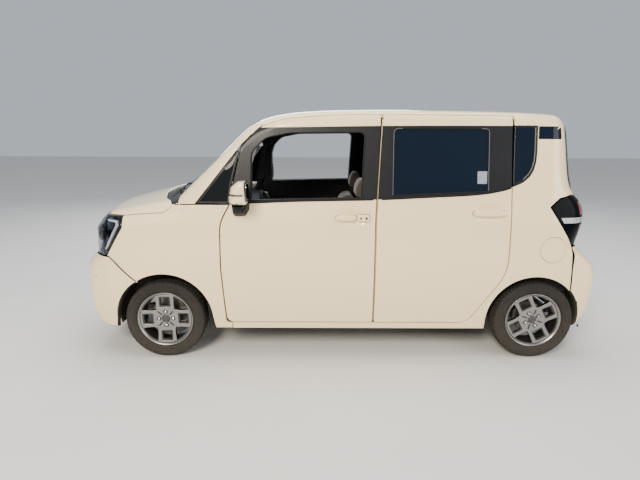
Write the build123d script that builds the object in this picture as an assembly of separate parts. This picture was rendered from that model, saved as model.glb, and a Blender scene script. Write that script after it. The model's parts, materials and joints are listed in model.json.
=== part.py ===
from build123d import *
import math
import os

os.makedirs("parts", exist_ok=True)

# City car: a tall four-door microvan body, 3.6 m long, on four 14 inch wheels.
# Row frame after the last move: +X forward, +Y the car's left, +Z up, origin on the ground
# under the middle of the bounding box. All tables below are in mm with x = 0 midway between
# the axles; SHIFT_X moves every solid as it is written.

# ---- driving dimensions -------------------------------------------------
WHEELBASE = 2520.0
LENGTH_FRONT = 1886.0        # nose, from mid-wheelbase
LENGTH_REAR = -1709.0        # rear bumper
HALF_WIDTH = 797.5
ROOF_Z = 1694.0
SILL_Z = 203.0
SHIFT_X = -(LENGTH_FRONT + LENGTH_REAR) / 2
XF, XR = WHEELBASE / 2, -WHEELBASE / 2
TYRE_R, TYRE_W, WHEEL_Y = 274.0, 170.0, 706.0
RIM_R = 190.0                # flange outside radius, 14 inch rim
KING_LOW, KING_TOP = (642.0, 195.0), (542.0, 720.0)     # steering axis (y, z), leaning in at the top
ARCH_R, ARCH_Z = 322.0, 276.0
WELL_R = 345.0
GAP = 7.0                    # shut lines
SKIN, DOOR_T, WALL_T = 35.0, 75.0, 90.0
HINGE_A, HINGE_B = 45.0, 10.0    # door hinge axis behind the front edge, inside the skin
SPINDLE_R = 14.0

# ---- outlines: rows are (u, v, corner radius) ---------------------------
# side view silhouette (x, z, r)
SIDE = [(1700, 196, 30), (1834, 258, 90), (1886, 380, 160), (1886, 570, 120), (1862, 664, 60), (1806, 716, 40),
        (1808, 830, 200), (1762, 992, 60), (1560, 1066, 300), (1300, 1112, 60), (1172, 1158, 30), (742, 1560, 160),
        (480, 1664, 500), (-300, 1694, 3000), (-1300, 1676, 500), (-1452, 1640, 40), (-1480, 1500, 300),
        (-1560, 1150, 60), (-1650, 1060, 60), (-1668, 930, 80), (-1650, 790, 40), (-1709, 650, 80),
        (-1709, 420, 160), (-1640, 225, 60), (-1560, 196, 30)]
# cross-section, left half (y, z, r); mirrored to close
HALF = [(742, 196, 20), (HALF_WIDTH, 560, 900), (HALF_WIDTH, 830, 700), (768, 1068, 150), (678, 1674, 75)]
SECTION = ([(0, ROOF_Z, 6000)] + [(-y, z, r) for y, z, r in reversed(HALF)] + HALF)
# plan view, left half (x, y, r)
PLAN_HALF = [(LENGTH_FRONT, 0, 0), (LENGTH_FRONT + 4, 380, 600), (1815, 640, 160), (1620, 762, 300), (1430, HALF_WIDTH + 4, 400),
             (-1480, HALF_WIDTH + 4, 200), (-1640, 768, 120), (-1690, 690, 110), (LENGTH_REAR - 4, 500, 800), (LENGTH_REAR, 0, 0)]
PLAN = [p for p in PLAN_HALF[1:-1]] + [(x, -y, r) for x, y, r in reversed(PLAN_HALF[1:-1])]

FRONT_DOOR = [(-160, 252, 12), (838, 252, 50), (862, 640, 700), (859, 945, 230), (793, 1066, 20), (776, 1190, 300),
              (716, 1447, 12), (578, 1572, 160), (430, 1616, 500), (100, 1640, 1500), (-191, 1644, 8), (-160, 960, 1500)]
REAR_DOOR = [(-167, 252, 12), (-167, 960, 1500), (-204, 1644, 8), (-1041, 1638, 8), (-1048, 1160, 600), (-1048, 617, 300), (-807, 252, 120)]
BOTH_DOORS = [(838, 252, 50), (862, 640, 700), (859, 945, 230), (793, 1066, 20), (776, 1190, 300), (716, 1447, 12),
              (578, 1572, 160), (430, 1616, 500), (100, 1640, 1500), (-1041, 1638, 8), (-1048, 1160, 600), (-1048, 617, 300), (-807, 252, 120)]
FRONT_WINDOW = [(656, 1090, 10), (650, 1400, 90), (560, 1492, 110), (400, 1524, 300), (-88, 1530, 35), (-68, 1104, 10)]
REAR_WINDOW = [(-265, 1124, 10), (-268, 1556, 35), (-888, 1556, 25), (-890, 1153, 10)]
CORNER_WINDOW = [(985, 1082, 12), (742, 1392, 14), (790, 1082, 12)]
QUARTER_WINDOW = [(-1066, 1560, 8), (-1186, 1560, 10), (-1186, 1370, 60), (-1150, 1285, 60), (-1066, 1222, 8)]
FENDER = [(780, 203, 0), (780, 1072, 0), (1150, 1068, 5), (1225, 1016, 10), (1400, 1001, 300),
          (1508, 992, 4), (1508, 912, 4), (1640, 716, 4), (1483, 588, 4), (1483, 203, 4)]
HOOD = [(1194, 1052, 5), (1232, 1023, 10), (1405, 1007, 300), (1600, 994, 4), (1990, 994, 4), (1990, 1300, 0), (1194, 1300, 0)]
BUMPER_F = [(1487, 582, 4), (1642, 708, 4), (2000, 708, 0), (2000, 150, 0), (1487, 150, 0)]
HEADLAMP = [(1514, 986, 5), (1514, 914, 5), (1646, 718, 4), (2000, 718, 0), (2000, 986, 0)]
BUMPER_R = [(-1486, 470, 4), (-1474, 790, 4), (-1560, 775, 4), (-1900, 775, 0), (-1900, 150, 0), (-1486, 150, 0)]
TAIL_LAMP = [(-1300, 1056, 8), (-1362, 1114, 40), (-1448, 1134, 10), (-1900, 1134, 0), (-1900, 782, 0), (-1560, 782, 0), (-1468, 806, 4)]
SIDE_REGION = [(905, 203, 0), (905, 1040, 0), (1187, 1058, 0), (1187, 1200, 0), (700, 1760, 0), (-1900, 1760, 0), (-1900, 203, 0)]
ROOF_CUT = [(560, 1560, 0), (640, 1574, 0), (437, 1623, 500), (103, 1647, 1500), (-1048, 1644, 2000), (-1470, 1625, 0), (-1470, 1800, 0), (900, 1800, 0), (900, 1560, 0)]
# rear view of the tailgate (y, z, r), left half
TAILGATE_HALF = [(596, 1700, 0), (600, 1560, 100), (640, 1150, 150), (640, 800, 60), (600, 636, 40)]
WINDSCREEN_HALF = [(545, 1600, 30), (625, 1122, 30)]
FUEL_X, FUEL_Z, FUEL_R = -1342.0, 773.0, 86.0


# ---- helpers ------------------------------------------------------------
def inset(rows, d):
    """Moves every edge of a closed outline inward by d, keeping its corner arcs concentric."""
    pts = [(float(r[0]), float(r[1])) for r in rows]
    rad = [float(r[2]) if len(r) > 2 else 0.0 for r in rows]
    n = len(pts)
    area = sum(pts[i][0] * pts[(i + 1) % n][1] - pts[(i + 1) % n][0] * pts[i][1] for i in range(n)) / 2
    s = 1.0 if area > 0 else -1.0
    lines = []
    for i in range(n):
        (x0, y0), (x1, y1) = pts[i], pts[(i + 1) % n]
        L = math.hypot(x1 - x0, y1 - y0)
        nx, ny = -(y1 - y0) / L * s, (x1 - x0) / L * s
        lines.append((x0 + nx * d, y0 + ny * d, x1 - x0, y1 - y0))
    out = []
    for i in range(n):
        ax, ay, adx, ady = lines[i - 1]
        bx, by, bdx, bdy = lines[i]
        den = adx * bdy - ady * bdx
        turn = s * den
        if abs(den) < 1e-9:
            p = (bx, by)
        else:
            t = ((bx - ax) * bdy - (by - ay) * bdx) / den
            p = (ax + adx * t, ay + ady * t)
        r = rad[i]
        if r > 0:
            r = max(0.5, r - d) if turn > 0 else max(0.5, r + d)
        out.append((p[0], p[1], r))
    return out


def outline(rows, place):
    """A closed wire of straight runs and corner arcs through the rows, set in space by place(u, v)."""
    pts = [(float(r[0]), float(r[1])) for r in rows]
    rad = [float(r[2]) if len(r) > 2 else 0.0 for r in rows]
    n = len(pts)
    corners = []
    for i in range(n):
        p, a, b, r = pts[i], pts[i - 1], pts[(i + 1) % n], rad[i]
        la, lb = math.hypot(a[0] - p[0], a[1] - p[1]), math.hypot(b[0] - p[0], b[1] - p[1])
        ua, ub = ((a[0] - p[0]) / la, (a[1] - p[1]) / la), ((b[0] - p[0]) / lb, (b[1] - p[1]) / lb)
        half = math.acos(max(-1.0, min(1.0, ua[0] * ub[0] + ua[1] * ub[1]))) / 2
        if r <= 0 or half > math.pi / 2 - 1e-3:
            corners.append((p,))
            continue
        t = r / math.tan(half)
        t = min(t, 0.495 * la, 0.495 * lb)
        r = t * math.tan(half)
        m = (ua[0] + ub[0], ua[1] + ub[1])
        lm = math.hypot(*m)
        m = (m[0] / lm, m[1] / lm)
        k = r / math.sin(half) - r
        corners.append(((p[0] + ua[0] * t, p[1] + ua[1] * t), (p[0] + m[0] * k, p[1] + m[1] * k), (p[0] + ub[0] * t, p[1] + ub[1] * t)))
    edges = []
    for i in range(n):
        c, d = corners[i], corners[(i + 1) % n]
        if len(c) == 3:
            edges.append(ThreePointArc(place(*c[0]), place(*c[1]), place(*c[2])))
        if math.hypot(c[-1][0] - d[0][0], c[-1][1] - d[0][1]) > 1e-6:
            edges.append(Line(place(*c[-1]), place(*d[0])))
    return Wire([e.edge() for e in edges])


def prism(rows, axis, a, b):
    """The outline pushed from a to b along an axis: 'y' rows are (x, z), 'x' rows are (y, z), 'z' rows are (x, y)."""
    place = {"y": lambda u, v: Vector(u, a, v), "x": lambda u, v: Vector(a, u, v), "z": lambda u, v: Vector(u, v, a)}[axis]
    d = {"x": Vector(b - a, 0, 0), "y": Vector(0, b - a, 0), "z": Vector(0, 0, b - a)}[axis]
    return Solid.extrude(Face(outline(rows, place)), d)


def box(x0, x1, y0, y1, z0, z1):
    return Pos((x0 + x1) / 2, (y0 + y1) / 2, (z0 + z1) / 2) * Box(abs(x1 - x0), abs(y1 - y0), abs(z1 - z0))


def rod(p, q, r):
    """A round bar from p to q."""
    p, q = Vector(*p), Vector(*q)
    return Solid.make_cylinder(r, (q - p).length, Plane(origin=p, z_dir=(q - p)))


def ring_y(x, z, y0, y1, r1, r0=0.0):
    c = rod((x, y0, z), (x, y1, z), r1)
    return c - rod((x, min(y0, y1) - 1, z), (x, max(y0, y1) + 1, z), r0) if r0 else c


def master(ds, dc, dp):
    """The outer body: side view, cross-section and plan view, each moved inward by its own distance."""
    side, section, plan = prism(inset(SIDE, ds), "y", -900, 900), prism(inset(SECTION, dc), "x", -1950, 1950), prism(inset(PLAN, dp), "z", 0, 1900)
    out = (section & plan) & side
    return out if out else (side & plan) & section


def mirrored(s):
    return s.mirror(Plane.XZ)


def fuse(*items):
    out = items[0]
    for i in items[1:]:
        out = out + i
    return out


NODES = {}


def put(name, shape):
    NODES[name] = shape


LEFT = box(-2500, 2500, 0, 1200, 0, 2000)
M0 = master(0, 0, 0)


def section_solid(d, x0=-1750, x1=1950):
    return prism(inset(SECTION, d), "x", x0, x1)


C0, C10, C35, C40, C75 = (section_solid(d) for d in (0, 10, SKIN, SKIN + 5, DOOR_T))

# ---- wheel wells --------------------------------------------------------
WELL = {}
for s in (1, -1):
    WELL["f", s] = fuse(rod((XF - 3, s * 445, ARCH_Z), (XF - 3, s * 900, ARCH_Z), WELL_R), box(XF - 3 - WELL_R, XF - 3 + WELL_R, s * 445, s * 900, 100, ARCH_Z))
    WELL["r", s] = fuse(rod((XR + 8, s * 596, 270), (XR + 8, s * 900, 270), 335), box(XR + 8 - 335, XR + 8 + 335, s * 596, s * 900, 100, 270))
ARCH_FRONT = [(XF - 3 - 338, 120, 0), (XF - 3 - ARCH_R, ARCH_Z, 0), (XF - 3 + ARCH_R, ARCH_Z, 0), (XF - 3 + 338, 120, 0)]
ARCHES = fuse(rod((XF - 3, -900, ARCH_Z), (XF - 3, 900, ARCH_Z), ARCH_R), prism(ARCH_FRONT, "y", -900, 900),
              rod((XR + 8, -900, 270), (XR + 8, 900, 270), 318), box(XR + 8 - 318, XR + 8 + 318, -900, 900, 120, 270))

# ---- door cuts ----------------------------------------------------------
HINGE_Y = HALF_WIDTH - HINGE_B
HINGES = {"front": 862 - HINGE_A, "rear": -167 - HINGE_A}
SWEEP_R = 57.0
HINGE_Z = {"front": (450, 860), "rear": (450, 860)}


def door_shape(rows, window, side):
    y0, y1 = (300, 900) if side > 0 else (-900, -300)
    skin = prism(rows, "y", y0, y1) & (C0 - C10)
    m, n = inset(rows, 6), inset(rows, 51)
    middle = prism(m, "y", y0, y1) & prism([(x + 8, z, r) for x, z, r in m], "y", y0, y1) & (section_solid(8) - C35)
    inner = prism(n, "y", y0, y1) & prism([(x + 26, z, r) for x, z, r in n], "y", y0, y1) & (section_solid(33) - C75)
    if rows is REAR_DOOR:
        # where the side leans in, the front edge is trimmed to swing clear of the centre pillar
        x, y = HINGES["rear"], side * HINGE_Y
        for z0, z1 in ((0, 472), (946, 1240)):
            middle = middle - (box(x, 0, y0, y1, z0, z1) - rod((x, y, z0), (x, y, z1), 59))
    return fuse(skin, middle, inner) - prism(window, "y", y0, y1)


def hinge_cut(key, side):
    """Room in the body for the door's front edge as it swings in."""
    x, y = HINGES[key], side * HINGE_Y
    if key == "front":
        return rod((x, y, 240), (x, y, 1060), SWEEP_R)
    return fuse(rod((x, y, 240), (x, y, 1190), SWEEP_R + 5), rod((x, y, 240), (x, y, 413), SWEEP_R + 10), rod((x, y, 900), (x, y, 1190), SWEEP_R + 10))


def hinge_leaf(key, side):
    """The door's half of its two hinges: a barrel round the pin and a leaf back to the door."""
    out = []
    for z in HINGE_Z[key]:
        x, y = HINGES[key], side * HINGE_Y
        leaf = box(x - 60, x, y - side * 2, y - side * 9, z - 22, z + 22)
        out.append((rod((x, y, z - 22), (x, y, z + 22), 9) + leaf) - rod((x, y, z - 40), (x, y, z + 40), 5.05))
    return out


def hinge_pin(key, side):
    """The body's half: a pin through each barrel, held above and below by arms from the pillar."""
    out = []
    for z in HINGE_Z[key]:
        x, y = HINGES[key], side * HINGE_Y
        parts = rod((x, y, z - 34), (x, y, z + 34), 5.0)
        for zz in (z - 30, z + 30):
            parts = parts + rod((x, y, zz - 6), (x, y, zz + 6), 8.5) + box(x - 6, x + 6, y, y - side * 64, zz - 5, zz + 5)
        out.append(parts)
    return out


def hinge_pocket(key, side):
    """Clearance in the door round the arms, over the door's whole swing."""
    out = []
    for z in HINGE_Z[key]:
        x, y = HINGES[key], side * HINGE_Y
        for zz in (z - 30, z + 30):
            out.append(rod((x, y, zz - 7.5), (x, y, zz + 7.5), 12))
            out.append(box(x - 12, x + 80, y + side * 4, y - side * 90, zz - 9, zz + 9))
        out.append(rod((x, y, z - 23.5), (x, y, z + 23.5), 13))
    return out


for name, rows, window, key in (("front", FRONT_DOOR, FRONT_WINDOW, "front"), ("rear", REAR_DOOR, REAR_WINDOW, "rear")):
    plain = door_shape(rows, window, 1)
    hinged = plain
    for c in hinge_pocket(key, 1):
        hinged = hinged - c
    for c in hinge_leaf(key, 1):
        hinged = hinged + c
    put(f"{name}_door_left", hinged)
    put(f"{name}_door_right", mirrored(hinged) if name == "front" else mirrored(plain))

# side glass: panes in the openings, 12 to 16 mm inside the skin
pane = section_solid(12) - section_solid(16)
panes = [prism(inset(w, 0.5), "y", 300, 900) & pane for w in (REAR_WINDOW, CORNER_WINDOW, QUARTER_WINDOW)]
put("rear_door_glass_left", panes[0])
put("fixed_side_glass", [panes[1], panes[2]] + [mirrored(p) for p in panes])

print("doors done", flush=True)
# ---- shell --------------------------------------------------------------
INNER = master(60, WALL_T, WALL_T)
TAILGATE = [(-y, z, r) for y, z, r in TAILGATE_HALF] + [(y, z, r) for y, z, r in reversed(TAILGATE_HALF)]
WINDSCREEN = [(-545, 1600, 30), (-625, 1122, 30), (625, 1122, 30), (545, 1600, 30)]
SEAM_X = -1330.0
gate_zone = prism(TAILGATE, "x", -1900, -1200)
gate_zone_wide = prism(inset(TAILGATE, -GAP), "x", -1900, -1200)
roof_zone = prism(ROOF_CUT, "y", -900, 900)
roof_zone_wide = prism(inset(ROOF_CUT, -4), "y", -900, 900)
roof = ((M0 - master(30, 30, 30)) & roof_zone) - box(-1900, SEAM_X, -602 - GAP, 602 + GAP, 1500, 1800)
roof = roof - prism(inset(WINDSCREEN, -4), "x", 400, 1400)
for rows in (FRONT_DOOR, REAR_DOOR):
    wide = prism(inset(rows, -GAP), "y", 300, 900) - C40
    roof = roof - wide - mirrored(wide)
TG_HINGE_X, TG_HINGE_Z = SEAM_X - 6 - 30, 1664.0
roof = roof - rod((TG_HINGE_X, -604, TG_HINGE_Z - 4), (TG_HINGE_X, 604, TG_HINGE_Z - 4), 44)

body_side = (M0 - INNER) & prism(SIDE_REGION, "y", 0, 900)
body_side = body_side - roof_zone_wide
for rows in (FRONT_DOOR, REAR_DOOR):
    body_side = body_side - (prism(inset(rows, -GAP), "y", 300, 900) - C40)
for key in ("front", "rear"):
    body_side = body_side - hinge_cut(key, 1)
body_side = body_side - ARCHES - WELL["f", 1] - WELL["r", 1]
body_side = body_side - (prism(inset(FENDER, -4), "y", 300, 900) - master(18, 18, 18))
COWL = [(1345, 0, 0), (1330, 300, 400), (1262, 560, 200), (1194, 690, 10), (1194, 900, 0), (1000, 900, 0)]
COWL = COWL[1:] + [(x, -y, r) for x, y, r in reversed(COWL[1:])]
body_side = body_side - (prism(inset(HOOD, -GAP), "y", 0, 900) - prism(inset(COWL, GAP), "z", 900, 1400))
body_side = body_side - prism(inset(TAIL_LAMP, -3), "y", 0, 900)
body_side = body_side - (prism(inset(BUMPER_R, -4), "y", 0, 900) - master(30, 30, 30))
body_side = body_side - (gate_zone_wide - prism([(-1380, 1700, 0), (-1440, 640, 0), (-1300, 640, 0), (-1300, 1700, 0)], "y", 570, 900))
body_side = body_side - prism(inset(WINDSCREEN, -4), "x", 400, 1400)
body_side = body_side - prism(CORNER_WINDOW, "y", 300, 900) - prism(QUARTER_WINDOW, "y", 300, 900)
body_side = body_side - box(-1900, 1900, -10, 655, 0, 292) - box(-1900, 1900, -10, 600, 292, 700) - box(-1900, 1900, -10, 300, 0, 2000)
side_right = mirrored(body_side - prism(inset(BOTH_DOORS, 45), "y", 300, 900))
side_left = body_side
for rows in (FRONT_DOOR, REAR_DOOR):
    side_left = side_left - prism(inset(rows, 45), "y", 300, 900)
# filler recess on the left quarter
side_left = side_left - rod((FUEL_X, 700, FUEL_Z), (FUEL_X, 900, FUEL_Z), FUEL_R + 4) + (ring_y(FUEL_X, FUEL_Z, 716, 736, 99, 30) & section_solid(60))
# sliding door rail groove on the right quarter
side_right = side_right - (box(-1290, -1040, -900, -700, 905, 935) - mirrored(section_solid(28)))
for s, part in ((1, side_left), (-1, side_right)):
    pins = []
    for key in ("front", "rear"):
        if s < 0 and key == "rear":
            continue
        pins += hinge_pin(key, s)
    for p in pins:
        part = part + p
    if s > 0:
        side_left = part
    else:
        side_right = part
put("body_side_left", side_left)
put("body_side_right", side_right)
for s in (1, -1):
    roof = roof + rod((TG_HINGE_X, s * 566, TG_HINGE_Z), (TG_HINGE_X, s * 622, TG_HINGE_Z), 5.0)
put("roof_panel", roof)
print("sides done", flush=True)

fuel = (rod((FUEL_X, 700, FUEL_Z), (FUEL_X, 900, FUEL_Z), FUEL_R) & (C0 - C10))
put("fuel_flap", fuel)

# ---- tailgate -----------------------------------------------------------
gate = ((M0 - master(60, 30, 60)) & gate_zone) - box(SEAM_X - GAP, 2000, -900, 900, 0, 2000)
# thin its front edge at the roof so that it can tuck in as it swings
gate = gate - box(SEAM_X - 66, SEAM_X, -900, 900, 1400, ROOF_Z - 48)
GATE_GLASS = [(-540, 1560, 50), (-575, 1175, 60), (575, 1175, 60), (540, 1560, 50)]
gate = gate - prism(GATE_GLASS, "x", -1900, -1300)
# bores for the two hinge pins that stand out of the roof's rear corners
for s in (1, -1):
    gate = gate - rod((TG_HINGE_X, s * 560, TG_HINGE_Z), (TG_HINGE_X, s * 620, TG_HINGE_Z), 5.05)
put("tailgate", gate)
put("tailgate_glass", (prism(inset(SIDE, 12), "y", -900, 900) - prism(inset(SIDE, 17), "y", -900, 900)) & prism(inset(GATE_GLASS, 0.5), "x", -1900, -1300) & box(-1700, -1300, -600, 600, 1100, 1600))

# ---- front end ----------------------------------------------------------
shell18 = M0 - master(14, 14, 14)
fender = (shell18 & prism(FENDER, "y", 658, 900)) - ARCHES - prism(inset(FRONT_DOOR, -GAP), "y", 300, 900)
put("front_fenders", [fender, mirrored(fender)])
hood = (M0 - master(22, 22, 22)) & prism(HOOD, "y", -900, 900)
hood = hood - prism(COWL, "z", 900, 1400)
put("hood", hood)
bumper = ((M0 - master(20, 20, 20)) & prism(BUMPER_F, "y", -900, 900)) - ARCHES - WELL["f", 1] - WELL["f", -1]
intake = [(-470, 300, 30), (470, 300, 30), (400, 470, 30), (-400, 470, 30)]
bumper = bumper - prism(intake, "x", 1700, 2000)
bumper = bumper - box(1400, 1760, -620, 620, 150, 300)
put("front_bumper", bumper)
lamp_shell = M0 - master(55, 55, 55)
lamp = lamp_shell & prism(HEADLAMP, "y", 452, 900)
put("headlamps", [lamp, mirrored(lamp)])
nose = (M0 - master(30, 30, 30)) & box(1600, 2000, -448, 448, 714, 988)
put("grille_panel", nose)
put("windscreen", (prism(inset(SIDE, 8), "y", -900, 900) - prism(inset(SIDE, 14), "y", -900, 900)) & prism(WINDSCREEN, "x", 600, 1300) & box(600, 1186, -700, 700, 1122, 1610))

# ---- rear end -----------------------------------------------------------
rbumper = ((M0 - master(25, 25, 25)) & prism(BUMPER_R, "y", -900, 900)) - ARCHES - WELL["r", 1] - WELL["r", -1] - gate_zone_wide
rbumper = rbumper - box(-1640, -1400, -700, 700, 150, 300)
put("rear_bumper", rbumper)
tlamp = ((M0 - master(50, 50, 50)) & prism(TAIL_LAMP, "y", 300, 900)) - gate_zone_wide
put("tail_lamps", [tlamp, mirrored(tlamp)])
print("ends done", flush=True)

# ---- underbody ----------------------------------------------------------
floor = box(-900, 958, -653, 653, 205, 245) + box(-940, -900, -596, 596, 205, 430) + box(-410, 958, -120, 120, 245, 320)
load_floor = box(-1672, -940, -596, 596, 400, 430)
houses = []
for s in (1, -1):
    floor = floor - WELL["f", s] - WELL["r", s]
    load_floor = load_floor - WELL["r", s]
    # rear longitudinals
    load_floor = load_floor + box(-1645, -1000, s * 380, s * 440, 340, 401)
# rear towing hook: a plate with an eye under the right-hand rail
load_floor = load_floor + box(-1590, -1530, -416, -404, 235, 341) - rod((-1560, -430, 265), (-1560, -390, 265), 15)
load_floor = load_floor - side_left - side_right
for s in (1, -1):
    house = rod((XR + 8, s * 588, 270), (XR + 8, s * 720, 270), 343) - box(-2000, 0, -900, 900, -100, 400) - WELL["r", s]
    houses.append(house - load_floor - floor - side_left - side_right)
floor = floor - load_floor - side_left - side_right
put("floor_pan", floor)
put("load_floor", load_floor)
put("rear_wheelhouses", houses)
put("rear_panel", box(-1672, -1645, -596, 596, 430, 612) - load_floor - side_left - side_right - houses[0] - houses[1])
floor = fuse(floor, load_floor, houses[0], houses[1])
bulk = box(960, 985, -650, 650, 245, 1060) + box(985, 1120, -650, 650, 1040, 1060)
bulk = bulk + (box(985, 1180, -600, 600, 1005, 1040) - box(1000, 1165, -590, 590, 1018, 1041))
for s in (1, -1):
    bulk = bulk - WELL["f", s]
    bulk = bulk + ((ring_y(XF - 3, ARCH_Z, s * 447, s * 650, WELL_R + 8, WELL_R + 0.5)) & box(800, 985, -700, 700, 245.5, 700))
bulk = bulk - floor - side_left - side_right
put("front_bulkhead", bulk)
ff = fuse(box(1740, 1790, -540, 540, 380, 500), box(1690, 1740, -440, 440, 225, 262), box(1080, 1180, -437, 437, 225, 262))
for s in (1, -1):
    ff = ff + box(986, 1745, s * 360, s * 425, 400, 490) + box(1080, 1740, s * 395, s * 437, 225, 262) + box(1700, 1740, s * 395, s * 425, 262, 405)
    ff = ff + box(986, 1660, s * 425, s * 437, 440, 715) + box(XF - 75, XF + 75, s * 425, s * 620, 715, 735)
    ff = ff + rod((XF, s * 430, 240), (XF, s * 588, 226), 14) + rod((1120, s * 430, 240), (XF - 8, s * 580, 228), 12)
ff = ff + box(1650, 1688, -350, 350, 262, 690) + box(1688, 1695, -350, 350, 262, 300)
put("front_subframe", ff)
put("engine_block", box(1060, 1500, -330, 230, 264, 800))
# rear torsion beam with its spindles
beam = box(-1130, -1060, -480, 480, 232, 300)
for s in (1, -1):
    beam = beam + box(-1330, -946, s * 480, s * 530, 230, 300) + box(XR - 45, XR + 45, s * 530, s * 560, 225, 325)
    beam = beam + rod((XR, s * 555, TYRE_R), (XR, s * 690, TYRE_R), SPINDLE_R)
for s in (1, -1):
    beam = beam + rod((-1160, s * 505, 299), (-1160, s * 505, 399.5), 45)
    beam = beam + rod((-1310, s * 505, 290), (-1336, s * 536, 384), 16)
put("rear_axle_beam", beam)
put("fuel_tank", box(-880, -420, -440, 300, 110, 200))
pipe = rod((900, -60, 170), (-100, -60, 170), 26) + rod((-100, -60, 170), (-360, 360, 170), 24)
pipe = pipe + rod((-360, 360, 170), (-1475, 396, 170), 24) + Sphere(26).moved(Location((-100, -60, 170))) + Sphere(24).moved(Location((-360, 360, 170)))
pipe = pipe + box(-1640, -1460, -200, 400, 115, 195)
pipe = pipe - box(-1700, -1640, -900, 900, 0, 400)
put("exhaust", pipe)

# ---- cabin --------------------------------------------------------------
dash = [(700, 760, 60), (640, 940, 60), (760, 1050, 40), (950, 1050, 4), (950, 620, 4), (860, 620, 40)]
dsh = (prism(dash, "y", -640, 640) & master(70, WALL_T + 12, WALL_T + 12))
dsh = dsh + box(600, 940, -110, 110, 500, 780)


def seat(y, w, x0, x1, zc, back_top, name):
    base = prism([(x0, zc - 150, 30), (x0, zc + 40, 60), (x1, zc + 70, 40), (x1, zc - 140, 30)], "y", y - w / 2, y + w / 2)
    back = prism([(x0 + 45, zc + 20, 30), (x0 - 130, back_top, 50), (x0 - 20, back_top + 10, 40), (x0 + 175, zc + 40, 30)], "y", y - w / 2, y + w / 2)
    return base + back


fronts = []
for s, tag in ((1, "left"), (-1, "right")):
    st = seat(s * 345, 490, 20, 520, 520, 1060, tag)
    st = st + prism([(-122, 1085, 30), (-150, 1250, 40), (-60, 1260, 40), (-22, 1090, 30)], "y", s * 345 - 130, s * 345 + 130)
    st = st + rod((-78, s * 345 - 60, 1050), (-82, s * 345 - 60, 1110), 7) + rod((-78, s * 345 + 60, 1050), (-82, s * 345 + 60, 1110), 7)
    st = st + box(60, 480, s * 345 - 200, s * 345 + 200, 245, 385)
    fronts.append(st)
put("front_seats", fronts)
bench = seat(0, 1120, -830, -380, 560, 1040, "rear") + box(-800, -420, -520, 520, 245, 420)
for y in (-330, 330):
    bench = bench + prism([(-972, 1060, 30), (-985, 1210, 40), (-890, 1215, 40), (-872, 1062, 30)], "y", y - 120, y + 120)
    bench = bench + rod((-925, y - 50, 1030), (-932, y - 50, 1090), 7) + rod((-925, y + 50, 1030), (-932, y + 50, 1090), 7)
put("rear_bench", bench)
# steering wheel on its column; the wheel turns about the column's axis
SW = Vector(560, 345, 935)
SW_DIR = Vector(-math.cos(math.radians(25)), 0, math.sin(math.radians(25)))
pl = Plane(origin=SW, z_dir=SW_DIR)
rim = Solid.make_torus(182, 14, pl)
hub = Solid.make_cylinder(58, 44, Plane(origin=SW - SW_DIR * 30, z_dir=SW_DIR))
sw = rim + hub
xd = pl.x_dir
yd = pl.y_dir
for v in (yd, -1 * yd, (-1 * xd) if xd.Z > 0 else xd):
    a, b = SW + v * 40, SW + v * 172
    sw = sw + rod((a.X, a.Y, a.Z), (b.X, b.Y, b.Z), 12)
put("steering_wheel", sw)
c0, c1 = SW - SW_DIR * 34, SW - SW_DIR * 150
put("dashboard", dsh + rod((c0.X, c0.Y, c0.Z), (c1.X, c1.Y, c1.Z), 32))

# ---- mirrors and handles on the doors ------------------------------------
mir = box(668, 772, 846, 985, 1092, 1232).edges()
mb = box(668, 772, 838, 985, 1092, 1232)
mb = fillet(mb.edges().filter_by(Axis.Y), 26)
foot = prism([(775, 1075, 8), (765, 985, 20), (690, 985, 20), (655, 1040, 8), (655, 1100, 8), (775, 1100, 8)], "y", 770, 850) - C0
foot = foot + box(690, 750, 838, 850, 1060, 1110)
mirror_l = mb + foot
put("door_mirror_left", mirror_l)
put("door_mirror_right", mirrored(mirror_l))
for tag, x0, x1, zc in (("front", -122, 104, 984), ("rear", -1016, -795, 1016)):
    h = (box(x0, x1, 760, 835, zc - 14, zc + 14) & section_solid(-32)) - section_solid(-14)
    h = h + ((box(x0, x0 + 34, 760, 835, zc - 14, zc + 14) + box(x1 - 26, x1, 760, 835, zc - 14, zc + 14)) & section_solid(-20)) - C0
    put(f"{tag}_door_handle_left", h)
    put(f"{tag}_door_handle_right", mirrored(h))

# ---- wheels -------------------------------------------------------------
RIM = [(150, -72), (186, -72), (RIM_R, -68), (RIM_R, -62), (177, -58), (177, 58), (RIM_R, 62), (RIM_R, 68), (186, 72), (168, 72), (164, 56), (164, -50), (150, -50)]
TYRE = [(177.2, -57), (190.5, -62), (192, -76), (206, -84), (226, -85, 30), (252, -80, 24), (266, -68, 14), (TYRE_R - 1.5, -48), (TYRE_R, -20), (TYRE_R, 20),
        (TYRE_R - 1.5, 48), (266, 68, 14), (252, 80, 24), (226, 85, 30), (206, 84), (192, 76), (190.5, 62), (177.2, 57)]


def revolve_y(rows, x, y, z, s):
    """Rows are (radius, width); s puts the outer face on the car's outside."""
    f = Face(outline([(r[0], r[1] * s, r[2] if len(r) > 2 else 0) for r in rows], lambda u, v: Vector(x + u, y + v, z)))
    return Solid.revolve(f, 360, Axis((x, y, z), (0, 1, 0)))


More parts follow.
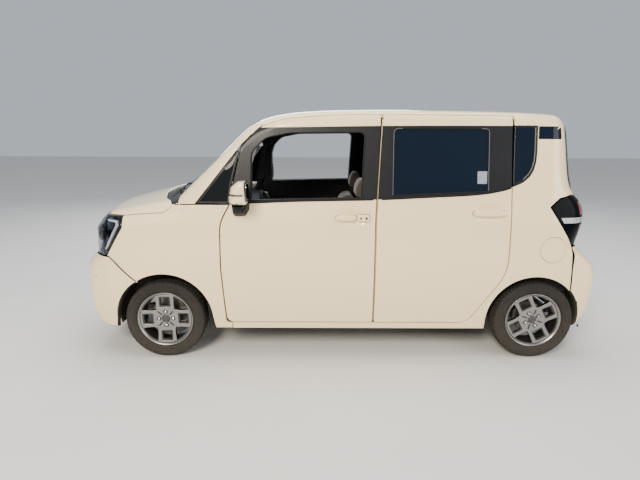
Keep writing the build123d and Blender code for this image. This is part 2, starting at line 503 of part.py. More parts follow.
def wheel(x, s, z):
    y = s * WHEEL_Y
    barrel = revolve_y(RIM, x, y, z, s)
    face = ring_y(x, z, y + s * 30, y + s * 62, 170)
    for k in range(4):
        w = Location((x, y, z)) * Rotation(0, 90 * k, 0)
        # square window in each wide spoke, and the open corner between two spokes
        face = face - w * box(-26, 26, -100, 100, 92, 148)
        a, b = math.radians(45 - 27), math.radians(45 + 27)
        tri = [(62, 62, 10), (62 + 4, 156, 8), (112, 128, 8), (128, 112, 8), (156, 62 + 4, 8)]
        face = face - w * prism(tri, "y", -100, 100)
    face = face - rod((x, y - 200, z), (x, y + 200, z), SPINDLE_R + 0.05)
    hub_boss = ring_y(x, z, y - s * 20, y + s * 32, 62, SPINDLE_R + 0.05)
    rim_part = barrel + face + hub_boss
    tyre = revolve_y(TYRE, x, y, z, s)
    return rim_part, tyre


for x, ax in ((XF, "front"), (XR, "rear")):
    for s, tag in ((1, "left"), (-1, "right")):
        r, t = wheel(x, s, TYRE_R)
        put(f"tyre_{ax}_{tag}", t)
        y = s * WHEEL_Y
        if ax == "front":
            disc = ring_y(x, TYRE_R, y - s * 46, y - s * 19, 62, SPINDLE_R + 0.05) + ring_y(x, TYRE_R, y - s * 46, y - s * 34, 121, SPINDLE_R + 0.05)
            put(f"rim_{ax}_{tag}", r + disc)
            kn = box(x - 28, x + 28, s * 612, s * 650, 215, 345) + rod((x, s * 640, TYRE_R), (x, s * (WHEEL_Y - 4), TYRE_R), SPINDLE_R)
            kn = kn + rod((x, s * KING_LOW[0], KING_LOW[1]), (x, s * 637, 222), 16)
            at = lambda z: (x, s * (KING_LOW[0] + (KING_TOP[0] - KING_LOW[0]) * (z - KING_LOW[1]) / (KING_TOP[1] - KING_LOW[1])), z)
            kn = kn + rod(at(330), at(708), 20) + rod(at(572), at(700), 52)
            cal = box(x - 130, x - 78, y - s * 66, y - s * 26, 230, 330) - rod((x, y - s * 50, TYRE_R), (x, y - s * 30, TYRE_R), 124)
            kn = kn + cal + box(x - 90, x - 20, y - s * 66, y - s * 54, 250, 310)
            put(f"knuckle_{tag}", kn)
        else:
            drum = ring_y(x, TYRE_R, y - s * 90, y - s * 19, 105, 92) + ring_y(x, TYRE_R, y - s * 32, y - s * 19, 105, SPINDLE_R + 0.05)
            put(f"rim_{ax}_{tag}", r + drum)

# wipers parked along the bottom of the windscreen
base, along, out = Vector(1160, 0, 1169), Vector(-0.7305, 0, 0.683), Vector(0.683, 0, 0.7305)
wipers = []
for y0, y1 in ((60, 560), (-470, -50)):
    a = base + along * 34 + out * 20
    b = base + along * 60 + out * 20
    wipers.append(rod((a.X, y0, a.Z), (b.X, y1, b.Z), 7))
put("wipers", wipers)
mp = [(700, 1480, 10), (690, 1420, 10), (672, 1424, 10), (682, 1484, 10)]
put("rear_view_mirror", prism(mp, "y", -115, 115) + rod((690, 0, 1470), (770, 0, 1503), 7))

# ---- write --------------------------------------------------------------
for name, shape in NODES.items():
    solids = [b for a in (shape if isinstance(shape, list) else [shape]) for b in a.solids()]
    keep = [s for s in solids if s.volume > 500]
    out = keep[0] if len(keep) == 1 else Compound(keep)
    out = out.moved(Location((SHIFT_X, 0, 0)))
    export_step(out, f"parts/{name}.step")
    print(name, len(keep), [round(s.volume / 1e3) for s in keep][:6], flush=True)
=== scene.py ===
import bpy, math, json
import numpy as np
from mathutils import Vector, Matrix
from mathutils.geometry import delaunay_2d_cdt
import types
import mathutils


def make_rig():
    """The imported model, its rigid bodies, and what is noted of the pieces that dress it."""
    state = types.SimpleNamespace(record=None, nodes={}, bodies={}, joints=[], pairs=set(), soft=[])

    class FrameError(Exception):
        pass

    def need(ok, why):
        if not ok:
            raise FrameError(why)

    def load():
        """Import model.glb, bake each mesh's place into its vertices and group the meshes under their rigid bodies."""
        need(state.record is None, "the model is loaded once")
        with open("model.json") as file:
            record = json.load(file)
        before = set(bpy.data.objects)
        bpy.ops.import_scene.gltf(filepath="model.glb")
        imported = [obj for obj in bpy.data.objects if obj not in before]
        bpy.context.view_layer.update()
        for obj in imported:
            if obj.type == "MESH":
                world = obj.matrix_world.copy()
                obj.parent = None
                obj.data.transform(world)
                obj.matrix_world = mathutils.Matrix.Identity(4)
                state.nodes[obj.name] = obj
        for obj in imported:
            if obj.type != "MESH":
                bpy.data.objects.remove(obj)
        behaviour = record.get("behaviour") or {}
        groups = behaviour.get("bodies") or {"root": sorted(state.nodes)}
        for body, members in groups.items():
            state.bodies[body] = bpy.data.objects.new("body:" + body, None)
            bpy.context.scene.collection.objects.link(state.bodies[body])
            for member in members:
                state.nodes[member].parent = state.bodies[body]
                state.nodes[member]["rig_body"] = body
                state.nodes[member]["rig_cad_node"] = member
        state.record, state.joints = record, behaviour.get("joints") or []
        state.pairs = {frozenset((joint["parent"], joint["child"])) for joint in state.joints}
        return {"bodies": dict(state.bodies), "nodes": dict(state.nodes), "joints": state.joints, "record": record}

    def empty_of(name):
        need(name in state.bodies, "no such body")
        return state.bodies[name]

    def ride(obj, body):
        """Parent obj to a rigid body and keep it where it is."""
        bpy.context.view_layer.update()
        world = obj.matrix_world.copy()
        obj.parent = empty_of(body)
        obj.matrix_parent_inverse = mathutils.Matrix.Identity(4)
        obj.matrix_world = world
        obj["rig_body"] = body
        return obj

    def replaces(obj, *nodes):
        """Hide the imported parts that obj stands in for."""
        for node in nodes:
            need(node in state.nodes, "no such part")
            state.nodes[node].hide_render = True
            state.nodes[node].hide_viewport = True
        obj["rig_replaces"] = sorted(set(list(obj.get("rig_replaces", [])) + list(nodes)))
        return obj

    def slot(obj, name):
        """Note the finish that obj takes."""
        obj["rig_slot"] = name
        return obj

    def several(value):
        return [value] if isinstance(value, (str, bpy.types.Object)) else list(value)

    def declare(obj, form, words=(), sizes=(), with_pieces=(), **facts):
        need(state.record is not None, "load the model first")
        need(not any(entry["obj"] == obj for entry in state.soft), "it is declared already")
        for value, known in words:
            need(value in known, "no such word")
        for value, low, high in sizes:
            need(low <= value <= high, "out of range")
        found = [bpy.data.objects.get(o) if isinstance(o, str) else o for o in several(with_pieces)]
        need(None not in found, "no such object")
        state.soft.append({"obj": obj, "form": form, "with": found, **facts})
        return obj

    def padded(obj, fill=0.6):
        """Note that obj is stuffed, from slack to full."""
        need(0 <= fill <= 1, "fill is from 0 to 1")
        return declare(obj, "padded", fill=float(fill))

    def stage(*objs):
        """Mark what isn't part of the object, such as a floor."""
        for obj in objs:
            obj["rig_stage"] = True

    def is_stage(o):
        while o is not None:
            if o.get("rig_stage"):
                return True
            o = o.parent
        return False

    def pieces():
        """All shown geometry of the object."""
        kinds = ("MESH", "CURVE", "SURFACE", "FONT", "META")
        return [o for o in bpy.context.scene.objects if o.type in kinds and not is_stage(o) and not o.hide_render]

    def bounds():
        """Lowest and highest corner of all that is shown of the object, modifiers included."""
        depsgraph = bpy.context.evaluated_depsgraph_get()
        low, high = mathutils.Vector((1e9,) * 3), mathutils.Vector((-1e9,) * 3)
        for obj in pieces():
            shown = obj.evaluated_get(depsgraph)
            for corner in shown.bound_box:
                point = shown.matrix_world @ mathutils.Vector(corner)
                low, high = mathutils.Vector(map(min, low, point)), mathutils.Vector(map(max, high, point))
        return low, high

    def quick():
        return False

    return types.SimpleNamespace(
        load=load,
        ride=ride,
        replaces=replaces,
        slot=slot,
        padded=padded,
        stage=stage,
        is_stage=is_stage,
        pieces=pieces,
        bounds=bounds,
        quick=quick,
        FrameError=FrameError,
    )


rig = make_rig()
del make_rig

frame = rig.load()
CAD_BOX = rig.bounds()
NODES = frame["nodes"]
scene = bpy.context.scene
# Lengths are metres. Tables use x = 0 at mid-wheelbase; SX moves them to the row frame.
SX = -0.0885
XF, XR = 1.260, -1.260

# =====================================================================
# camera (the floor and lights are made at the end)
# =====================================================================
TH, YAW, ROLL = math.radians(12.33), math.radians(0.15), math.radians(0.21)
cam = bpy.data.objects.new("camera", bpy.data.cameras.new("camera"))
scene.collection.objects.link(cam)
fw = Vector((-math.sin(YAW) * math.cos(TH), -math.cos(YAW) * math.cos(TH), -math.sin(TH)))
rt = Vector((-math.cos(YAW), math.sin(YAW), 0))
up = rt.cross(fw)
r2 = rt * math.cos(ROLL) + up * math.sin(ROLL)
u2 = -rt * math.sin(ROLL) + up * math.cos(ROLL)
M = Matrix.Identity(4)
for i in range(3):
    M[i][0], M[i][1], M[i][2] = r2[i], u2[i], -fw[i]
M[0][3], M[1][3], M[2][3] = 0.1225, 3.873, 1.511
cam.matrix_world = M
cam.data.sensor_width, cam.data.lens = 36.0, 27.0
cam.data.clip_end = 200
scene.camera = cam


# =====================================================================
# materials
# =====================================================================
MATS = {}


def material(name, color, rough=0.5, metal=0.0, coat=0.0, coat_rough=0.03, bump=0.0, scale=400.0, detail=2.0, vary=0.06, vary_scale=6.0,
             rough_vary=0.08, dust=0.0, trans=0.0, ior=1.45, sheen=0.0, alpha=1.0, spec=0.5, emit=None, emit_strength=0.0, weave=0.0, stretch=None, aniso=0.0):
    """A Principled material whose colour, roughness and bump come from noise in object space."""
    m = bpy.data.materials.new(name)
    m.use_nodes = True
    t = m.node_tree
    N, L = t.nodes, t.links
    b = N["Principled BSDF"]
    co = N.new("ShaderNodeTexCoord")
    src = co.outputs["Object"]
    if stretch:
        mp = N.new("ShaderNodeMapping")
        mp.inputs["Scale"].default_value = stretch
        L.new(src, mp.inputs["Vector"])
        src = mp.outputs["Vector"]
    n1 = N.new("ShaderNodeTexNoise")
    n1.inputs["Scale"].default_value = vary_scale
    n1.inputs["Detail"].default_value = 4.0
    L.new(co.outputs["Object"], n1.inputs["Vector"])
    ramp = N.new("ShaderNodeValToRGB")
    c = np.array(color[:3])
    lo, hi = np.clip(c * (1 - vary), 0, 1), np.clip(c * (1 + vary), 0, 1)
    ramp.color_ramp.elements[0].position, ramp.color_ramp.elements[1].position = 0.3, 0.7
    ramp.color_ramp.elements[0].color = (*lo, 1)
    ramp.color_ramp.elements[1].color = (*hi, 1)
    L.new(n1.outputs["Fac"], ramp.inputs["Fac"])
    col = ramp.outputs["Color"]
    rgh = N.new("ShaderNodeMapRange")
    rgh.inputs["To Min"].default_value = max(0.0, rough - rough_vary)
    rgh.inputs["To Max"].default_value = min(1.0, rough + rough_vary)
    n2 = N.new("ShaderNodeTexNoise")
    n2.inputs["Scale"].default_value = vary_scale * 5
    n2.inputs["Detail"].default_value = 5.0
    L.new(co.outputs["Object"], n2.inputs["Vector"])
    L.new(n2.outputs["Fac"], rgh.inputs["Value"])
    rough_out = rgh.outputs["Result"]
    if dust > 0:
        # road dust: more of it low on the car
        sep = N.new("ShaderNodeSeparateXYZ")
        L.new(co.outputs["Object"], sep.inputs["Vector"])
        h = N.new("ShaderNodeMapRange")
        h.inputs["From Min"].default_value, h.inputs["From Max"].default_value = 0.62, 0.16
        h.inputs["To Min"].default_value, h.inputs["To Max"].default_value = 0.0, dust
        L.new(sep.outputs["Z"], h.inputs["Value"])
        mul = N.new("ShaderNodeMath")
        mul.operation = "MULTIPLY"
        L.new(h.outputs["Result"], mul.inputs[0])
        L.new(n2.outputs["Fac"], mul.inputs[1])
        mx = N.new("ShaderNodeMix")
        mx.data_type = "RGBA"
        L.new(mul.outputs[0], mx.inputs["Factor"])
        L.new(col, mx.inputs["A"])
        mx.inputs["B"].default_value = (0.30, 0.25, 0.19, 1)
        col = mx.outputs["Result"]
        ad = N.new("ShaderNodeMath")
        ad.operation = "ADD"
        L.new(rough_out, ad.inputs[0])
        L.new(mul.outputs[0], ad.inputs[1])
        rough_out = ad.outputs[0]
    if weave > 0:
        w1 = N.new("ShaderNodeTexWave")
        w1.inputs["Scale"].default_value = weave
        w1.bands_direction = "X"
        w2 = N.new("ShaderNodeTexWave")
        w2.inputs["Scale"].default_value = weave
        w2.bands_direction = "DIAGONAL"
        for w in (w1, w2):
            w.inputs["Distortion"].default_value = 0.4
            L.new(src, w.inputs["Vector"])
        mn = N.new("ShaderNodeMath")
        mn.operation = "MULTIPLY"
        L.new(w1.outputs["Fac"], mn.inputs[0])
        L.new(w2.outputs["Fac"], mn.inputs[1])
        height = mn.outputs[0]
        dk = N.new("ShaderNodeMix")
        dk.data_type = "RGBA"
        dk.blend_type = "MULTIPLY"
        f = N.new("ShaderNodeMapRange")
        f.inputs["To Min"].default_value, f.inputs["To Max"].default_value = 0.35, 0.0
        L.new(height, f.inputs["Value"])
        L.new(f.outputs["Result"], dk.inputs["Factor"])
        L.new(col, dk.inputs["A"])
        dk.inputs["B"].default_value = (0.35, 0.33, 0.3, 1)
        col = dk.outputs["Result"]
    else:
        n3 = N.new("ShaderNodeTexNoise")
        n3.inputs["Scale"].default_value = scale
        n3.inputs["Detail"].default_value = detail
        L.new(src, n3.inputs["Vector"])
        height = n3.outputs["Fac"]
    if bump > 0:
        bp = N.new("ShaderNodeBump")
        bp.inputs["Strength"].default_value = min(1.0, bump)
        bp.inputs["Distance"].default_value = 0.001
        L.new(height, bp.inputs["Height"])
        L.new(bp.outputs["Normal"], b.inputs["Normal"])
        if coat and bump > 0.1:
            L.new(bp.outputs["Normal"], b.inputs["Coat Normal"])
    L.new(col, b.inputs["Base Color"])
    L.new(rough_out, b.inputs["Roughness"])
    b.inputs["Metallic"].default_value = metal
    b.inputs["Coat Weight"].default_value = coat
    b.inputs["Coat Roughness"].default_value = coat_rough
    b.inputs["Transmission Weight"].default_value = trans
    b.inputs["IOR"].default_value = ior
    b.inputs["Specular IOR Level"].default_value = spec
    b.inputs["Sheen Weight"].default_value = sheen
    b.inputs["Anisotropic"].default_value = aniso
    if emit:
        b.inputs["Emission Color"].default_value = (*emit, 1)
        b.inputs["Emission Strength"].default_value = emit_strength
    MATS[name] = m
    return m


material("paint_cream", (0.95, 0.760, 0.455), rough=0.30, rough_vary=0.05, coat=1.0, coat_rough=0.025, bump=0.03, scale=900, vary=0.012, vary_scale=3.0, dust=0.10)
# paint_inner: the cream paint made darker and greyer for the inner skins and backs of panels, painted shade in gaps and
# recesses
material("paint_inner", (0.70, 0.62, 0.47), rough=0.45, coat=0.3, coat_rough=0.2, bump=0.06, scale=500, vary=0.03)
material("gloss_black", (0.018, 0.018, 0.021), rough=0.16, rough_vary=0.06, coat=1.0, coat_rough=0.03, bump=0.02, scale=300, vary=0.2)
material("pillar_black", (0.0085, 0.009, 0.0105), rough=0.38, rough_vary=0.05, coat=0.08, coat_rough=0.10, bump=0.03, scale=600, vary=0.10, spec=0.28)
material("trim_black", (0.012, 0.012, 0.0135), rough=0.60, spec=0.3, rough_vary=0.1, bump=0.35, scale=1400, vary=0.12)
material("rubber", (0.010, 0.010, 0.011), rough=0.75, spec=0.25, rough_vary=0.08, bump=0.2, scale=900, vary=0.1)
material("glass_clear", (0.90, 0.96, 0.95), rough=0.012, rough_vary=0.01, trans=1.0, ior=1.30, bump=0.006, scale=8, vary=0.01)
# glass_dark: dark privacy tint, which is real; its navy cast is a painted reflection of a deep blue sky
material("glass_dark", (0.004, 0.009, 0.019), rough=0.02, rough_vary=0.015, spec=0.22, trans=0.12, ior=1.45, bump=0.01, scale=4, vary=0.10, vary_scale=2.0)
# glass_grey: near black and nearly opaque, so the corner panes show painted shade in place of the cabin behind them;
# also used for the projector lenses
material("glass_grey", (0.008, 0.0095, 0.010), rough=0.02, rough_vary=0.015, spec=0.25, trans=0.03, ior=1.35, bump=0.01, scale=4, vary=0.06)
material("lens_clear", (0.66, 0.69, 0.74), rough=0.02, rough_vary=0.015, trans=1.0, ior=1.16, bump=0.01, scale=12, vary=0.01)
material("lamp_dark", (0.010, 0.010, 0.018), rough=0.22, rough_vary=0.08, coat=0.8, bump=0.05, scale=300, vary=0.2)
material("chrome", (0.62, 0.63, 0.65), rough=0.09, rough_vary=0.05, metal=1.0, bump=0.02, scale=200, vary=0.02)
material("lamp_grey", (0.42, 0.43, 0.44), rough=0.25, rough_vary=0.08, coat=0.6, bump=0.2, scale=160, vary=0.05)
material("frame_grey", (0.095, 0.095, 0.098), rough=0.42, rough_vary=0.06, coat=0.2, bump=0.05, scale=300, vary=0.06)
material("lamp_white", (0.92, 0.93, 0.95), rough=0.22, rough_vary=0.08, coat=0.8, bump=0.15, scale=160, vary=0.03, emit=(1.0, 0.98, 0.95), emit_strength=0.25)
material("lens_red", (0.17, 0.006, 0.008), rough=0.12, rough_vary=0.05, coat=1.0, bump=0.3, scale=260, vary=0.10)
material("lens_smoke", (0.002, 0.003, 0.005), rough=0.12, rough_vary=0.03, spec=0.06, bump=0.02, scale=120, vary=0.25)
material("lens_amber", (0.75, 0.28, 0.03), rough=0.16, rough_vary=0.05, coat=0.8, bump=0.3, scale=260, vary=0.08)
material("tyre_rubber", (0.016, 0.015, 0.014), rough=0.82, spec=0.25, rough_vary=0.10, bump=0.25, scale=700, vary=0.22, vary_scale=14, dust=0.18)
material("alloy_dark", (0.055, 0.052, 0.050), rough=0.34, rough_vary=0.08, metal=0.75, coat=0.4, bump=0.05, scale=600, vary=0.08)
material("alloy_bright", (0.29, 0.278, 0.265), rough=0.34, rough_vary=0.08, metal=1.0, coat=0.4, coat_rough=0.1, bump=0.10, scale=260, vary=0.04, stretch=(1, 1, 1))
material("brake_iron", (0.30, 0.27, 0.25), rough=0.42, rough_vary=0.12, metal=1.0, bump=0.25, scale=500, vary=0.2, vary_scale=30)
material("steel_coated", (0.050, 0.050, 0.053), rough=0.60, rough_vary=0.15, bump=0.35, scale=260, vary=0.3, vary_scale=9, dust=0.7)
material("liner", (0.006, 0.006, 0.0065), rough=0.9, spec=0.15, rough_vary=0.08, bump=0.6, scale=500, vary=0.25, dust=0.5)
material("engine_alloy", (0.36, 0.36, 0.37), rough=0.5, rough_vary=0.12, metal=0.8, bump=0.5, scale=180, vary=0.15)
material("exhaust_metal", (0.20, 0.185, 0.17), rough=0.5, rough_vary=0.15, metal=0.9, bump=0.3, scale=120, vary=0.25, vary_scale=12)
# fabric_tan: tan seat cloth darkened to near black, painted shade of the cabin under the roof
material("fabric_tan", (0.078, 0.069, 0.055), rough=0.92, rough_vary=0.04, bump=0.8, vary=0.07, vary_scale=10, sheen=0.35, weave=420)
material("fabric_grey", (0.085, 0.080, 0.078), rough=0.92, rough_vary=0.04, bump=0.8, vary=0.10, vary_scale=10, sheen=0.3, weave=420)
material("trim_grey", (0.26, 0.25, 0.225), rough=0.7, rough_vary=0.08, bump=0.35, scale=1500, vary=0.04)
material("headliner", (0.38, 0.365, 0.335), rough=0.95, rough_vary=0.03, bump=0.5, scale=1800, vary=0.05, sheen=0.2)
material("dash_black", (0.016, 0.016, 0.018), rough=0.68, spec=0.3, rough_vary=0.1, bump=0.5, scale=1100, vary=0.12)
material("carpet", (0.035, 0.035, 0.037), rough=0.98, rough_vary=0.02, bump=1.0, scale=1600, vary=0.25, vary_scale=20)
material("screen", (0.012, 0.014, 0.018), rough=0.10, rough_vary=0.04, coat=1.0, bump=0.01, scale=60, vary=0.2)
material("mirror", (0.86, 0.88, 0.90), rough=0.02, rough_vary=0.015, metal=1.0, bump=0.01, scale=10, vary=0.01)
material("plate_white", (0.80, 0.80, 0.78), rough=0.38, rough_vary=0.06, coat=0.5, bump=0.1, scale=300, vary=0.02)
material("label_pale", (0.26, 0.29, 0.34), rough=0.5, rough_vary=0.08, bump=0.1, scale=200, vary=0.16, vary_scale=60)
material("floor", (0.72, 0.70, 0.67), rough=0.85, rough_vary=0.05, bump=0.05, scale=60, vary=0.02, vary_scale=1.2)


# =====================================================================
# mesh helpers
# =====================================================================
class Build:
    """Collects pieces of mesh with their own normals and materials, and makes one object."""

    def __init__(self):
        self.v, self.n, self.f, self.m, self.mats, self.count = [], [], [], [], [], 0

    def add(self, v, n, faces, mat):
        v, n = np.asarray(v, float), np.asarray(n, float)
        if mat not in self.mats:
            self.mats.append(mat)
        k, c = self.mats.index(mat), self.count
        ln = np.linalg.norm(n, axis=1, keepdims=True)
        n = n / np.where(ln < 1e-12, 1, ln)
        for size in (3, 4):
            F = np.array([f for f in faces if len(f) == size], int)
            if not len(F):
                continue
            p = v[F]
            g = np.cross(p[:, 1] - p[:, 0], p[:, 2] - p[:, 0])
            if size == 4:
                g = g + np.cross(p[:, 2] - p[:, 0], p[:, 3] - p[:, 0])
            bad = (g * n[F].sum(1)).sum(1) < 0
            F[bad] = F[bad][:, ::-1]
            self.f += [tuple(q) for q in (F + c).tolist()]
            self.m += [k] * len(F)
        self.v.append(v)
        self.n.append(n)
        self.count += len(v)
        return self

    def merged(self):
        return np.concatenate(self.v), np.concatenate(self.n)

    def mirrored(self):
        b = Build()
        v, n = self.merged()
        s = np.array([1, -1, 1])
        b.v, b.n, b.f, b.m, b.mats, b.count = [v * s], [n * s], [f[::-1] for f in self.f], list(self.m), list(self.mats), self.count
        return b

    def join(self, other):
        c = self.count
        idx = []
        for m in other.mats:
            if m not in self.mats:
                self.mats.append(m)
            idx.append(self.mats.index(m))
        self.f += [tuple(i + c for i in f) for f in other.f]
        self.m += [idx[k] for k in other.m]
        self.v += list(other.v)
        self.n += list(other.n)
        self.count += other.count
        return self

    def both(self):
        """The piece and its mirror image."""
        return self.join(self.mirrored())

    def object(self, name, body, replaces=(), shift=True, slot=None):
        v, n = self.merged()
        if shift:
            v = v + np.array([SX, 0, 0])
        me = bpy.data.meshes.new(name)
        me.from_pydata([tuple(p) for p in v], [], self.f)
        me.polygons.foreach_set("use_smooth", [True] * len(me.polygons))
        me.polygons.foreach_set("material_index", self.m)
        for m in self.mats:
            me.materials.append(MATS[m])
        me.update()
        me.normals_split_custom_set_from_vertices([tuple(p) for p in n])
        o = bpy.data.objects.new(name, me)
        scene.collection.objects.link(o)
        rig.ride(o, body)
        if replaces:
            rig.replaces(o, *([replaces] if isinstance(replaces, str) else replaces))
        if slot:
            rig.slot(o, slot)
        return o


class Curve:
    """Smooth curve y(x) through points, straight beyond its ends."""

    def __init__(self, pts):
        p = np.array(sorted(pts), float)
        self.x, self.y = p[:, 0], p[:, 1]
        h, d = np.diff(self.x), np.diff(self.y) / np.diff(self.x)
        m = np.zeros(len(self.x))
        m[0], m[-1] = d[0], d[-1]
        for i in range(1, len(d)):
            if d[i - 1] * d[i] > 0:
                w1, w2 = 2 * h[i] + h[i - 1], h[i] + 2 * h[i - 1]
                m[i] = (w1 + w2) / (w1 / d[i - 1] + w2 / d[i])
        self.m = m

    def __call__(self, x):
        x = np.asarray(x, float)
        i = np.clip(np.searchsorted(self.x, x) - 1, 0, len(self.x) - 2)
        h = self.x[i + 1] - self.x[i]
        t = np.clip((x - self.x[i]) / h, 0, 1)
        y = ((1 + 2 * t) * (1 - t) ** 2 * self.y[i] + t * (1 - t) ** 2 * h * self.m[i] + t * t * (3 - 2 * t) * self.y[i + 1] + t * t * (t - 1) * h * self.m[i + 1])
        y = y + np.where(x < self.x[0], self.m[0] * (x - self.x[0]), 0) + np.where(x > self.x[-1], self.m[-1] * (x - self.x[-1]), 0)
        return y

    def d(self, x):
        return (self(np.asarray(x) + 0.002) - self(np.asarray(x) - 0.002)) / 0.004


def smax(a, b, r, p=2.0):
    u, v = np.maximum(a + r, 0.0), np.maximum(b + r, 0.0)
    return np.minimum(-r, np.maximum(a, b)) + (u ** p + v ** p) ** (1.0 / p)


def bell(t):
    return np.exp(-np.minimum(t * t, 40))


# =====================================================================
# the body's outer surface: side, nose, hood, windscreen and roof, rear
# =====================================================================
HALF = Curve([(0.10, 0.722), (0.15, 0.740), (0.20, 0.7530), (0.30, 0.7700), (0.45, 0.7880), (0.60, 0.7960), (0.70, 0.7975), (0.80, 0.7960), (0.90, 0.7915), (0.93, 0.7895),
              (1.00, 0.7800), (1.06, 0.7695), (1.16, 0.7545), (1.60, 0.6890), (1.90, 0.6445)])
PLAN_F = Curve([(1.20, 0), (1.30, 0.0005), (1.43, 0.006), (1.50, 0.014), (1.56, 0.025), (1.62, 0.042), (1.70, 0.082), (1.76, 0.120), (1.82, 0.168), (1.90, 0.245)])
PLAN_R = Curve([(1.20, 0), (1.30, 0.001), (1.40, 0.008), (1.48, 0.018), (1.56, 0.032), (1.64, 0.053), (1.72, 0.085)])
NOSE = Curve([(0.10, 1.66), (0.203, 1.790), (0.234, 1.826), (0.273, 1.852), (0.318, 1.870), (0.369, 1.880), (0.438, 1.885), (0.523, 1.886), (0.600, 1.883), (0.645, 1.874),
              (0.681, 1.846), (0.708, 1.818), (0.730, 1.8065), (0.780, 1.8055), (0.833, 1.804), (0.886, 1.798), (0.940, 1.787), (0.990, 1.771), (1.05, 1.745)])
BROW = Curve([(0.10, 0.66), (0.30, 0.70), (0.50, 0.74), (0.62, 0.84), (0.70, 1.0), (1.05, 1.0)])
HOOD_Z = Curve([(0.90, 1.190), (1.172, 1.138), (1.30, 1.113), (1.40, 1.094), (1.512, 1.070), (1.60, 1.049), (1.667, 1.031), (1.72, 1.013), (1.78, 0.985), (1.90, 0.915)])
TOP_Z = Curve([(1.40, 0.950), (1.184, 1.152), (0.90, 1.4174), (0.785, 1.5230), (0.735, 1.5640), (0.680, 1.5980), (0.60, 1.6310), (0.50, 1.6555), (0.33, 1.6770), (0.05, 1.6900), (-0.30, 1.6935), (-0.69, 1.6905),
               (-1.05, 1.6830), (-1.236, 1.6755), (-1.334, 1.6665), (-1.42, 1.6520), (-1.60, 1.610)])
REAR = Curve([(0.10, -1.46), (0.196, -1.600), (0.225, -1.640), (0.27, -1.672), (0.33, -1.697), (0.42, -1.7075), (0.55, -1.7090), (0.62, -1.7050), (0.665, -1.6920), (0.71, -1.6690),
              (0.76, -1.6430), (0.80, -1.6330), (0.86, -1.6450), (0.93, -1.6580), (1.00, -1.6580), (1.05, -1.6450), (1.09, -1.6180), (1.12, -1.5880), (1.15, -1.5640), (1.20, -1.5440),
              (1.33, -1.5160), (1.45, -1.4920), (1.56, -1.4680), (1.64, -1.4500), (1.70, -1.4350)])
# how far the rear face sweeps forward to its corners, and how full the corner is, by height
SWEEP_A = Curve([(0.10, 0.016), (0.55, 0.011), (0.64, 0.013), (0.72, 0.024), (0.80, 0.040), (0.95, 0.036), (1.10, 0.035), (1.25, 0.038), (1.60, 0.032)])
SWEEP_B = Curve([(0.10, 0.010), (0.55, 0.008), (0.64, 0.010), (0.72, 0.018), (0.80, 0.030), (0.95, 0.027), (1.10, 0.026), (1.25, 0.028), (1.60, 0.020)])
FULL = Curve([(0.10, 0.80), (0.30, 0.68), (0.55, 0.60), (0.64, 0.64), (0.74, 0.86), (0.82, 1.03), (1.00, 1.0), (1.60, 1.0)])
# shallow cups behind the door handles: (x, z, half length, half height, depth)
CUPS = [(-0.012, 0.988, 0.066, 0.046, 0.020), (-0.905, 1.020, 0.066, 0.046, 0.020)]


def body_F(x, y, z):
    ay = np.abs(y)
    full, brow = FULL(z), BROW(z)
    w = HALF(z) - np.where(x > 1.2, PLAN_F(x) * brow, 0) - np.where(x < -1.2, PLAN_R(-x) * full, 0)
    for cx, cz, a, b, dep in CUPS:
        w = w - dep * bell((((x - cx) / a) ** 4 + ((z - cz) / b) ** 4) ** 0.5)
    side = ay - w
    nose = x - (NOSE(z) - brow * (0.125 * ay ** 2 + 0.10 * ay ** 4))
    rear = REAR(z) + SWEEP_A(z) * (ay / 0.6) ** 2 + SWEEP_B(z) * (ay / 0.6) ** 4 - x
    ring = smax(side, nose, 0.040 + 0.045 * brow)
    ring = smax(ring, rear, 0.030 + 0.045 * full)
    hood = (z - (HOOD_Z(x) - 0.052 * (ay / 0.7) ** 2.2)) / np.sqrt(1 + HOOD_Z.d(x) ** 2)
    front = np.clip((x - 0.2) / 0.6, 0, 1)
    xx = x + 0.052 * (ay / 0.6) ** 2 * front
    top = (z - (TOP_Z(xx) - 0.021 * (ay / 0.6) ** 2)) / np.sqrt(1 + TOP_Z.d(xx) ** 2)
    upper = np.minimum(hood, top)
    r = 0.068 + 0.04 * np.clip((x - 1.0) / 0.25, 0, 1)
    return smax(ring, upper, r)


def gradient(P, f=body_F, e=4e-4):
    x, y, z = P[:, 0], P[:, 1], P[:, 2]
    g = np.stack([f(x + e, y, z) - f(x - e, y, z), f(x, y + e, z) - f(x, y - e, z), f(x, y, z + e) - f(x, y, z - e)], 1)
    return g / np.linalg.norm(g, axis=1, keepdims=True)


def shoot(o, d, lo, hi, f=body_F):
    """Distance along each ray where it leaves the body."""
    lo, hi = np.full(len(o), float(lo)), np.full(len(o), float(hi))
    for _ in range(30):
        mid = (lo + hi) / 2
        p = o + d * mid[:, None]
        inside = f(p[:, 0], p[:, 1], p[:, 2]) < 0
        lo, hi = np.where(inside, mid, lo), np.where(inside, hi, mid)
    return (lo + hi) / 2


class Side:
    """Panels seen from the left: u = x, v = z."""
    lo, hi = 0.25, 0.95

    def rays(self, uv):
        z = np.zeros(len(uv))
        return np.stack([uv[:, 0], z, uv[:, 1]], 1), np.tile([0.0, 1.0, 0.0], (len(uv), 1))

    def uv(self, P):
        return P[:, [0, 2]]

    def pos(self, uv, depth=0.0):
        o, d = self.rays(uv)
        s = shoot(o, d, self.lo, self.hi)
        return o + d * (s - depth)[:, None]

    def nrm(self, uv):
        return gradient(self.pos(uv))


class Top(Side):
    """Panels seen from above: u = x, v = y."""
    lo, hi = 0.0, 1.2

    def rays(self, uv):
        z = np.full(len(uv), 0.7)
        return np.stack([uv[:, 0], uv[:, 1], z], 1), np.tile([0.0, 0.0, 1.0], (len(uv), 1))

    def uv(self, P):
        return P[:, :2]


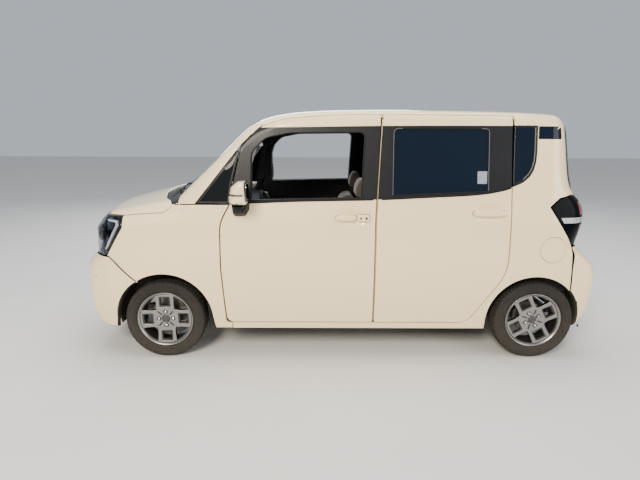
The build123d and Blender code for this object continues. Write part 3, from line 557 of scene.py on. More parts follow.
class Ahead(Side):
    """Panels seen from the front or, with sign -1, from the rear: u = y, v = z."""
    lo, hi = 0.0, 1.6

    def __init__(self, sign=1, x0=None):
        self.sign, self.x0 = sign, (0.4 * sign if x0 is None else x0)

    def rays(self, uv):
        x = np.full(len(uv), self.x0)
        return np.stack([x, uv[:, 0], uv[:, 1]], 1), np.tile([float(self.sign), 0.0, 0.0], (len(uv), 1))

    def uv(self, P):
        return P[:, 1:]


class Round(Side):
    """Panels that wrap round a corner in plan: u = angle about a vertical axis times R, v = z."""
    lo, hi = 0.1, 1.4
    R = 0.75

    def __init__(self, x0=1.0, sign=1):
        self.x0, self.sign = x0, sign

    def rays(self, uv):
        a = uv[:, 0] / self.R
        z = np.zeros(len(uv))
        return np.stack([z + self.x0, z, uv[:, 1]], 1), np.stack([np.cos(a) * self.sign, np.sin(a), z], 1)

    def uv(self, P):
        return np.stack([np.arctan2(P[:, 1], (P[:, 0] - self.x0) * self.sign) * self.R, P[:, 2]], 1)


class Dome(Side):
    """Panels that wrap over an edge and round a corner, such as the hood, seen from a centre inside."""
    lo, hi = 0.1, 1.3
    R = 0.6

    def __init__(self, c):
        self.c = np.array(c)

    def rays(self, uv):
        a, b = uv[:, 1] / self.R, uv[:, 0] / self.R
        return np.tile(self.c, (len(uv), 1)), np.stack([np.sin(b), np.cos(b) * np.sin(a), np.cos(b) * np.cos(a)], 1)

    def uv(self, P):
        q = P - self.c
        return np.stack([np.arctan2(q[:, 0], np.hypot(q[:, 1], q[:, 2])), np.arctan2(q[:, 1], q[:, 2])], 1) * self.R


class Flat:
    """A panel on a height field h(u, v) in a local frame."""

    def __init__(self, h, place, out):
        self.h, self.place, self.out = h, place, np.array(out, float)

    def pos(self, uv, depth=0.0):
        return self.place(uv) + self.out * (self.h(uv[:, 0], uv[:, 1]) - depth)[:, None]

    def nrm(self, uv):
        e = 1e-4
        a = self.pos(uv + [e, 0]) - self.pos(uv - [e, 0])
        b = self.pos(uv + [0, e]) - self.pos(uv - [0, e])
        n = np.cross(a, b)
        n /= np.linalg.norm(n, axis=1, keepdims=True)
        s = np.sign((n @ self.out))
        return n * s[:, None]


# ---- outlines -------------------------------------------------------
def resample(pts, step, closed=True):
    pts = np.asarray(pts, float)
    out = []
    k = len(pts)
    for i in range(k if closed else k - 1):
        a, b = pts[i], pts[(i + 1) % k]
        n = max(1, int(math.ceil(np.linalg.norm(b - a) / step)))
        out += [a + (b - a) * j / n for j in range(n)]
    if not closed:
        out.append(pts[-1])
    return np.array(out)


def rounded(rows, step=0.012, closed=True):
    """Outline through rows (u, v, corner radius), with arcs at the corners."""
    P = [np.array(r[:2], float) for r in rows]
    R = [r[2] if len(r) > 2 else 0.0 for r in rows]
    out = []
    k = len(P)
    for i in range(k):
        if (not closed and i in (0, k - 1)) or R[i] <= 0:
            out.append(P[i])
            continue
        a, b, c = P[i - 1], P[i], P[(i + 1) % k]
        d1, d2 = (a - b) / np.linalg.norm(a - b), (c - b) / np.linalg.norm(c - b)
        cosang = np.clip(d1 @ d2, -1, 1)
        half = math.acos(cosang) / 2
        if abs(half - math.pi / 2) < 1e-3 or half < 1e-3:
            out.append(b)
            continue
        t = R[i] / math.tan(half)
        t = min(t, 0.495 * np.linalg.norm(a - b), 0.495 * np.linalg.norm(c - b))
        r = t * math.tan(half)
        cen = b + (d1 + d2) / np.linalg.norm(d1 + d2) * (r / math.sin(half))
        p1, p2 = b + d1 * t, b + d2 * t
        a1, a2 = math.atan2(*(p1 - cen)[::-1]), math.atan2(*(p2 - cen)[::-1])
        da = (a2 - a1 + math.pi) % (2 * math.pi) - math.pi
        n = max(3, int(abs(da) * r / step) + 1, int(abs(da) / 0.3))
        out += [cen + r * np.array([math.cos(a1 + da * j / n), math.sin(a1 + da * j / n)]) for j in range(n + 1)]
    return resample(np.array(out), step, closed)


def arc(cx, cz, r, a0, a1, n=24):
    return [(cx + r * math.cos(math.radians(a0 + (a1 - a0) * i / n)), cz + r * math.sin(math.radians(a0 + (a1 - a0) * i / n))) for i in range(n + 1)]


def clean(loop, tol=0.0015):
    out = [loop[0]]
    for p in loop[1:]:
        if np.linalg.norm(p - out[-1]) > tol:
            out.append(p)
    if np.linalg.norm(out[0] - out[-1]) < tol:
        out.pop()
    return np.array(out)


def area(loop):
    x, y = loop[:, 0], loop[:, 1]
    return 0.5 * np.sum(x * np.roll(y, -1) - np.roll(x, -1) * y)


def inward(loop):
    """Unit normals that point into a counter-clockwise loop."""
    a = loop - np.roll(loop, 1, 0)
    b = np.roll(loop, -1, 0) - loop
    a /= np.maximum(np.linalg.norm(a, axis=1, keepdims=True), 1e-9)
    b /= np.maximum(np.linalg.norm(b, axis=1, keepdims=True), 1e-9)
    na, nb = np.stack([-a[:, 1], a[:, 0]], 1), np.stack([-b[:, 1], b[:, 0]], 1)
    n = na + nb
    ln = np.linalg.norm(n, axis=1, keepdims=True)
    n = n / np.maximum(ln, 1e-9)
    c = np.clip((n * na).sum(1, keepdims=True), 0.5, 1)
    return n / c


def shrink(loop, d):
    """The loop moved d into the material it bounds (outlines counter-clockwise)."""
    loop = clean(np.asarray(loop, float))
    if area(loop) < 0:
        loop = loop[::-1]
    return loop + inward(loop) * d


def in_loops(p, loops):
    inside = np.zeros(len(p), bool)
    for L in loops:
        x0, y0 = L[:, 0], L[:, 1]
        x1, y1 = np.roll(x0, -1), np.roll(y0, -1)
        for s in range(0, len(p), 4000):
            q = p[s:s + 4000]
            c = (y0[None] > q[:, 1:2]) != (y1[None] > q[:, 1:2])
            with np.errstate(divide="ignore", invalid="ignore"):
                xx = x0 + (q[:, 1:2] - y0) * (x1 - x0) / (y1 - y0)
            inside[s:s + 4000] ^= (np.sum(c & (q[:, 0:1] < xx), 1) % 2).astype(bool)
    return inside


def panel(b, surf, outer, mat, holes=(), off=0.0, depth=0.018, roll=0.003, step=0.018, seam=None, inner_mat=None, rim_mat=None, inner=True):
    """Adds a closed panel: skin on the surface, rounded edge, rim and inner skin. outer and holes are dense loops in the surface's u, v.
    seam(u, v) is true along an edge that runs on into the next panel, where there is no rounded edge."""
    loops = [clean(np.asarray(outer, float))] + [clean(np.asarray(h, float)) for h in holes]
    if area(loops[0]) < 0:
        loops[0] = loops[0][::-1]
    for i in range(1, len(loops)):
        if area(loops[i]) > 0:
            loops[i] = loops[i][::-1]
    k = [np.ones(len(L)) if seam is None else 1.0 - np.array([float(bool(seam(*p))) for p in L]) for L in loops]
    ins = [inward(L) for L in loops]
    B1 = [L + n * (roll * kk)[:, None] for L, n, kk in zip(loops, ins, k)]
    lo, hi = loops[0].min(0), loops[0].max(0)
    gx, gy = np.arange(lo[0], hi[0], step), np.arange(lo[1], hi[1], step * 0.88)
    X, Y = np.meshgrid(gx, gy)
    X = X + (np.arange(len(gy)) % 2)[:, None] * step * 0.5
    g = np.stack([X.ravel(), Y.ravel()], 1)
    g = g[in_loops(g, B1)]
    bd = np.concatenate(B1)
    keep = []
    for s in range(0, len(g), 2000):
        d2 = ((g[s:s + 2000, None, :] - bd[None]) ** 2).sum(2).min(1)
        keep.append(d2 > (0.5 * step) ** 2)
    if len(g):
        g = g[np.concatenate(keep)]
    pts = np.concatenate([bd, g]) if len(g) else bd
    edges, at = [], 0
    for L in B1:
        edges += [(at + i, at + (i + 1) % len(L)) for i in range(len(L))]
        at += len(L)
    cv, ce, cf, ov, oe, of_ = delaunay_2d_cdt([Vector(p) for p in pts], edges, [], 0, 1e-7)
    uv = np.array([(p[0], p[1]) for p in cv])
    tri = np.array([f for f in cf if len(f) == 3])
    cen = uv[tri].mean(1)
    tri = tri[in_loops(cen, B1)]
    e1, e2 = uv[tri[:, 1]] - uv[tri[:, 0]], uv[tri[:, 2]] - uv[tri[:, 0]]
    tri = tri[np.abs(e1[:, 0] * e2[:, 1] - e1[:, 1] * e2[:, 0]) > 1e-9]
    N = surf.nrm(uv)
    faces = [tuple(int(q) for q in t) for t in tri]
    b.add(surf.pos(uv, off), N, faces, mat)
    rim = rim_mat or mat
    for L, n, kk, q1 in zip(loops, ins, k, B1):
        m = len(L)
        Nb = surf.nrm(q1)
        P1 = surf.pos(q1, off)
        t3 = np.roll(surf.pos(L, off), -1, 0) - np.roll(surf.pos(L, off), 1, 0)
        inn = surf.pos(L + n * 0.004, off) - surf.pos(L, off)
        E = -(inn - (inn * Nb).sum(1, keepdims=True) * Nb)
        E /= np.maximum(np.linalg.norm(E, axis=1, keepdims=True), 1e-9)
        rr = roll * kk
        ring = lambda c, d: surf.pos(L + n * (rr * c)[:, None], off) - (surf.pos(L, off) - surf.pos(L, off + 1.0)) * (d)[:, None]
        rings = [(P1, Nb), (ring(0.293, rr * 0.293), Nb + E), (ring(0.0, rr), E), (ring(0.0, np.full(m, depth)), E)]
        V = np.concatenate([r[0] for r in rings])
        NN = np.concatenate([r[1] / np.maximum(np.linalg.norm(r[1], axis=1, keepdims=True), 1e-9) for r in rings])
        fs = []
        for j in range(3):
            for i in range(m):
                i2 = (i + 1) % m
                if j < 2 and kk[i] == 0 and kk[i2] == 0:
                    continue
                fs.append((j * m + i, j * m + i2, (j + 1) * m + i2, (j + 1) * m + i))
        b.add(V, NN, fs, rim)
    if inner:
        uvi = uv.copy()
        at = 0
        back = {}
        for i, o in enumerate(ov):
            for q in o:
                back[q] = i
        for L in loops:
            for i in range(len(L)):
                if at + i in back:
                    uvi[back[at + i]] = L[i]
            at += len(L)
        b.add(surf.pos(uvi, off + depth), -N, faces, inner_mat or mat)
    return b


def frames(P, closed):
    T = np.roll(P, -1, 0) - np.roll(P, 1, 0)
    if not closed:
        T[0], T[-1] = P[1] - P[0], P[-1] - P[-2]
    return T / np.maximum(np.linalg.norm(T, axis=1, keepdims=True), 1e-9)


def sweep(b, P, section, mat, up=(0, 0, 1), closed=False, caps=True):
    """A profile (list of (side, up)) swept along a line of points; up is one vector or one per point."""
    P = np.asarray(P, float)
    T = frames(P, closed)
    U = np.tile(np.array(up, float), (len(P), 1)) if np.ndim(up) == 1 else np.asarray(up, float)
    S = np.cross(T, U)
    S /= np.maximum(np.linalg.norm(S, axis=1, keepdims=True), 1e-9)
    U = np.cross(S, T)
    sec = np.asarray(section, float)
    m, k = len(P), len(sec)
    c = sec.mean(0)
    V, NN = [], []
    sn = np.roll(sec, -1, 0) - np.roll(sec, 1, 0)
    sn = np.stack([sn[:, 1], -sn[:, 0]], 1)
    sn *= np.sign(((sec - c) * sn).sum(1, keepdims=True))
    for j in range(k):
        V.append(P + S * sec[j, 0] + U * sec[j, 1])
        NN.append(S * sn[j, 0] + U * sn[j, 1])
    V, NN = np.stack(V, 1).reshape(-1, 3), np.stack(NN, 1).reshape(-1, 3)
    fs = []
    for i in range(m if closed else m - 1):
        i2 = (i + 1) % m
        for j in range(k):
            j2 = (j + 1) % k
            fs.append((i * k + j, i * k + j2, i2 * k + j2, i2 * k + j))
    b.add(V, NN, fs, mat)
    if not closed and caps:
        for i, s in ((0, -1), (m - 1, 1)):
            q = V[i * k:(i + 1) * k]
            b.add(np.vstack([q, q.mean(0)]), np.tile(T[i] * s, (k + 1, 1)), [(j, (j + 1) % k, k) for j in range(k)], mat)
    return b


def tube(b, P, r, mat, k=10, closed=False):
    P = np.asarray(P, float)
    T = frames(P, closed)
    up = np.array([0, 0, 1.0]) if abs(T[len(T) // 2] @ [0, 0, 1]) < 0.9 else np.array([1.0, 0, 0])
    sec = [(r * math.cos(2 * math.pi * j / k), r * math.sin(2 * math.pi * j / k)) for j in range(k)]
    return sweep(b, P, sec, mat, up, closed)


def lathe(b, rows, mat, c=(0, 0, 0), seg=96, sharp=0.6, side=1, wobble=None):
    """Profile rows (radius, y) turned about the Y axis through c. Corners sharper than sharp (radians) keep an edge."""
    rows = np.array(rows, float)
    rows[:, 1] *= side
    c = np.array(c, float)
    a = np.linspace(0, 2 * math.pi, seg, endpoint=False)
    parts, run = [], [rows[0]]
    for i in range(1, len(rows)):
        run.append(rows[i])
        if i == len(rows) - 1:
            parts.append(run)
            break
        d1, d2 = rows[i] - rows[i - 1], rows[i + 1] - rows[i]
        ang = abs((math.atan2(*d2) - math.atan2(*d1) + math.pi) % (2 * math.pi) - math.pi)
        if ang > sharp:
            parts.append(run)
            run = [rows[i]]
    for run in parts:
        p = np.array(run)
        d = np.gradient(p, axis=0) if len(p) > 2 else np.tile(p[1] - p[0], (2, 1))
        nr = np.stack([d[:, 1], -d[:, 0]], 1) * side
        V = np.stack([np.outer(np.cos(a), p[:, 0]) + c[0], np.tile(p[:, 1] + c[1], (seg, 1)), np.outer(np.sin(a), p[:, 0]) + c[2]], 2).reshape(-1, 3)
        NN = np.stack([np.outer(np.cos(a), nr[:, 0]), np.tile(nr[:, 1], (seg, 1)), np.outer(np.sin(a), nr[:, 0])], 2).reshape(-1, 3)
        k = len(p)
        fs = [(i * k + j, i * k + j + 1, ((i + 1) % seg) * k + j + 1, ((i + 1) % seg) * k + j) for i in range(seg) for j in range(k - 1)]
        b.add(V, NN, fs, mat)
    return b


def block(b, lo, hi, r, mat, seg=3, M=None):
    """A box with rounded edges and corners."""
    lo, hi = np.array(lo, float), np.array(hi, float)
    c, h = (lo + hi) / 2, (hi - lo) / 2
    r = min(r, h.min() * 0.98)
    n = seg * 2 + 1
    t = np.linspace(-1, 1, n + 1)
    q = np.concatenate([np.linspace(-1, -1 + 1e-9, 1), t])
    ax = []
    for k in range(3):
        e = np.sin(np.linspace(-math.pi / 4, math.pi / 4, n + 1)) / math.sin(math.pi / 4)
        ax.append(e)
    for d in range(3):
        o = [i for i in range(3) if i != d]
        for s in (-1, 1):
            U, W = np.meshgrid(ax[o[0]], ax[o[1]], indexing="ij")
            cube = np.zeros((U.size, 3))
            cube[:, o[0]], cube[:, o[1]], cube[:, d] = U.ravel(), W.ravel(), s
            dirn = cube / np.linalg.norm(cube, axis=1, keepdims=True)
            inn = np.sign(cube) * (h - r) * np.where(np.abs(cube) > 1e-6, 1, 0)
            core = np.clip(cube * 1e3, -1, 1) * (h - r)
            mid = np.abs(cube) < 0.15
            core = np.where(mid, cube / 0.15 * (h - r), np.sign(cube) * (h - r))
            V = core + dirn * r
            V = V + c
            NN = dirn
            if M is not None:
                V = (np.array(M) @ np.vstack([V.T, np.ones(len(V))]))[:3].T
                NN = (np.array(M)[:3, :3] @ NN.T).T
            fs = [(i * (n + 1) + j, (i + 1) * (n + 1) + j, (i + 1) * (n + 1) + j + 1, i * (n + 1) + j + 1) for i in range(n) for j in range(n)]
            b.add(V, NN, fs, mat)
    return b


SIDE, TOP, FRONT, BACK = Side(), Top(), Ahead(1), Ahead(-1)
WRAP_F, WRAP_R = Round(1.0, 1), Round(-1.0, -1)
DOME = Dome((1.15, 0, 0.55))
G = 0.0025      # half of a shut line

# =====================================================================
# outlines (x, z), from the side, in metres
# =====================================================================
FRONT_DOOR = [(-.160, .252, .012), (.838, .252, .050), (.862, .640, .7), (.859, .945, .23), (.793, 1.066, .020), (.776, 1.190, .3), (.716, 1.447, .012), (.578, 1.572, .16), (.430, 1.616, .5), (.100, 1.640, 1.5), (-.191, 1.644, .008), (-.160, .960, 1.5)]
REAR_DOOR = [(-.167, .252, .012), (-.167, .960, 1.5), (-.204, 1.644, .008), (-1.041, 1.638, .008), (-1.048, 1.160, .6), (-1.048, .617, .3), (-.807, .252, .12)]
FRONT_WINDOW = [(.656, 1.092, .012), (.650, 1.400, .09), (.560, 1.492, .11), (.400, 1.524, .3), (-.088, 1.530, .035), (-.068, 1.106, .012)]
REAR_WINDOW = [(-.268, 1.124, .012), (-.270, 1.556, .035), (-.890, 1.556, .025), (-.892, 1.155, .010)]
BELT = [(1.10, 1.064), (.816, 1.070), (.660, 1.077), (.334, 1.090), (-.165, 1.101), (-.536, 1.119), (-.769, 1.131), (-.885, 1.143), (-1.001, 1.166), (-1.052, 1.183), (-1.116, 1.211), (-1.160, 1.248), (-1.184, 1.290), (-1.198, 1.345), (-1.204, 1.399)]
BAND_TOP = [(.60, 1.557), (.334, 1.561), (-.191, 1.570), (-.633, 1.573), (-1.46, 1.574)]
belt_z = Curve(BELT[:11])
band_z = Curve(BAND_TOP)


def cut_loop(loop, keep):
    """Part of a dense closed loop where keep(u, v) holds, as one run in order."""
    k = np.array([keep(*p) for p in loop])
    n = len(loop)
    s = next(i for i in range(n) if k[i] and not k[i - 1])
    out = []
    for i in range(n):
        j = (s + i) % n
        if not k[j]:
            break
        out.append(loop[j])
    return np.array(out)


def clip(loop, f):
    """Loop cut by the line f(u, v) = 0, keeping f < 0 (Sutherland-Hodgman), closed along the line and resampled."""
    out = []
    n = len(loop)
    val = np.array([f(*p) for p in loop])
    for i in range(n):
        a, b_, fa, fb = loop[i], loop[(i + 1) % n], val[i], val[(i + 1) % n]
        if fa < 0:
            out.append(a)
        if (fa < 0) != (fb < 0):
            out.append(a + (b_ - a) * (fa / (fa - fb)))
    out = clean(np.array(out))
    res = []
    m = len(out)
    for i in range(m):
        a, b_ = out[i], out[(i + 1) % m]
        d = np.linalg.norm(b_ - a)
        k = max(1, int(math.ceil(d / 0.013)))
        for j in range(k):
            p = a + (b_ - a) * j / k
            if k > 1 and j > 0 and abs(f(*a)) < 1e-6 and abs(f(*b_)) < 1e-6 or (k > 3 and j > 0):
                # follow the curved line between its ends
                e = 1e-4
                g = np.array([(f(p[0] + e, p[1]) - f(p[0] - e, p[1])), (f(p[0], p[1] + e) - f(p[0], p[1] - e))]) / (2 * e)
                if abs(f(*a)) < 0.002 and abs(f(*b_)) < 0.002 and g @ g > 0:
                    p = p - g * f(*p) / (g @ g)
            res.append(p)
    return np.array(res)


def belt_cut(d):
    return lambda u, v: v - float(belt_z(u)) - d


def band_cut(d):
    return lambda u, v: v - float(band_z(u)) - d


def neg(f):
    return lambda u, v: -f(u, v)


def door(side_name, rows, window, black_handle=False):
    """Door: painted lower skin, black window frame, painted frame above, inner panel with trim."""
    b = Build()
    loop = shrink(rounded(rows), G)
    low = clip(loop, belt_cut(0.0))
    mid = clip(clip(loop, neg(belt_cut(0.0))), band_cut(0.0))
    high = clip(loop, neg(band_cut(0.0)))
    win = rounded(window)
    panel(b, SIDE, low, "paint_cream", depth=0.034, inner_mat="paint_inner", seam=lambda u, v: False, step=0.023)
    panel(b, SIDE, shrink(mid, 0.0005), "pillar_black", holes=[win], off=0.0018, depth=0.0322, roll=0.002, inner_mat="trim_black", rim_mat="trim_black")
    panel(b, SIDE, high, "paint_cream", depth=0.034, inner_mat="paint_inner")
    # weather strip along the belt and the window seal
    line = [(x, float(belt_z(x))) for x in np.arange(loop[:, 0].min() + 0.006, loop[:, 0].max() - 0.006, 0.02) if in_loops(np.array([[x, float(belt_z(x))]]), [shrink(loop, 0.004)])[0]]
    P = SIDE.pos(np.array(line))
    sweep(b, P + [0, 0.0002, 0.002], [(-0.003, -0.006), (0.0022, -0.006), (0.003, 0.0), (0.0022, 0.007), (-0.003, 0.007)], "rubber", up=(0, 0, 1))
    w = shrink(win, -0.001)
    P = SIDE.pos(w, 0.004)
    tube(b, P, 0.0045, "rubber", k=8, closed=True)
    # inner panel, 34 to 75 mm in, its outline 52 mm inside the skin's
    m = shrink(rounded(rows), 0.052)
    m[:, 0] = np.where(m[:, 0] < m[:, 0].mean(), np.maximum(m[:, 0], m[:, 0].min() + 0.018), m[:, 0])
    w2 = rounded([(u, v, (r[0] if r else 0)) for u, v, *r in window])
    lowi = clip(m, lambda u, v: v - (float(belt_z(u)) + 0.008))
    highi = clip(m, neg(lambda u, v: v - (float(belt_z(u)) + 0.008)))
    panel(b, SIDE, lowi, "trim_black", off=0.033, depth=0.042, inner_mat="dash_black", rim_mat="dash_black", roll=0.004, step=0.03)
    panel(b, SIDE, highi, "trim_black", holes=[w2], off=0.033, depth=0.042, inner_mat="dash_black", rim_mat="trim_black", roll=0.004, step=0.03)
    return b


print("engine ready", flush=True)
b = door("left", FRONT_DOOR, FRONT_WINDOW)
b.object("front_door_left_skin", "left_front_door", "front_door_left", slot="body_paint")
b.mirrored().object("front_door_right_skin", "right_front_door", "front_door_right", slot="body_paint")
b = door("left", REAR_DOOR, REAR_WINDOW)
b.object("rear_door_left_skin", "left_rear_door", "rear_door_left", slot="body_paint")
b.mirrored().object("rear_door_right_skin", "body", "rear_door_right", slot="body_paint")

# ---- fenders --------------------------------------------------------
DOOR_EDGE = [(.803, .2455), (.8415, .2475, .050), (.8655, .640, .7), (.8625, .945, .23), (.798, 1.0635)]
HOOD_LINE = [(1.163, 1.0615), (1.195, 1.040, .02), (1.221, 1.0165, .02), (1.244, 1.0105, .03), (1.377, 1.001), (1.501, .9885)]
ARCH_F = arc(1.257, .276, .322, 177, 57, 34)
fend = rounded(DOOR_EDGE + [(1.018, 1.0655), (1.106, 1.064), (1.163, 1.0615), (1.195, 1.040, .02), (1.221, 1.0165, .02), (1.244, 1.0105, .03), (1.377, 1.001), (1.501, .9885),
                            (1.5085, .984, .004), (1.5085, .912, .010), (1.580, .7985, .3), (1.632, .7165, .006), (1.617, .712), (1.580, .684), (1.531, .6335), (1.483, .5885), (1.4325, .5460)]
               + [(x, z) for x, z in arc(1.257, .276, .322, 56, 177, 34)] + [(.920, .205)] + [(.803, .205)])
b = Build()
panel(b, SIDE, shrink(fend, G), "paint_cream", depth=0.022, inner_mat="paint_inner", roll=0.003)
b.both().object("front_fender_skins", "body", "front_fenders", slot="body_paint")

# ---- bumper, front --------------------------------------------------
def side_pts(rows):
    return SIDE.pos(np.array([r[:2] for r in rows]))


edge = side_pts([(1.4325, .5460), (1.483, .5885), (1.531, .6335), (1.580, .684), (1.617, .712)])
archp = side_pts([(1.257 + (.322 + .015 * (1 - t / 56)) * math.cos(math.radians(t)), .276 + (.322 + .015 * (1 - t / 56)) * math.sin(math.radians(t))) for t in np.linspace(56, 0, 16)] + [(1.6060, .205)])
uv_e, uv_a = WRAP_F.uv(edge), WRAP_F.uv(archp)
left = np.vstack([uv_a[::-1], uv_e])
topz = .7125
u0 = uv_e[-1, 0]
up_line = np.array([(u, topz) for u in np.linspace(u0, 0, 60)[1:]])
halfb = np.vstack([left, up_line])
right = halfb[::-1].copy()
right[:, 0] *= -1
loopb = resample(clean(np.vstack([halfb, right[1:]])), 0.013)
b = Build()
intake = rounded([(-.43, .300, .03), (.43, .300, .03), (.36, .455, .04), (-.36, .455, .04)])
# the bumper's edge is black liner, painted shade that makes the shut line beside it read dark
panel(b, WRAP_F, shrink(loopb, .0008), "paint_cream", holes=[intake], depth=0.02, inner_mat="trim_black", rim_mat="liner", roll=0.004)
b.object("front_bumper_skin", "body", "front_bumper", slot="body_paint")

# ---- hood -----------------------------------------------------------
side_line = rounded([(1.163, 1.0615), (1.195, 1.040, .02), (1.221, 1.0165, .02), (1.244, 1.0105, .03), (1.377, 1.001), (1.501, .9885)], closed=False)
pl = SIDE.pos(side_line)
front_line = WRAP_F.pos(np.array([(u, .9885) for u in np.linspace(WRAP_F.uv(pl[-1:])[0, 0] - 0.005, 0, 60)]))
cowl_rows = rounded([(1.1745, .735), (1.196, .690, .02), (1.262, .560, .2), (1.330, .300, .4), (1.345, .0)], closed=False)
cowl_line = TOP.pos(cowl_rows)
halfh = np.vstack([DOME.uv(cowl_line[::-1]), DOME.uv(pl), DOME.uv(front_line)])
# cowl line from the middle to the corner, then down the side line to the front and back to the middle
righth = halfh[::-1].copy()
righth[:, 1] *= -1
looph = resample(clean(np.vstack([halfh, righth[1:-1]])), 0.013)
b = Build()
panel(b, DOME, shrink(looph, G), "paint_cream", depth=0.016, inner_mat="paint_inner", roll=0.004, step=0.016)
b.object("hood_skin", "hood_body", "hood", slot="body_paint")

# ---- roof, with the front faces of the A pillars -----------------------
drip = shrink(rounded(FRONT_DOOR), -0.0025)
drip_top = [(.578, 1.5745), (.500, 1.5990), (.430, 1.6185), (.300, 1.6300), (.100, 1.6425), (-.191, 1.6465), (-1.041, 1.6405), (-1.18, 1.6345), (-1.30, 1.6270), (-1.36, 1.6215)]
dripc = Curve(drip_top)
drip_xz = np.array([(x, float(dripc(x))) for x in np.arange(.578, -1.372, -.012)])
drip3 = SIDE.pos(drip_xz)


def corner_ray(c, d, f=body_F):
    o = np.array([c], float)
    d = np.array([d], float) / np.linalg.norm(d)
    return (o + d * shoot(o, d, 0.0, 0.6)[:, None])[0]


ws_x = lambda z: float(np.interp(z, [1.05, 1.152, 1.4174, 1.523, 1.564, 1.598, 1.631], [1.27, 1.184, .900, .785, .735, .680, .600]))
pillar = []
for z in np.arange(1.068, 1.585, .012):
    w = float(HALF(z))
    pillar.append(corner_ray((ws_x(z) - .30, w - .20, z), (1.0, .9, 0)))
pillar = np.array(pillar)          # from the base up
pillar3 = np.vstack([pillar, drip3[:1]])
WS = rounded([(-.548, 1.602, .03), (-.628, 1.118, .03), (.628, 1.118, .03), (.548, 1.602, .03)])
ws3 = FRONT.pos(WS)
# rear-top line between roof and tailgate height, and the seam of the tailgate
rear_top = []
for y in np.arange(.690, .601, -.008):
    rear_top.append(corner_ray((REAR(1.62) + .16, y, 1.50), (-.75, 0, 1.0)))
rt3 = np.array(rear_top)
SEAM = -1.330
base_line = TOP.pos(np.array([(1.150, y) for y in np.linspace(.700, .640, 8)]))
half_r = np.vstack([pillar3[:, :2], drip3[1:, :2]])
rear_edge = [(p[0], p[1]) for p in rt3]
half_r = np.vstack([half_r, rear_edge, [(x, .602) for x in np.arange(rt3[-1, 0] + .01, SEAM, .012)], [(SEAM, y) for y in np.arange(.602, 0, -.013)]])
m = half_r[::-1].copy()
m[:, 1] *= -1
ws2 = ws3[:, :2]
i0 = int(np.argmin(np.abs(ws3[:, 1] - .6285) + np.abs(ws3[:, 2] - 1.118)))
# go round the windscreen from its lower left corner over the top to the lower right
order = []
n = len(ws3)
lowl = int(np.argmax(ws3[:, 1] - 2 * (ws3[:, 2] - 1.118)))
lowr = int(np.argmax(-ws3[:, 1] - 2 * (ws3[:, 2] - 1.118)))
stepi = 1 if ws3[(lowl + 8) % n, 2] > ws3[lowl, 2] + 0.02 else -1
j = lowl
while True:
    order.append(j)
    if j == lowr:
        break
    j = (j + stepi) % n
notch = ws2[order]
first = pillar3[0, :2]
base = np.linspace(notch[0], first, 8)[1:-1]
baser = base[::-1].copy()
baser[:, 1] *= -1
roof_loop = np.vstack([base, half_r, m[1:], baser, notch[::-1]])
roof_loop = clean(roof_loop, 0.002)
seam_pts = np.vstack([pillar3[:, :2], rt3[:, :2]])


def on_seam(u, v):
    return ((seam_pts - [u, abs(v)]) ** 2).sum(1).min() < 0.010 ** 2


b = Build()
panel(b, TOP, roof_loop, "paint_cream", depth=0.022, inner_mat="headliner", seam=on_seam, step=0.026)
b.object("roof_skin", "body", "roof_panel", slot="body_paint")

# ---- A pillar side faces ----------------------------------------------
ap = np.vstack([rounded([(1.160, 1.0665), (1.021, 1.0705, .004), (.716, 1.4525, .02), (.640, 1.5265), (.584, 1.5745)], closed=False), pillar3[::-1][:, [0, 2]]])
A = Build()
panel(A, SIDE, resample(clean(ap), 0.013), "paint_cream", depth=0.022, inner_mat="trim_grey", seam=lambda u, v: ((pillar3[:, [0, 2]] - [u, v]) ** 2).sum(1).min() < 0.009 ** 2)
# ---- sill and quarter -------------------------------------------------
corner = []
for z in np.arange(1.136, 1.612, .012):
    w = float(HALF(z))
    corner.append(corner_ray((float(REAR(z)) + .24, w - .20, z), (-1.0, .95, 0)))
corner = np.array(corner)          # rear corner line, from the lamp up
corner3 = np.vstack([corner, rt3[:1]])
ARCH_R = arc(-1.252, .270, .318, 3, 137, 36)
door_rear = rounded([(.803, .2470), (-.807, .2470, .123), (-1.0530, .617, .303), (-1.0530, 1.180)], closed=False)
band_curve = [(-1.053, 1.184), (-1.116, 1.211, .03), (-1.160, 1.248, .08), (-1.186, 1.292, .08), (-1.201, 1.350, .12), (-1.205, 1.420, .1), (-1.205, 1.5735)]
bc = rounded(band_curve, closed=False)
quarter = np.vstack([
    [(x, .205) for x in np.arange(.803, -.930, -.013)],
    [(-.932, .205)],
    ARCH_R,
    [(-1.4860, .500), (-1.480, .640), (-1.474, .790), (-1.4685, .802)],
    rounded([(-1.4685, .802), (-1.300, 1.056, .008), (-1.362, 1.114, .04), (-1.435, 1.1325)], closed=False)[1:],
    corner3[:, [0, 2]],
    drip_xz[::-1][drip_xz[::-1][:, 0] < -1.0535],
    [(-1.0535, 1.6395), (-1.0535, 1.5765)],
])
# the black inserts (quarter glass, D pillar block) are left open and filled below
quarter = np.vstack([quarter, [(-1.205, 1.5765)], bc[::-1], door_rear[::-1][1:]])
quarter = resample(clean(quarter), 0.013)
d_block = rounded([(-1.2095, 1.4905, .006), (-1.2095, 1.5715, .006), (-1.362, 1.5715, .006), (-1.3695, 1.4905, .006)])
flap_hole = np.array([(-1.342 + .0882 * math.cos(t), .773 + .0882 * math.sin(t)) for t in np.linspace(0, 2 * math.pi, 60, endpoint=False)])
QUARTERS = []
for holes in ([d_block, flap_hole], [d_block]):
    q = Build()
    panel(q, SIDE, shrink(quarter, 0.0), "paint_cream", depth=0.022, inner_mat="paint_inner",
          seam=lambda u, v: ((corner3[:, [0, 2]] - [u, v]) ** 2).sum(1).min() < 0.009 ** 2, holes=holes)
    QUARTERS.append(q)
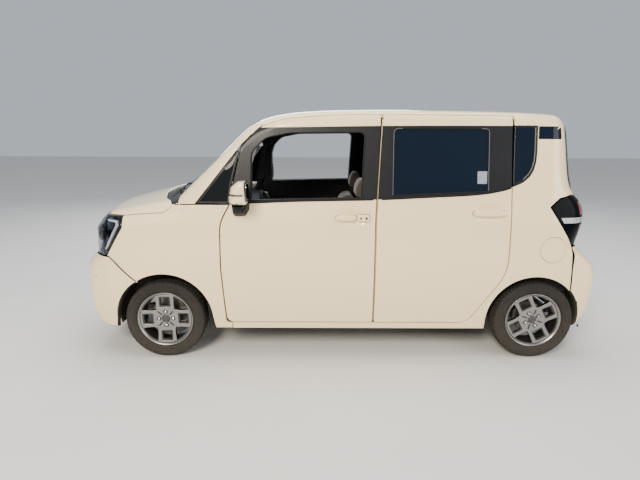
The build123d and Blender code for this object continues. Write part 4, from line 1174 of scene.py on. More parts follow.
# rear corner, seen from behind
strip = np.vstack([corner3[:, 1:], rt3[1:, 1:], [(np.interp(z, [.80, 1.15, 1.56, 1.7], [.6425, .6425, .6025, .600]), z) for z in np.arange(rt3[-1, 2], 1.130, -.012)]])
panel(A, BACK, resample(clean(strip), 0.013), "paint_cream", depth=0.022, inner_mat="paint_inner",
      seam=lambda u, v: (((corner3[:, 1:] - [u, v]) ** 2).sum(1).min() < 0.009 ** 2) or (((rt3[:, 1:] - [u, v]) ** 2).sum(1).min() < 0.009 ** 2))
QUARTERS[0].join(A)
QUARTERS[1].join(A)
# bowl behind the fuel flap
panel(QUARTERS[0], SIDE, np.array([(-1.342 + .097 * math.cos(t), .773 + .097 * math.sin(t)) for t in np.linspace(0, 2 * math.pi, 48, endpoint=False)]), "trim_black", off=.0225, depth=.006, roll=.001, step=.03)
QUARTERS[0].object("body_side_left_skin", "body", "body_side_left", slot="body_paint")
QUARTERS[1].mirrored().object("body_side_right_skin", "body", "body_side_right", slot="body_paint")
print("sides", flush=True)

# ---- tailgate ---------------------------------------------------------
gate_half = np.vstack([[(y, .634) for y in np.arange(0, .600, .013)], rounded([(.600, .634), (.6375, .680, .05), (.6375, 1.150, .15), (.5985, 1.560, .1), (.5965, rt3[-1, 2])], closed=False)])
rt_mid = []
for y in np.arange(.596, -.001, -.0125):
    rt_mid.append(corner_ray((REAR(1.62) + .16, y, 1.50), (-.75, 0, 1.0)))
rtm = np.array(rt_mid)
hg = np.vstack([gate_half[:-1], rtm[:, 1:]])
hg2 = hg[::-1].copy()
hg2[:, 0] *= -1
gate_loop = resample(clean(np.vstack([hg, hg2[1:]])), 0.0135)
GATE_GLASS = rounded([(-.540, 1.560, .05), (-.575, 1.175, .06), (.575, 1.175, .06), (.540, 1.560, .05)])
b = Build()
gs = lambda u, v: ((rtm[:, 1:] - [abs(u), v]) ** 2).sum(1).min() < 0.009 ** 2
panel(b, BACK, gate_loop, "paint_cream", holes=[GATE_GLASS], depth=0.045, inner_mat="trim_black", seam=gs, step=0.02)
sp_half = np.vstack([rtm[::-1][:, :2], [(x, .5965) for x in np.arange(rtm[0, 0] + .012, SEAM - .005, .012)], [(SEAM - .005, y) for y in np.arange(.5965, 0, -.013)]])
sp2 = sp_half[::-1].copy()
sp2[:, 1] *= -1
sp_loop = clean(np.vstack([sp_half, sp2]), 0.002)
panel(b, TOP, sp_loop, "paint_cream", depth=0.020, inner_mat="trim_black", seam=lambda u, v: ((rtm[:, :2] - [u, abs(v)]) ** 2).sum(1).min() < 0.010 ** 2, step=0.02)
b.object("tailgate_skin", "tailgate_body", "tailgate", slot="body_paint")

# ---- rear bumper --------------------------------------------------------
e1 = side_pts([(-1.486, .500), (-1.480, .640), (-1.474, .790)])
a1 = side_pts(arc(-1.252, .270, .318, 137, 180, 14) + [(-1.5665, .205)])
lamp_low = SIDE.pos(np.array([(-1.4685, .7985), (-1.50, .7935), (-1.54, .787)]))
u_end = WRAP_R.uv(lamp_low)[-1]
gate_side = BACK.pos(np.array([(.6425, .780), (.6425, .690), (.630, .655), (.600, .6295)]))
lb = np.vstack([WRAP_R.uv(a1)[::-1], WRAP_R.uv(e1), WRAP_R.uv(lamp_low)[1:], WRAP_R.uv(gate_side)[:1], WRAP_R.uv(gate_side)[1:], [(u, .6295) for u in np.linspace(WRAP_R.uv(gate_side)[-1, 0], 0, 45)[1:]]])
rb = lb[::-1].copy()
rb[:, 0] *= -1
loop_rb = resample(clean(np.vstack([lb, rb[1:]])), 0.013)
b = Build()
# the bumper's edge is black liner, painted shade that darkens the shut line and its return flange
panel(b, WRAP_R, shrink(loop_rb, G), "paint_cream", depth=0.022, inner_mat="trim_black", rim_mat="liner", roll=0.004)
b.object("rear_bumper_skin", "body", "rear_bumper", slot="body_paint")


def grid(b, V, mat, ci=False, cj=False, crease=40.0, sign=1):
    """A sheet of points V[i][j]; edges sharper than crease, in degrees, stay sharp."""
    V = np.asarray(V, float)
    I, J = V.shape[:2]
    ii, jj = np.arange(I if ci else I - 1), np.arange(J if cj else J - 1)
    A, B = V[ii][:, jj], V[(ii + 1) % I][:, jj]
    C, D = V[(ii + 1) % I][:, (jj + 1) % J], V[ii][:, (jj + 1) % J]
    n = np.cross(C - A, D - B)
    n = sign * n / np.maximum(np.linalg.norm(n, axis=2, keepdims=True), 1e-12)
    cs = math.cos(math.radians(crease))

    def at(di, dj):
        q = np.roll(n, (-di, -dj), (0, 1))
        if not ci and di:
            q[-1 if di > 0 else 0] = 0
        if not cj and dj:
            q[:, -1 if dj > 0 else 0] = 0
        return q * ((q * n).sum(2, keepdims=True) > cs)

    P, N = [], []
    for X, di, dj in ((A, -1, -1), (B, 1, -1), (C, 1, 1), (D, -1, 1)):
        P.append(X)
        N.append(n + at(di, 0) + at(0, dj) + at(di, dj))
    P, N = np.stack(P, 2).reshape(-1, 3), np.stack(N, 2).reshape(-1, 3)
    k = len(P) // 4
    faces = [(4 * i, 4 * i + 1, 4 * i + 2, 4 * i + 3) for i in range(k)]
    return b.add(P, N, faces, mat)


def fan(b, loop, c, n, mat):
    loop = np.asarray(loop, float)
    k = len(loop)
    return b.add(np.vstack([loop, c]), np.tile(np.array(n, float), (k + 1, 1)), [(i, (i + 1) % k, k) for i in range(k)], mat)


def se_loop(k, p):
    """Unit superellipse as k points."""
    a = np.linspace(0, 2 * math.pi, k, endpoint=False)
    c, s = np.cos(a), np.sin(a)
    return np.stack([np.sign(c) * np.abs(c) ** (2 / p), np.sign(s) * np.abs(s) ** (2 / p)], 1)


def even(loop, k):
    """k evenly spaced points round a closed loop."""
    L = np.vstack([loop, loop[:1]])
    s = np.concatenate([[0], np.cumsum(np.linalg.norm(np.diff(L, axis=0), axis=1))])
    t = np.linspace(0, s[-1], k, endpoint=False)
    return np.stack([np.interp(t, s, L[:, i]) for i in range(L.shape[1])], 1)


# =====================================================================
# wheels
# =====================================================================
def tyre_mesh():
    b = Build()
    pitches, per = 60, 4
    seg = pitches * per
    a = np.linspace(0, 2 * math.pi, seg, endpoint=False)
    side = [(.1775, .0570), (.1905, .0615), (.1925, .0700), (.1960, .0765), (.2030, .0828), (.2050, .0830), (.2070, .0822), (.2150, .0842), (.2250, .0850), (.2340, .0842),
            (.2360, .0832), (.2375, .0836), (.2460, .0815), (.2580, .0757)]
    tread = [(.2625, .0722), (.2665, .0670), (.2685, .0630), (.2700, .0575), (.2708, .0530), (.2712, .0465), (.2713, .0440), (.2713, .0438), (.2713, .0362), (.2713, .0360), (.2722, .0300), (.2730, .0200),
             (.2735, .0172), (.2735, .0170), (.2735, .0098), (.2735, .0096), (.2740, .0040), (.2740, 0.0)]
    groove = {7: 1, 8: 1, 13: 1, 14: 1}
    half = [(r, y, 0) for r, y in side] + [(r, y, 1 + i) for i, (r, y) in enumerate(tread)]
    prof = half + [(r, -y, k) for r, y, k in half[::-1][1:]]
    R = np.zeros((seg, len(prof)))
    Y = np.zeros((seg, len(prof)))
    ph = np.arange(seg) % per
    for j, (r, y, k) in enumerate(prof):
        R[:, j], Y[:, j] = r, y
        if k:
            i = k - 1
            if i in groove:
                R[:, j] -= 0.0068
            # slots across the shoulder and, staggered, across the middle ribs
            elif 1 <= i <= 5 or (i == 6):
                slot = ph == 0
                R[slot, j] -= 0.0055 if i > 1 else 0.003
            elif 9 <= i <= 12:
                slot = ph == 2
                R[slot, j] -= 0.0045
            elif i >= 16:
                slot = ph == (1 if y >= 0 else 3)
                R[slot, j] -= 0.0035
    skew = np.array([0.10 * abs(y) / .07 if k else 0 for r, y, k in prof]) * 0.25
    ang = a[:, None] + skew[None, :] * np.where(np.array([k for r, y, k in prof]) > 0, 1, 0)[None, :]
    V = np.stack([R * np.cos(ang), Y, R * np.sin(ang)], 2)
    grid(b, V, "tyre_rubber", ci=True, crease=32, sign=1)
    # fine ribs low on the sidewall and a small ring of marks without lettering
    for s in (1, -1):
        for r, w in ((.2120, .0007), (.2420, .0006)):
            y = s * (np.interp(r, [p[0] for p in side], [p[1] for p in side]) + .0004)
            P = np.stack([r * np.cos(a[::3]), np.full(len(a[::3]), y), r * np.sin(a[::3])], 1)
            tube(b, P, w * 1.6, "tyre_rubber", k=5, closed=True)
        for q in range(64):
            t0 = 2 * math.pi * q / 64
            if q % 16 < 13:
                P = np.array([[r * math.cos(t0 + (r - .214) * 2), s * (np.interp(r, [p[0] for p in side], [p[1] for p in side]) + .0002), r * math.sin(t0 + (r - .214) * 2)] for r in (.2145, .2185, .2225)])
                tube(b, P, .0007, "tyre_rubber", k=4)
    return b


def place_wheel(b, x, s):
    """The wheel mesh made for the left, outer face +y, put at its axle end."""
    o = Build()
    v, n = b.merged()
    sg = np.array([1, s, 1])
    o.v, o.n = [v * sg + [x, s * .706, .274]], [n * sg]
    o.f = [f if s > 0 else f[::-1] for f in b.f]
    o.m, o.mats, o.count = list(b.m), list(b.mats), b.count
    return o


def rim_mesh(front=True):
    b = Build()
    lathe(b, [(.1778, .0575), (.1900, .0618), (.1912, .0680), (.1902, .0712), (.1880, .0722), (.1850, .0720), (.1828, .0700), (.1795, .0672), (.1765, .0640)], "alloy_bright", seg=128, sharp=1.2)
    lathe(b, [(.1765, .0640), (.1735, .0560), (.1715, .0420), (.1690, .0180), (.1600, .0020), (.1575, -.0420), (.1620, -.0560), (.1740, -.0620)], "alloy_dark", seg=96, sharp=1.2)
    lathe(b, [(.1740, -.0620), (.1890, -.0690), (.1900, -.0715), (.1910, -.0680), (.1900, -.0615), (.1778, -.0575), (.1750, -.0400), (.1750, .0400), (.1778, .0575)], "alloy_dark", seg=96, sharp=1.0)
    face = Flat(lambda u, v: .0535 + .0065 * np.clip(np.hypot(u, v) / .17, 0, 1) ** 2, lambda uv: np.stack([uv[:, 0], np.zeros(len(uv)), uv[:, 1]], 1), (0, 1, 0))
    rot = lambda P, k: np.array([(x * math.cos(k) - z * math.sin(k), x * math.sin(k) + z * math.cos(k)) for x, z in P])
    circle = lambda r, n=96, cx=0, cz=0: np.array([(cx + r * math.cos(2 * math.pi * i / n), cz + r * math.sin(2 * math.pi * i / n)) for i in range(n)])
    win = rounded([(-.0310, .0940, .006), (.0310, .0940, .006), (.0300, .1490, .006), (-.0300, .1490, .006)], step=.006)
    a0, a1 = math.atan2(.1560, .0630), math.atan2(.0630, .1560)
    opening = rounded([(.0650, .0650, .010)] + [(.0600, .1050)] + [(.1690 * math.cos(t), .1690 * math.sin(t), .006 if i in (0, 12) else 0) for i, t in enumerate(np.linspace(a0 + .012, a1 - .012, 13))] + [(.1050, .0600)], step=.006)
    holes = [rot(win, k * math.pi / 2) for k in range(4)] + [rot(opening, k * math.pi / 2) for k in range(4)]
    panel(b, face, circle(.1745), "alloy_dark", holes=holes, off=.004, depth=.022, roll=.002, step=.014, inner=True)
    # machined frame that stands proud of the dark plate
    pocket = rounded([(-.0385, .0850, .006), (.0385, .0850, .006), (.0375, .1590, .006), (-.0375, .1590, .006)], step=.006)
    seat = circle(.0152, 28, 0, .0485)
    groove = rounded([(.0225, .0290, .002), (.0290, .0225, .002), (.0555, .0490, .002), (.0490, .0555, .002)], step=.005)
    open2 = rounded([(.0615, .0615, .010)] + [(.0600, .1050)] + [(.1732 * math.cos(t), .1732 * math.sin(t), .005 if i in (0, 12) else 0) for i, t in enumerate(np.linspace(a0 + .006, a1 - .006, 13))] + [(.1050, .0600)], step=.006)
    panel(b, face, circle(.1752), "alloy_bright", holes=[rot(h, k * math.pi / 2) for k in range(4) for h in (pocket, seat, groove, open2)] + [circle(.0285, 40)],
          off=-.0005, depth=.0075, roll=.0022, step=.013)
    # wheel nuts in their seats, hub boss and plain cap
    for k in range(4):
        cx, cz = rot([(0, .0485)], k * math.pi / 2)[0]
        for rows, m in (([(.0150, .0500), (.0150, .0470), (.0125, .0440), (.0100, .0440)], "alloy_dark"), ([(.0118, .0440), (.0118, .0455), (.0095, .0462), (.0092, .0560), (.0080, .0585), (.0055, .0600), (.0, .0602)], "chrome")):
            lathe(b, rows, m, c=(cx, 0, cz), seg=20, sharp=.5)
    lathe(b, [(.0285, .0490), (.0280, .0545), (.0272, .0562), (.0255, .0568), (.0245, .0562), (.0240, .0552), (.0200, .0556), (.0100, .0566), (.0, .0568)], "gloss_black", seg=48, sharp=.8)
    lathe(b, [(.0288, .0525), (.0286, .0552), (.0275, .0563)], "alloy_bright", seg=48, sharp=2)
    lathe(b, [(.0, .0300), (.0600, .0300), (.0640, .0200), (.0640, -.0180), (.0, -.0180)], "alloy_dark", seg=48, sharp=.5)
    if front:
        lathe(b, [(.0620, -.0190), (.0620, -.0330), (.1190, -.0335), (.1210, -.0345), (.1210, -.0385), (.1180, -.0390), (.1180, -.0410), (.1210, -.0415), (.1210, -.0450), (.1190, -.0460), (.0640, -.0460)], "brake_iron", seg=96, sharp=.5)
        lathe(b, [(.0, -.0190), (.0620, -.0190)], "brake_iron", seg=48)
    else:
        lathe(b, [(.0, -.0190), (.0900, -.0190), (.1010, -.0215), (.1050, -.0260), (.1050, -.0860), (.1010, -.0900), (.0920, -.0900)], "brake_iron", seg=72, sharp=.5)
        for k in range(24):
            t = 2 * math.pi * k / 24
            block(b, (-.003, -.080, .1035), (.003, -.030, .1075), .001, "brake_iron", seg=1, M=Matrix.Rotation(t, 4, "Y"))
    # valve stem
    P = np.array([[.0, .050, .1700], [.0, .062, .1660], [.0, .072, .1630]])
    tube(b, P @ np.array([[math.cos(.62), 0, -math.sin(.62)], [0, 1, 0], [math.sin(.62), 0, math.cos(.62)]]), .0032, "rubber", k=8)
    return b


def turned(b, ang):
    """The mesh turned about the wheel's axle, as the wheel stood in the photo."""
    c, s = math.cos(ang), math.sin(ang)
    Rm = np.array([[c, 0, s], [0, 1, 0], [-s, 0, c]])
    o = Build()
    v, n = b.merged()
    o.v, o.n, o.f, o.m, o.mats, o.count = [v @ Rm.T], [n @ Rm.T], b.f, b.m, b.mats, b.count
    return o


T_MESH, RIM_F, RIM_R = tyre_mesh(), rim_mesh(True), rim_mesh(False)
for ax, x, rim, turn in (("front", XF, RIM_F, 0.02), ("rear", XR, RIM_R, math.radians(28))):
    for tag, s in (("left", 1), ("right", -1)):
        place_wheel(T_MESH, x, s).object(f"tyre_{ax}_{tag}_mesh", f"{ax}_{tag}_wheel", f"tyre_{ax}_{tag}", slot="tyre")
        place_wheel(turned(rim, turn), x, s).object(f"rim_{ax}_{tag}_mesh", f"{ax}_{tag}_wheel", f"rim_{ax}_{tag}", slot="alloy")
print("wheels", flush=True)

# =====================================================================
# lamps
# =====================================================================
hl_side = rounded([(1.513, .9835), (1.513, .9120, .012), (1.585, .7990, .3), (1.6375, .7205)], closed=False)
hs = WRAP_F.uv(SIDE.pos(hl_side))
hf = WRAP_F.uv(FRONT.pos(np.array([(.4535, .7205), (.4535, .9835)])))
hl = np.vstack([hs, [(u, .7170) for u in np.linspace(hs[-1, 0], hf[0, 0], 20)[1:]], [(u, .9840) for u in np.linspace(hf[1, 0], hs[0, 0], 22)[:-1]]])
hl = resample(clean(hl), .012)
b = Build()
panel(b, WRAP_F, shrink(hl, .0015), "lens_clear", depth=.0035, roll=.0015, step=.02)
panel(b, WRAP_F, shrink(hl, .0020), "lamp_dark", off=.052, depth=.006, roll=.001, step=.02)
# housing wall between lens and back
Lw = shrink(hl, .0020)
a_, c_ = WRAP_F.pos(Lw, .004), WRAP_F.pos(Lw, .056)
grid(b, np.stack([a_, c_], 1), "lamp_dark", ci=True, sign=1)
# black frame round the lens
ring_in = shrink(hl, .0125)
panel(b, WRAP_F, shrink(hl, .0022), "gloss_black", holes=[ring_in], off=.0040, depth=.010, roll=.0012, step=.03)


# daytime light: an angled white bar that runs down the rear edge
drl = rounded([(1.624, .9590, .003), (1.5475, .9525, .010), (1.5450, .9180, .02), (1.6400, .7540, .003), (1.6495, .7620, .003), (1.5585, .9205, .02), (1.5595, .9410, .006), (1.627, .9480, .003)], .008)
panel(b, WRAP_F, WRAP_F.uv(SIDE.pos(drl)), "lamp_white", off=.0065, depth=.012, roll=.002, step=.012)
cr = rounded([(1.5400, .9680), (1.5365, .9175, .02), (1.6365, .7430)], .008, closed=False)
tube(b, SIDE.pos(cr, .010), .0022, "chrome", k=8)
# projector lenses that face forward, in dark bezels
for y, z, r in ((.690, .850, .034), (.590, .860, .040), (.505, .868, .030)):
    x1 = float(FRONT.pos(np.array([(y, z)]))[0, 0]) - .018
    a = np.linspace(0, 2 * math.pi, 40, endpoint=False)
    for rr, mt in (([(r * 1.12, -.020), (r * 1.12, .002), (r * 1.06, .004), (r, .002), (r * .96, -.010)], "gloss_black"), ([(r * .99, .0022), (r * .965, .003), (r * .94, .001)], "chrome")):
        V = np.stack([[(x1 + q[1], y + q[0] * math.cos(t), z + q[0] * math.sin(t)) for q in rr] for t in a])
        grid(b, V, mt, ci=True, sign=1)
    V = np.stack([[(x1 - .014 + .014 * math.cos(p), y + r * .93 * math.sin(p) * math.cos(t), z + r * .93 * math.sin(p) * math.sin(t)) for p in np.linspace(.02, math.pi / 2, 9)] for t in np.linspace(0, 2 * math.pi, 36, endpoint=False)])
    grid(b, V, "glass_grey", ci=True, sign=1)
# ribbed shelf under the lamps
for i in range(7):
    z = .742 + i * .008
    P = WRAP_F.pos(np.array([(u, z) for u in np.linspace(hf[0, 0] + .02, hs[-1, 0] - .03 - i * .004, 20)]), .020 + i * .002)
    tube(b, P, .0022, "lamp_dark", k=6)
b.both().object("headlamp_pair", "body", "headlamps", slot="lamp")

tl_side = rounded([(-1.4650, .8050), (-1.3055, 1.0555, .010), (-1.362, 1.1085, .04), (-1.440, 1.1290)], closed=False)
ts = WRAP_R.uv(SIDE.pos(tl_side))
tg = WRAP_R.uv(BACK.pos(np.array([(.6425, 1.128), (.6425, .7850)])))
tl = np.vstack([ts, [(u, 1.1300) for u in np.linspace(ts[-1, 0], tg[0, 0], 10)[1:]], [(tg[0, 0], z) for z in np.linspace(1.12, .80, 20)], [(tg[1, 0], .7870)], [(u, .7870 + .016 * t) for u, t in zip(np.linspace(tg[1, 0], ts[0, 0], 12)[1:-1], np.linspace(0, 1, 12)[1:-1])]])
tl = resample(clean(tl), .012)
b = Build()
panel(b, WRAP_R, shrink(tl, .0020), "lens_smoke", depth=.030, roll=.003, step=.015, inner_mat="trim_black")
bar = np.vstack([WRAP_R.uv(SIDE.pos(np.array([(-1.376, .9860), (-1.398, .9500)]))), [(u, .9500) for u in np.linspace(WRAP_R.uv(SIDE.pos(np.array([(-1.398, .95)])))[0, 0], tg[0, 0] + .012, 14)[1:]],
                 [(u, .9860) for u in np.linspace(tg[0, 0] + .012, WRAP_R.uv(SIDE.pos(np.array([(-1.376, .986)])))[0, 0], 14)[:-1]]])
bar = resample(clean(bar), .010)
panel(b, WRAP_R, bar, "lamp_grey", off=-.0006, depth=.006, roll=.0014, step=.012)
lo_u, hi_u = bar[:, 0].min(), bar[:, 0].max()
for u in np.arange(lo_u + .018, hi_u - .022, .021):
    P = WRAP_R.pos(np.array([(u, .9525), (u, .968), (u, .9835)]), -.0008)
    tube(b, P, .0010, "lens_smoke", k=6)
# dark red and amber chambers on the part that faces rearwards
u_r = tg[0, 0] + .010
for z0, z1, m_ in ((1.000, 1.088, "lens_red"), (.872, .938, "lens_red"), (.828, .862, "lens_amber")):
    wi = .034 if z0 > .95 else .030 if z0 > .87 else .022
    ch = rounded([(u_r, z0, .010), (u_r + wi, z0, .010), (u_r + wi * (1.05 if z0 > .95 else 1.1), z1, .010), (u_r, z1, .010)], .008)
    panel(b, WRAP_R, ch, m_, off=-.0006, depth=.005, roll=.0014, step=.014)
b.both().object("tail_lamp_pair", "body", "tail_lamps", slot="tail_lamp")
print("lamps", flush=True)

# =====================================================================
# nose panel, intake, cowl, windscreen, wipers
# =====================================================================
gp = np.vstack([[(u, .7170) for u in np.linspace(-.4505, .4505, 70)], [(.4505, z) for z in np.linspace(.72, .98, 20)], [(u, .9845) for u in np.linspace(.4505, -.4505, 70)], [(-.4505, z) for z in np.linspace(.98, .72, 20)]])
gp = np.array([(WRAP_F.uv(FRONT.pos(np.array([p])))[0]) for p in resample(clean(gp), .014)])
b = Build()
slot_g = rounded([(-.400, .776, .018), (.400, .776, .018), (.400, .930, .018), (-.400, .930, .018)], .012)
slot_g = WRAP_F.uv(FRONT.pos(slot_g))
panel(b, WRAP_F, gp, "paint_cream", holes=[slot_g], depth=.018, roll=.003, step=.018, inner_mat="trim_black")
panel(b, WRAP_F, shrink(slot_g, -.004), "gloss_black", off=.016, depth=.006, roll=.001, step=.03)
for i, z in enumerate((.797, .825, .853, .881, .909)):
    P = FRONT.pos(np.array([(y, z) for y in np.linspace(-.392, .392, 60)]), .009)
    sweep(b, P, [(-.007, -.0045), (.003, -.0035), (.005, .0), (.003, .0035), (-.007, .0045)], "trim_black" if i != 2 else "chrome", up=(0, 0, 1))
b.object("nose_panel", "body", "grille_panel", slot="body_paint")

b = Build()
ii_ = shrink(intake, -.006)
panel(b, WRAP_F, ii_, "trim_black", off=.045, depth=.006, roll=.001, step=.04)
for z in (.322, .346, .370, .394, .418, .442):
    w = np.interp(z, [.30, .455], [.425, .355])
    P = WRAP_F.pos(np.array([(u, z) for u in np.linspace(-w, w, 50)]), .020)
    sweep(b, P, [(-.010, -.004), (.004, -.003), (.006, 0), (.004, .003), (-.010, .004)], "trim_black", up=(0, 0, 1))
for u in np.linspace(-.36, .36, 13):
    P = WRAP_F.pos(np.array([(u, z) for z in np.linspace(.300, .452, 8)]), .028)
    sweep(b, P, [(-.002, -.008), (.002, -.008), (.002, .008), (-.002, .008)], "trim_black", up=(1, 0, 0))
# lower lip, blank plate on its holder, round parking sensors
P = WRAP_F.pos(np.array([(u, .236) for u in np.linspace(-.45, .45, 60)]), .004)
sweep(b, P, [(-.006, -.012), (.006, -.016), (.010, -.010), (.008, .012), (-.006, .016)], "trim_black", up=(0, 0, 1))
xp = float(FRONT.pos(np.array([(0.0, .56)]))[0, 0])
block(b, (xp - .010, -.268, .494), (xp + .0003, .268, .616), .004, "trim_black", seg=2)
b.object("bumper_grille", "body", slot="black_trim")
pl_surf = Flat(lambda u, v: np.zeros(len(u)), lambda uv: np.stack([np.full(len(uv), xp + .0012), uv[:, 0], uv[:, 1]], 1), (1, 0, 0))
b2 = Build()
panel(b2, pl_surf, rounded([(-.2580, .5020, .006), (.2580, .5020, .006), (.2580, .6080, .006), (-.2580, .6080, .006)], .02), "plate_white", depth=.0014, roll=.0005, step=.05)
for y in (-.205, .205):
    a = np.linspace(0, 2 * math.pi, 14, endpoint=False)
    V = np.stack([[(xp + .0008 + q[1], y + q[0] * math.cos(t), .592 + q[0] * math.sin(t)) for q in ((.0052, 0), (.0050, .0010), (.0035, .0018), (.0001, .0020))] for t in a])
    grid(b2, V, "chrome", ci=True, sign=1)
b2.object("front_plate_blank", "body", slot="black_trim")
b = Build()
for sy in (1, -1):
    for u in (.28, .58):
        uu = sy * u
        o_, d_ = WRAP_F.pos(np.array([(uu, .575 if u < .4 else .56)])), None
        c = o_[0]
        nn = gradient(o_)[0]
        t1 = np.cross(nn, [0, 0, 1.0])
        t1 /= np.linalg.norm(t1)
        t2 = np.cross(nn, t1)
        for r0, r1, h0, h1, mt in ((.0105, .0100, -.001, .0012, "trim_black"), (.0092, .0001, .0012, .0018, "paint_cream")):
            a = np.linspace(0, 2 * math.pi, 28, endpoint=False)
            V = np.stack([[c + t1 * r * math.cos(t) + t2 * r * math.sin(t) + nn * h for r, h in ((r0, h0), (r0, h1), (r1, h1 + .0003))] for t in a])
            grid(b, V, mt, ci=True, sign=-1)
b.object("parking_sensors_front", "body", slot="body_paint")

# windscreen with its printed black border
b = Build()
ws_in = shrink(WS, .0045)
panel(b, FRONT, ws_in, "glass_clear", off=.004, depth=.005, roll=.0012, step=.045)
panel(b, FRONT, shrink(ws_in, .001), "gloss_black", holes=[shrink(rounded([(-.505, 1.575, .05), (-.585, 1.165, .05), (.585, 1.165, .05), (.505, 1.575, .05)]), 0.0)], off=.0094, depth=.001, roll=.0003, step=.03)
P = FRONT.pos(resample(shrink(WS, .0018), .014), .0045)
tube(b, P, .0036, "rubber", k=8, closed=True)
frit = rounded([(-.518, 1.566, .06), (-.584, 1.196, .06), (.584, 1.196, .06), (.518, 1.566, .06)])
panel(b, FRONT, shrink(WS, .0060), "lens_smoke", holes=[frit], off=-.0004, depth=.0006, roll=.0001, step=.03)
b.object("windscreen_glass", "body", "windscreen", slot="clear_glass")

b = Build()
cr_rows = rounded([(1.1745, .735), (1.196, .690, .02), (1.262, .560, .2), (1.330, .300, .4), (1.345, .0)], closed=False)
cw = cr_rows.copy()
cw[:, 0] -= .004
wsb = FRONT.pos(np.array([(y, 1.1165) for y in np.linspace(0, .640, 40)]))
hc = np.vstack([wsb[:, :2] + [.004, 0], [(1.128, .665), (1.140, .700), (1.158, .726)], cw])
m2 = hc[::-1].copy()
m2[:, 1] *= -1
panel(b, TOP, resample(clean(np.vstack([hc, m2[1:-1]])), .013), "trim_black", off=.013, depth=.012, roll=.003, step=.022)
for k in range(26):
    y = -.52 + k * .0416
    P = TOP.pos(np.array([(x, y) for x in np.linspace(1.222, 1.222 + .055 * (1 - (y / .62) ** 2), 6)]), .0125)
    tube(b, P, .0022, "rubber", k=6)
b.object("cowl_panel", "body", slot="black_trim")

b = Build()
for y0, z0, y1, z1, py in ((.035, 1.150, .560, 1.182, .600), (-.500, 1.152, -.030, 1.196, -.075)):
    blade = np.array([(y0 + (y1 - y0) * t, z0 + (z1 - z0) * t) for t in np.linspace(0, 1, 30)])
    P = FRONT.pos(blade, -.0065)
    sweep(b, P, [(-.006, -.004), (.006, -.004), (.004, .004), (0, .0065), (-.004, .004)], "trim_black", up=(.68, 0, .73))
    P = FRONT.pos(blade, -.0012)
    sweep(b, P, [(-.0012, -.0035), (.0012, -.0035), (.0028, .004), (-.0028, .004)], "rubber", up=(.68, 0, .73))
    mid = blade[len(blade) // 2]
    piv = np.array([py, 1.128])
    ptsw = np.array([piv + (mid - piv) * t for t in np.linspace(0, 1, 16)])
    Pa = FRONT.pos(ptsw, 0)
    lift = -.012 - .012 * np.sin(np.linspace(0, math.pi, 16))
    Pa = np.array([FRONT.pos(ptsw[i:i + 1], lift[i])[0] for i in range(16)])
    sweep(b, Pa, [(-.008, -.003), (.008, -.003), (.0065, .003), (-.0065, .003)], "trim_black", up=(.68, 0, .73))
    c = Pa[0]
    a = np.linspace(0, 2 * math.pi, 24, endpoint=False)
    V = np.stack([[c + np.array([0, math.cos(t) * r, 0]) + np.array([-.73, 0, .68]) * math.sin(t) * r + np.array([.68, 0, .73]) * h for r, h in ((.015, -.016), (.015, .004), (.011, .008), (.0005, .0085))] for t in a])
    grid(b, V, "trim_black", ci=True, sign=1)
b.object("wiper_pair", "body", "wipers", slot="rough_plastic")
print("front", flush=True)

# =====================================================================
# side glass and black inserts
# =====================================================================
def glass_pane(rows, grow=.004, off=.0075, mat="glass_dark"):
    b = Build()
    panel(b, SIDE, shrink(rounded(rows), -grow), mat, off=off, depth=.004, roll=.0008, step=.04)
    return b


gl = glass_pane(REAR_WINDOW)
edge_l = SIDE.pos(resample(shrink(rounded(REAR_WINDOW), .0028), .012), .0060)
tube(gl, edge_l, .0024, "rubber", k=8, closed=True)
# thin bright line at the window's rear edge
rl = rounded([(-.8925, 1.160), (-.8905, 1.5545, .028), (-.840, 1.5548)], closed=False)
tube(gl, SIDE.pos(resample(rl, .02, False), .0008), .0026, "frame_grey", k=6)
rl = rounded([(-.2705, 1.130), (-.2725, 1.5545, .036), (-.330, 1.5548)], closed=False)
tube(gl, SIDE.pos(resample(rl, .02, False), .0008), .0026, "frame_grey", k=6)
gl_r = gl.mirrored()
# a plain pale sticker low in the left pane
st = rounded([(-.822, 1.204, .003), (-.822, 1.284, .003), (-.884, 1.284, .003), (-.884, 1.204, .003)], .01)
panel(gl, SIDE, st, "label_pale", off=.0070, depth=.0004, roll=.0001, step=.03)
gl.object("rear_door_pane_left", "left_rear_door", "rear_door_glass_left", slot="dark_glass")

b = Build()
tri = rounded([(1.0135, 1.0735, .004), (.7215, 1.4400, .012), (.744, 1.352, .3), (.7835, 1.190, .3), (.8010, 1.0735, .004)])
panel(b, SIDE, tri, "pillar_black", holes=[shrink(tri, .012)], off=.0020, depth=.012, roll=.0015, step=.02)
# the corner pane is near black: painted shade where the cabin would show through
panel(b, SIDE, shrink(tri, .006), "glass_grey", off=.0060, depth=.004, roll=.0008, step=.04)
tube(b, SIDE.pos(resample(tri, .012), .0015), .0026, "rubber", k=8, closed=True)
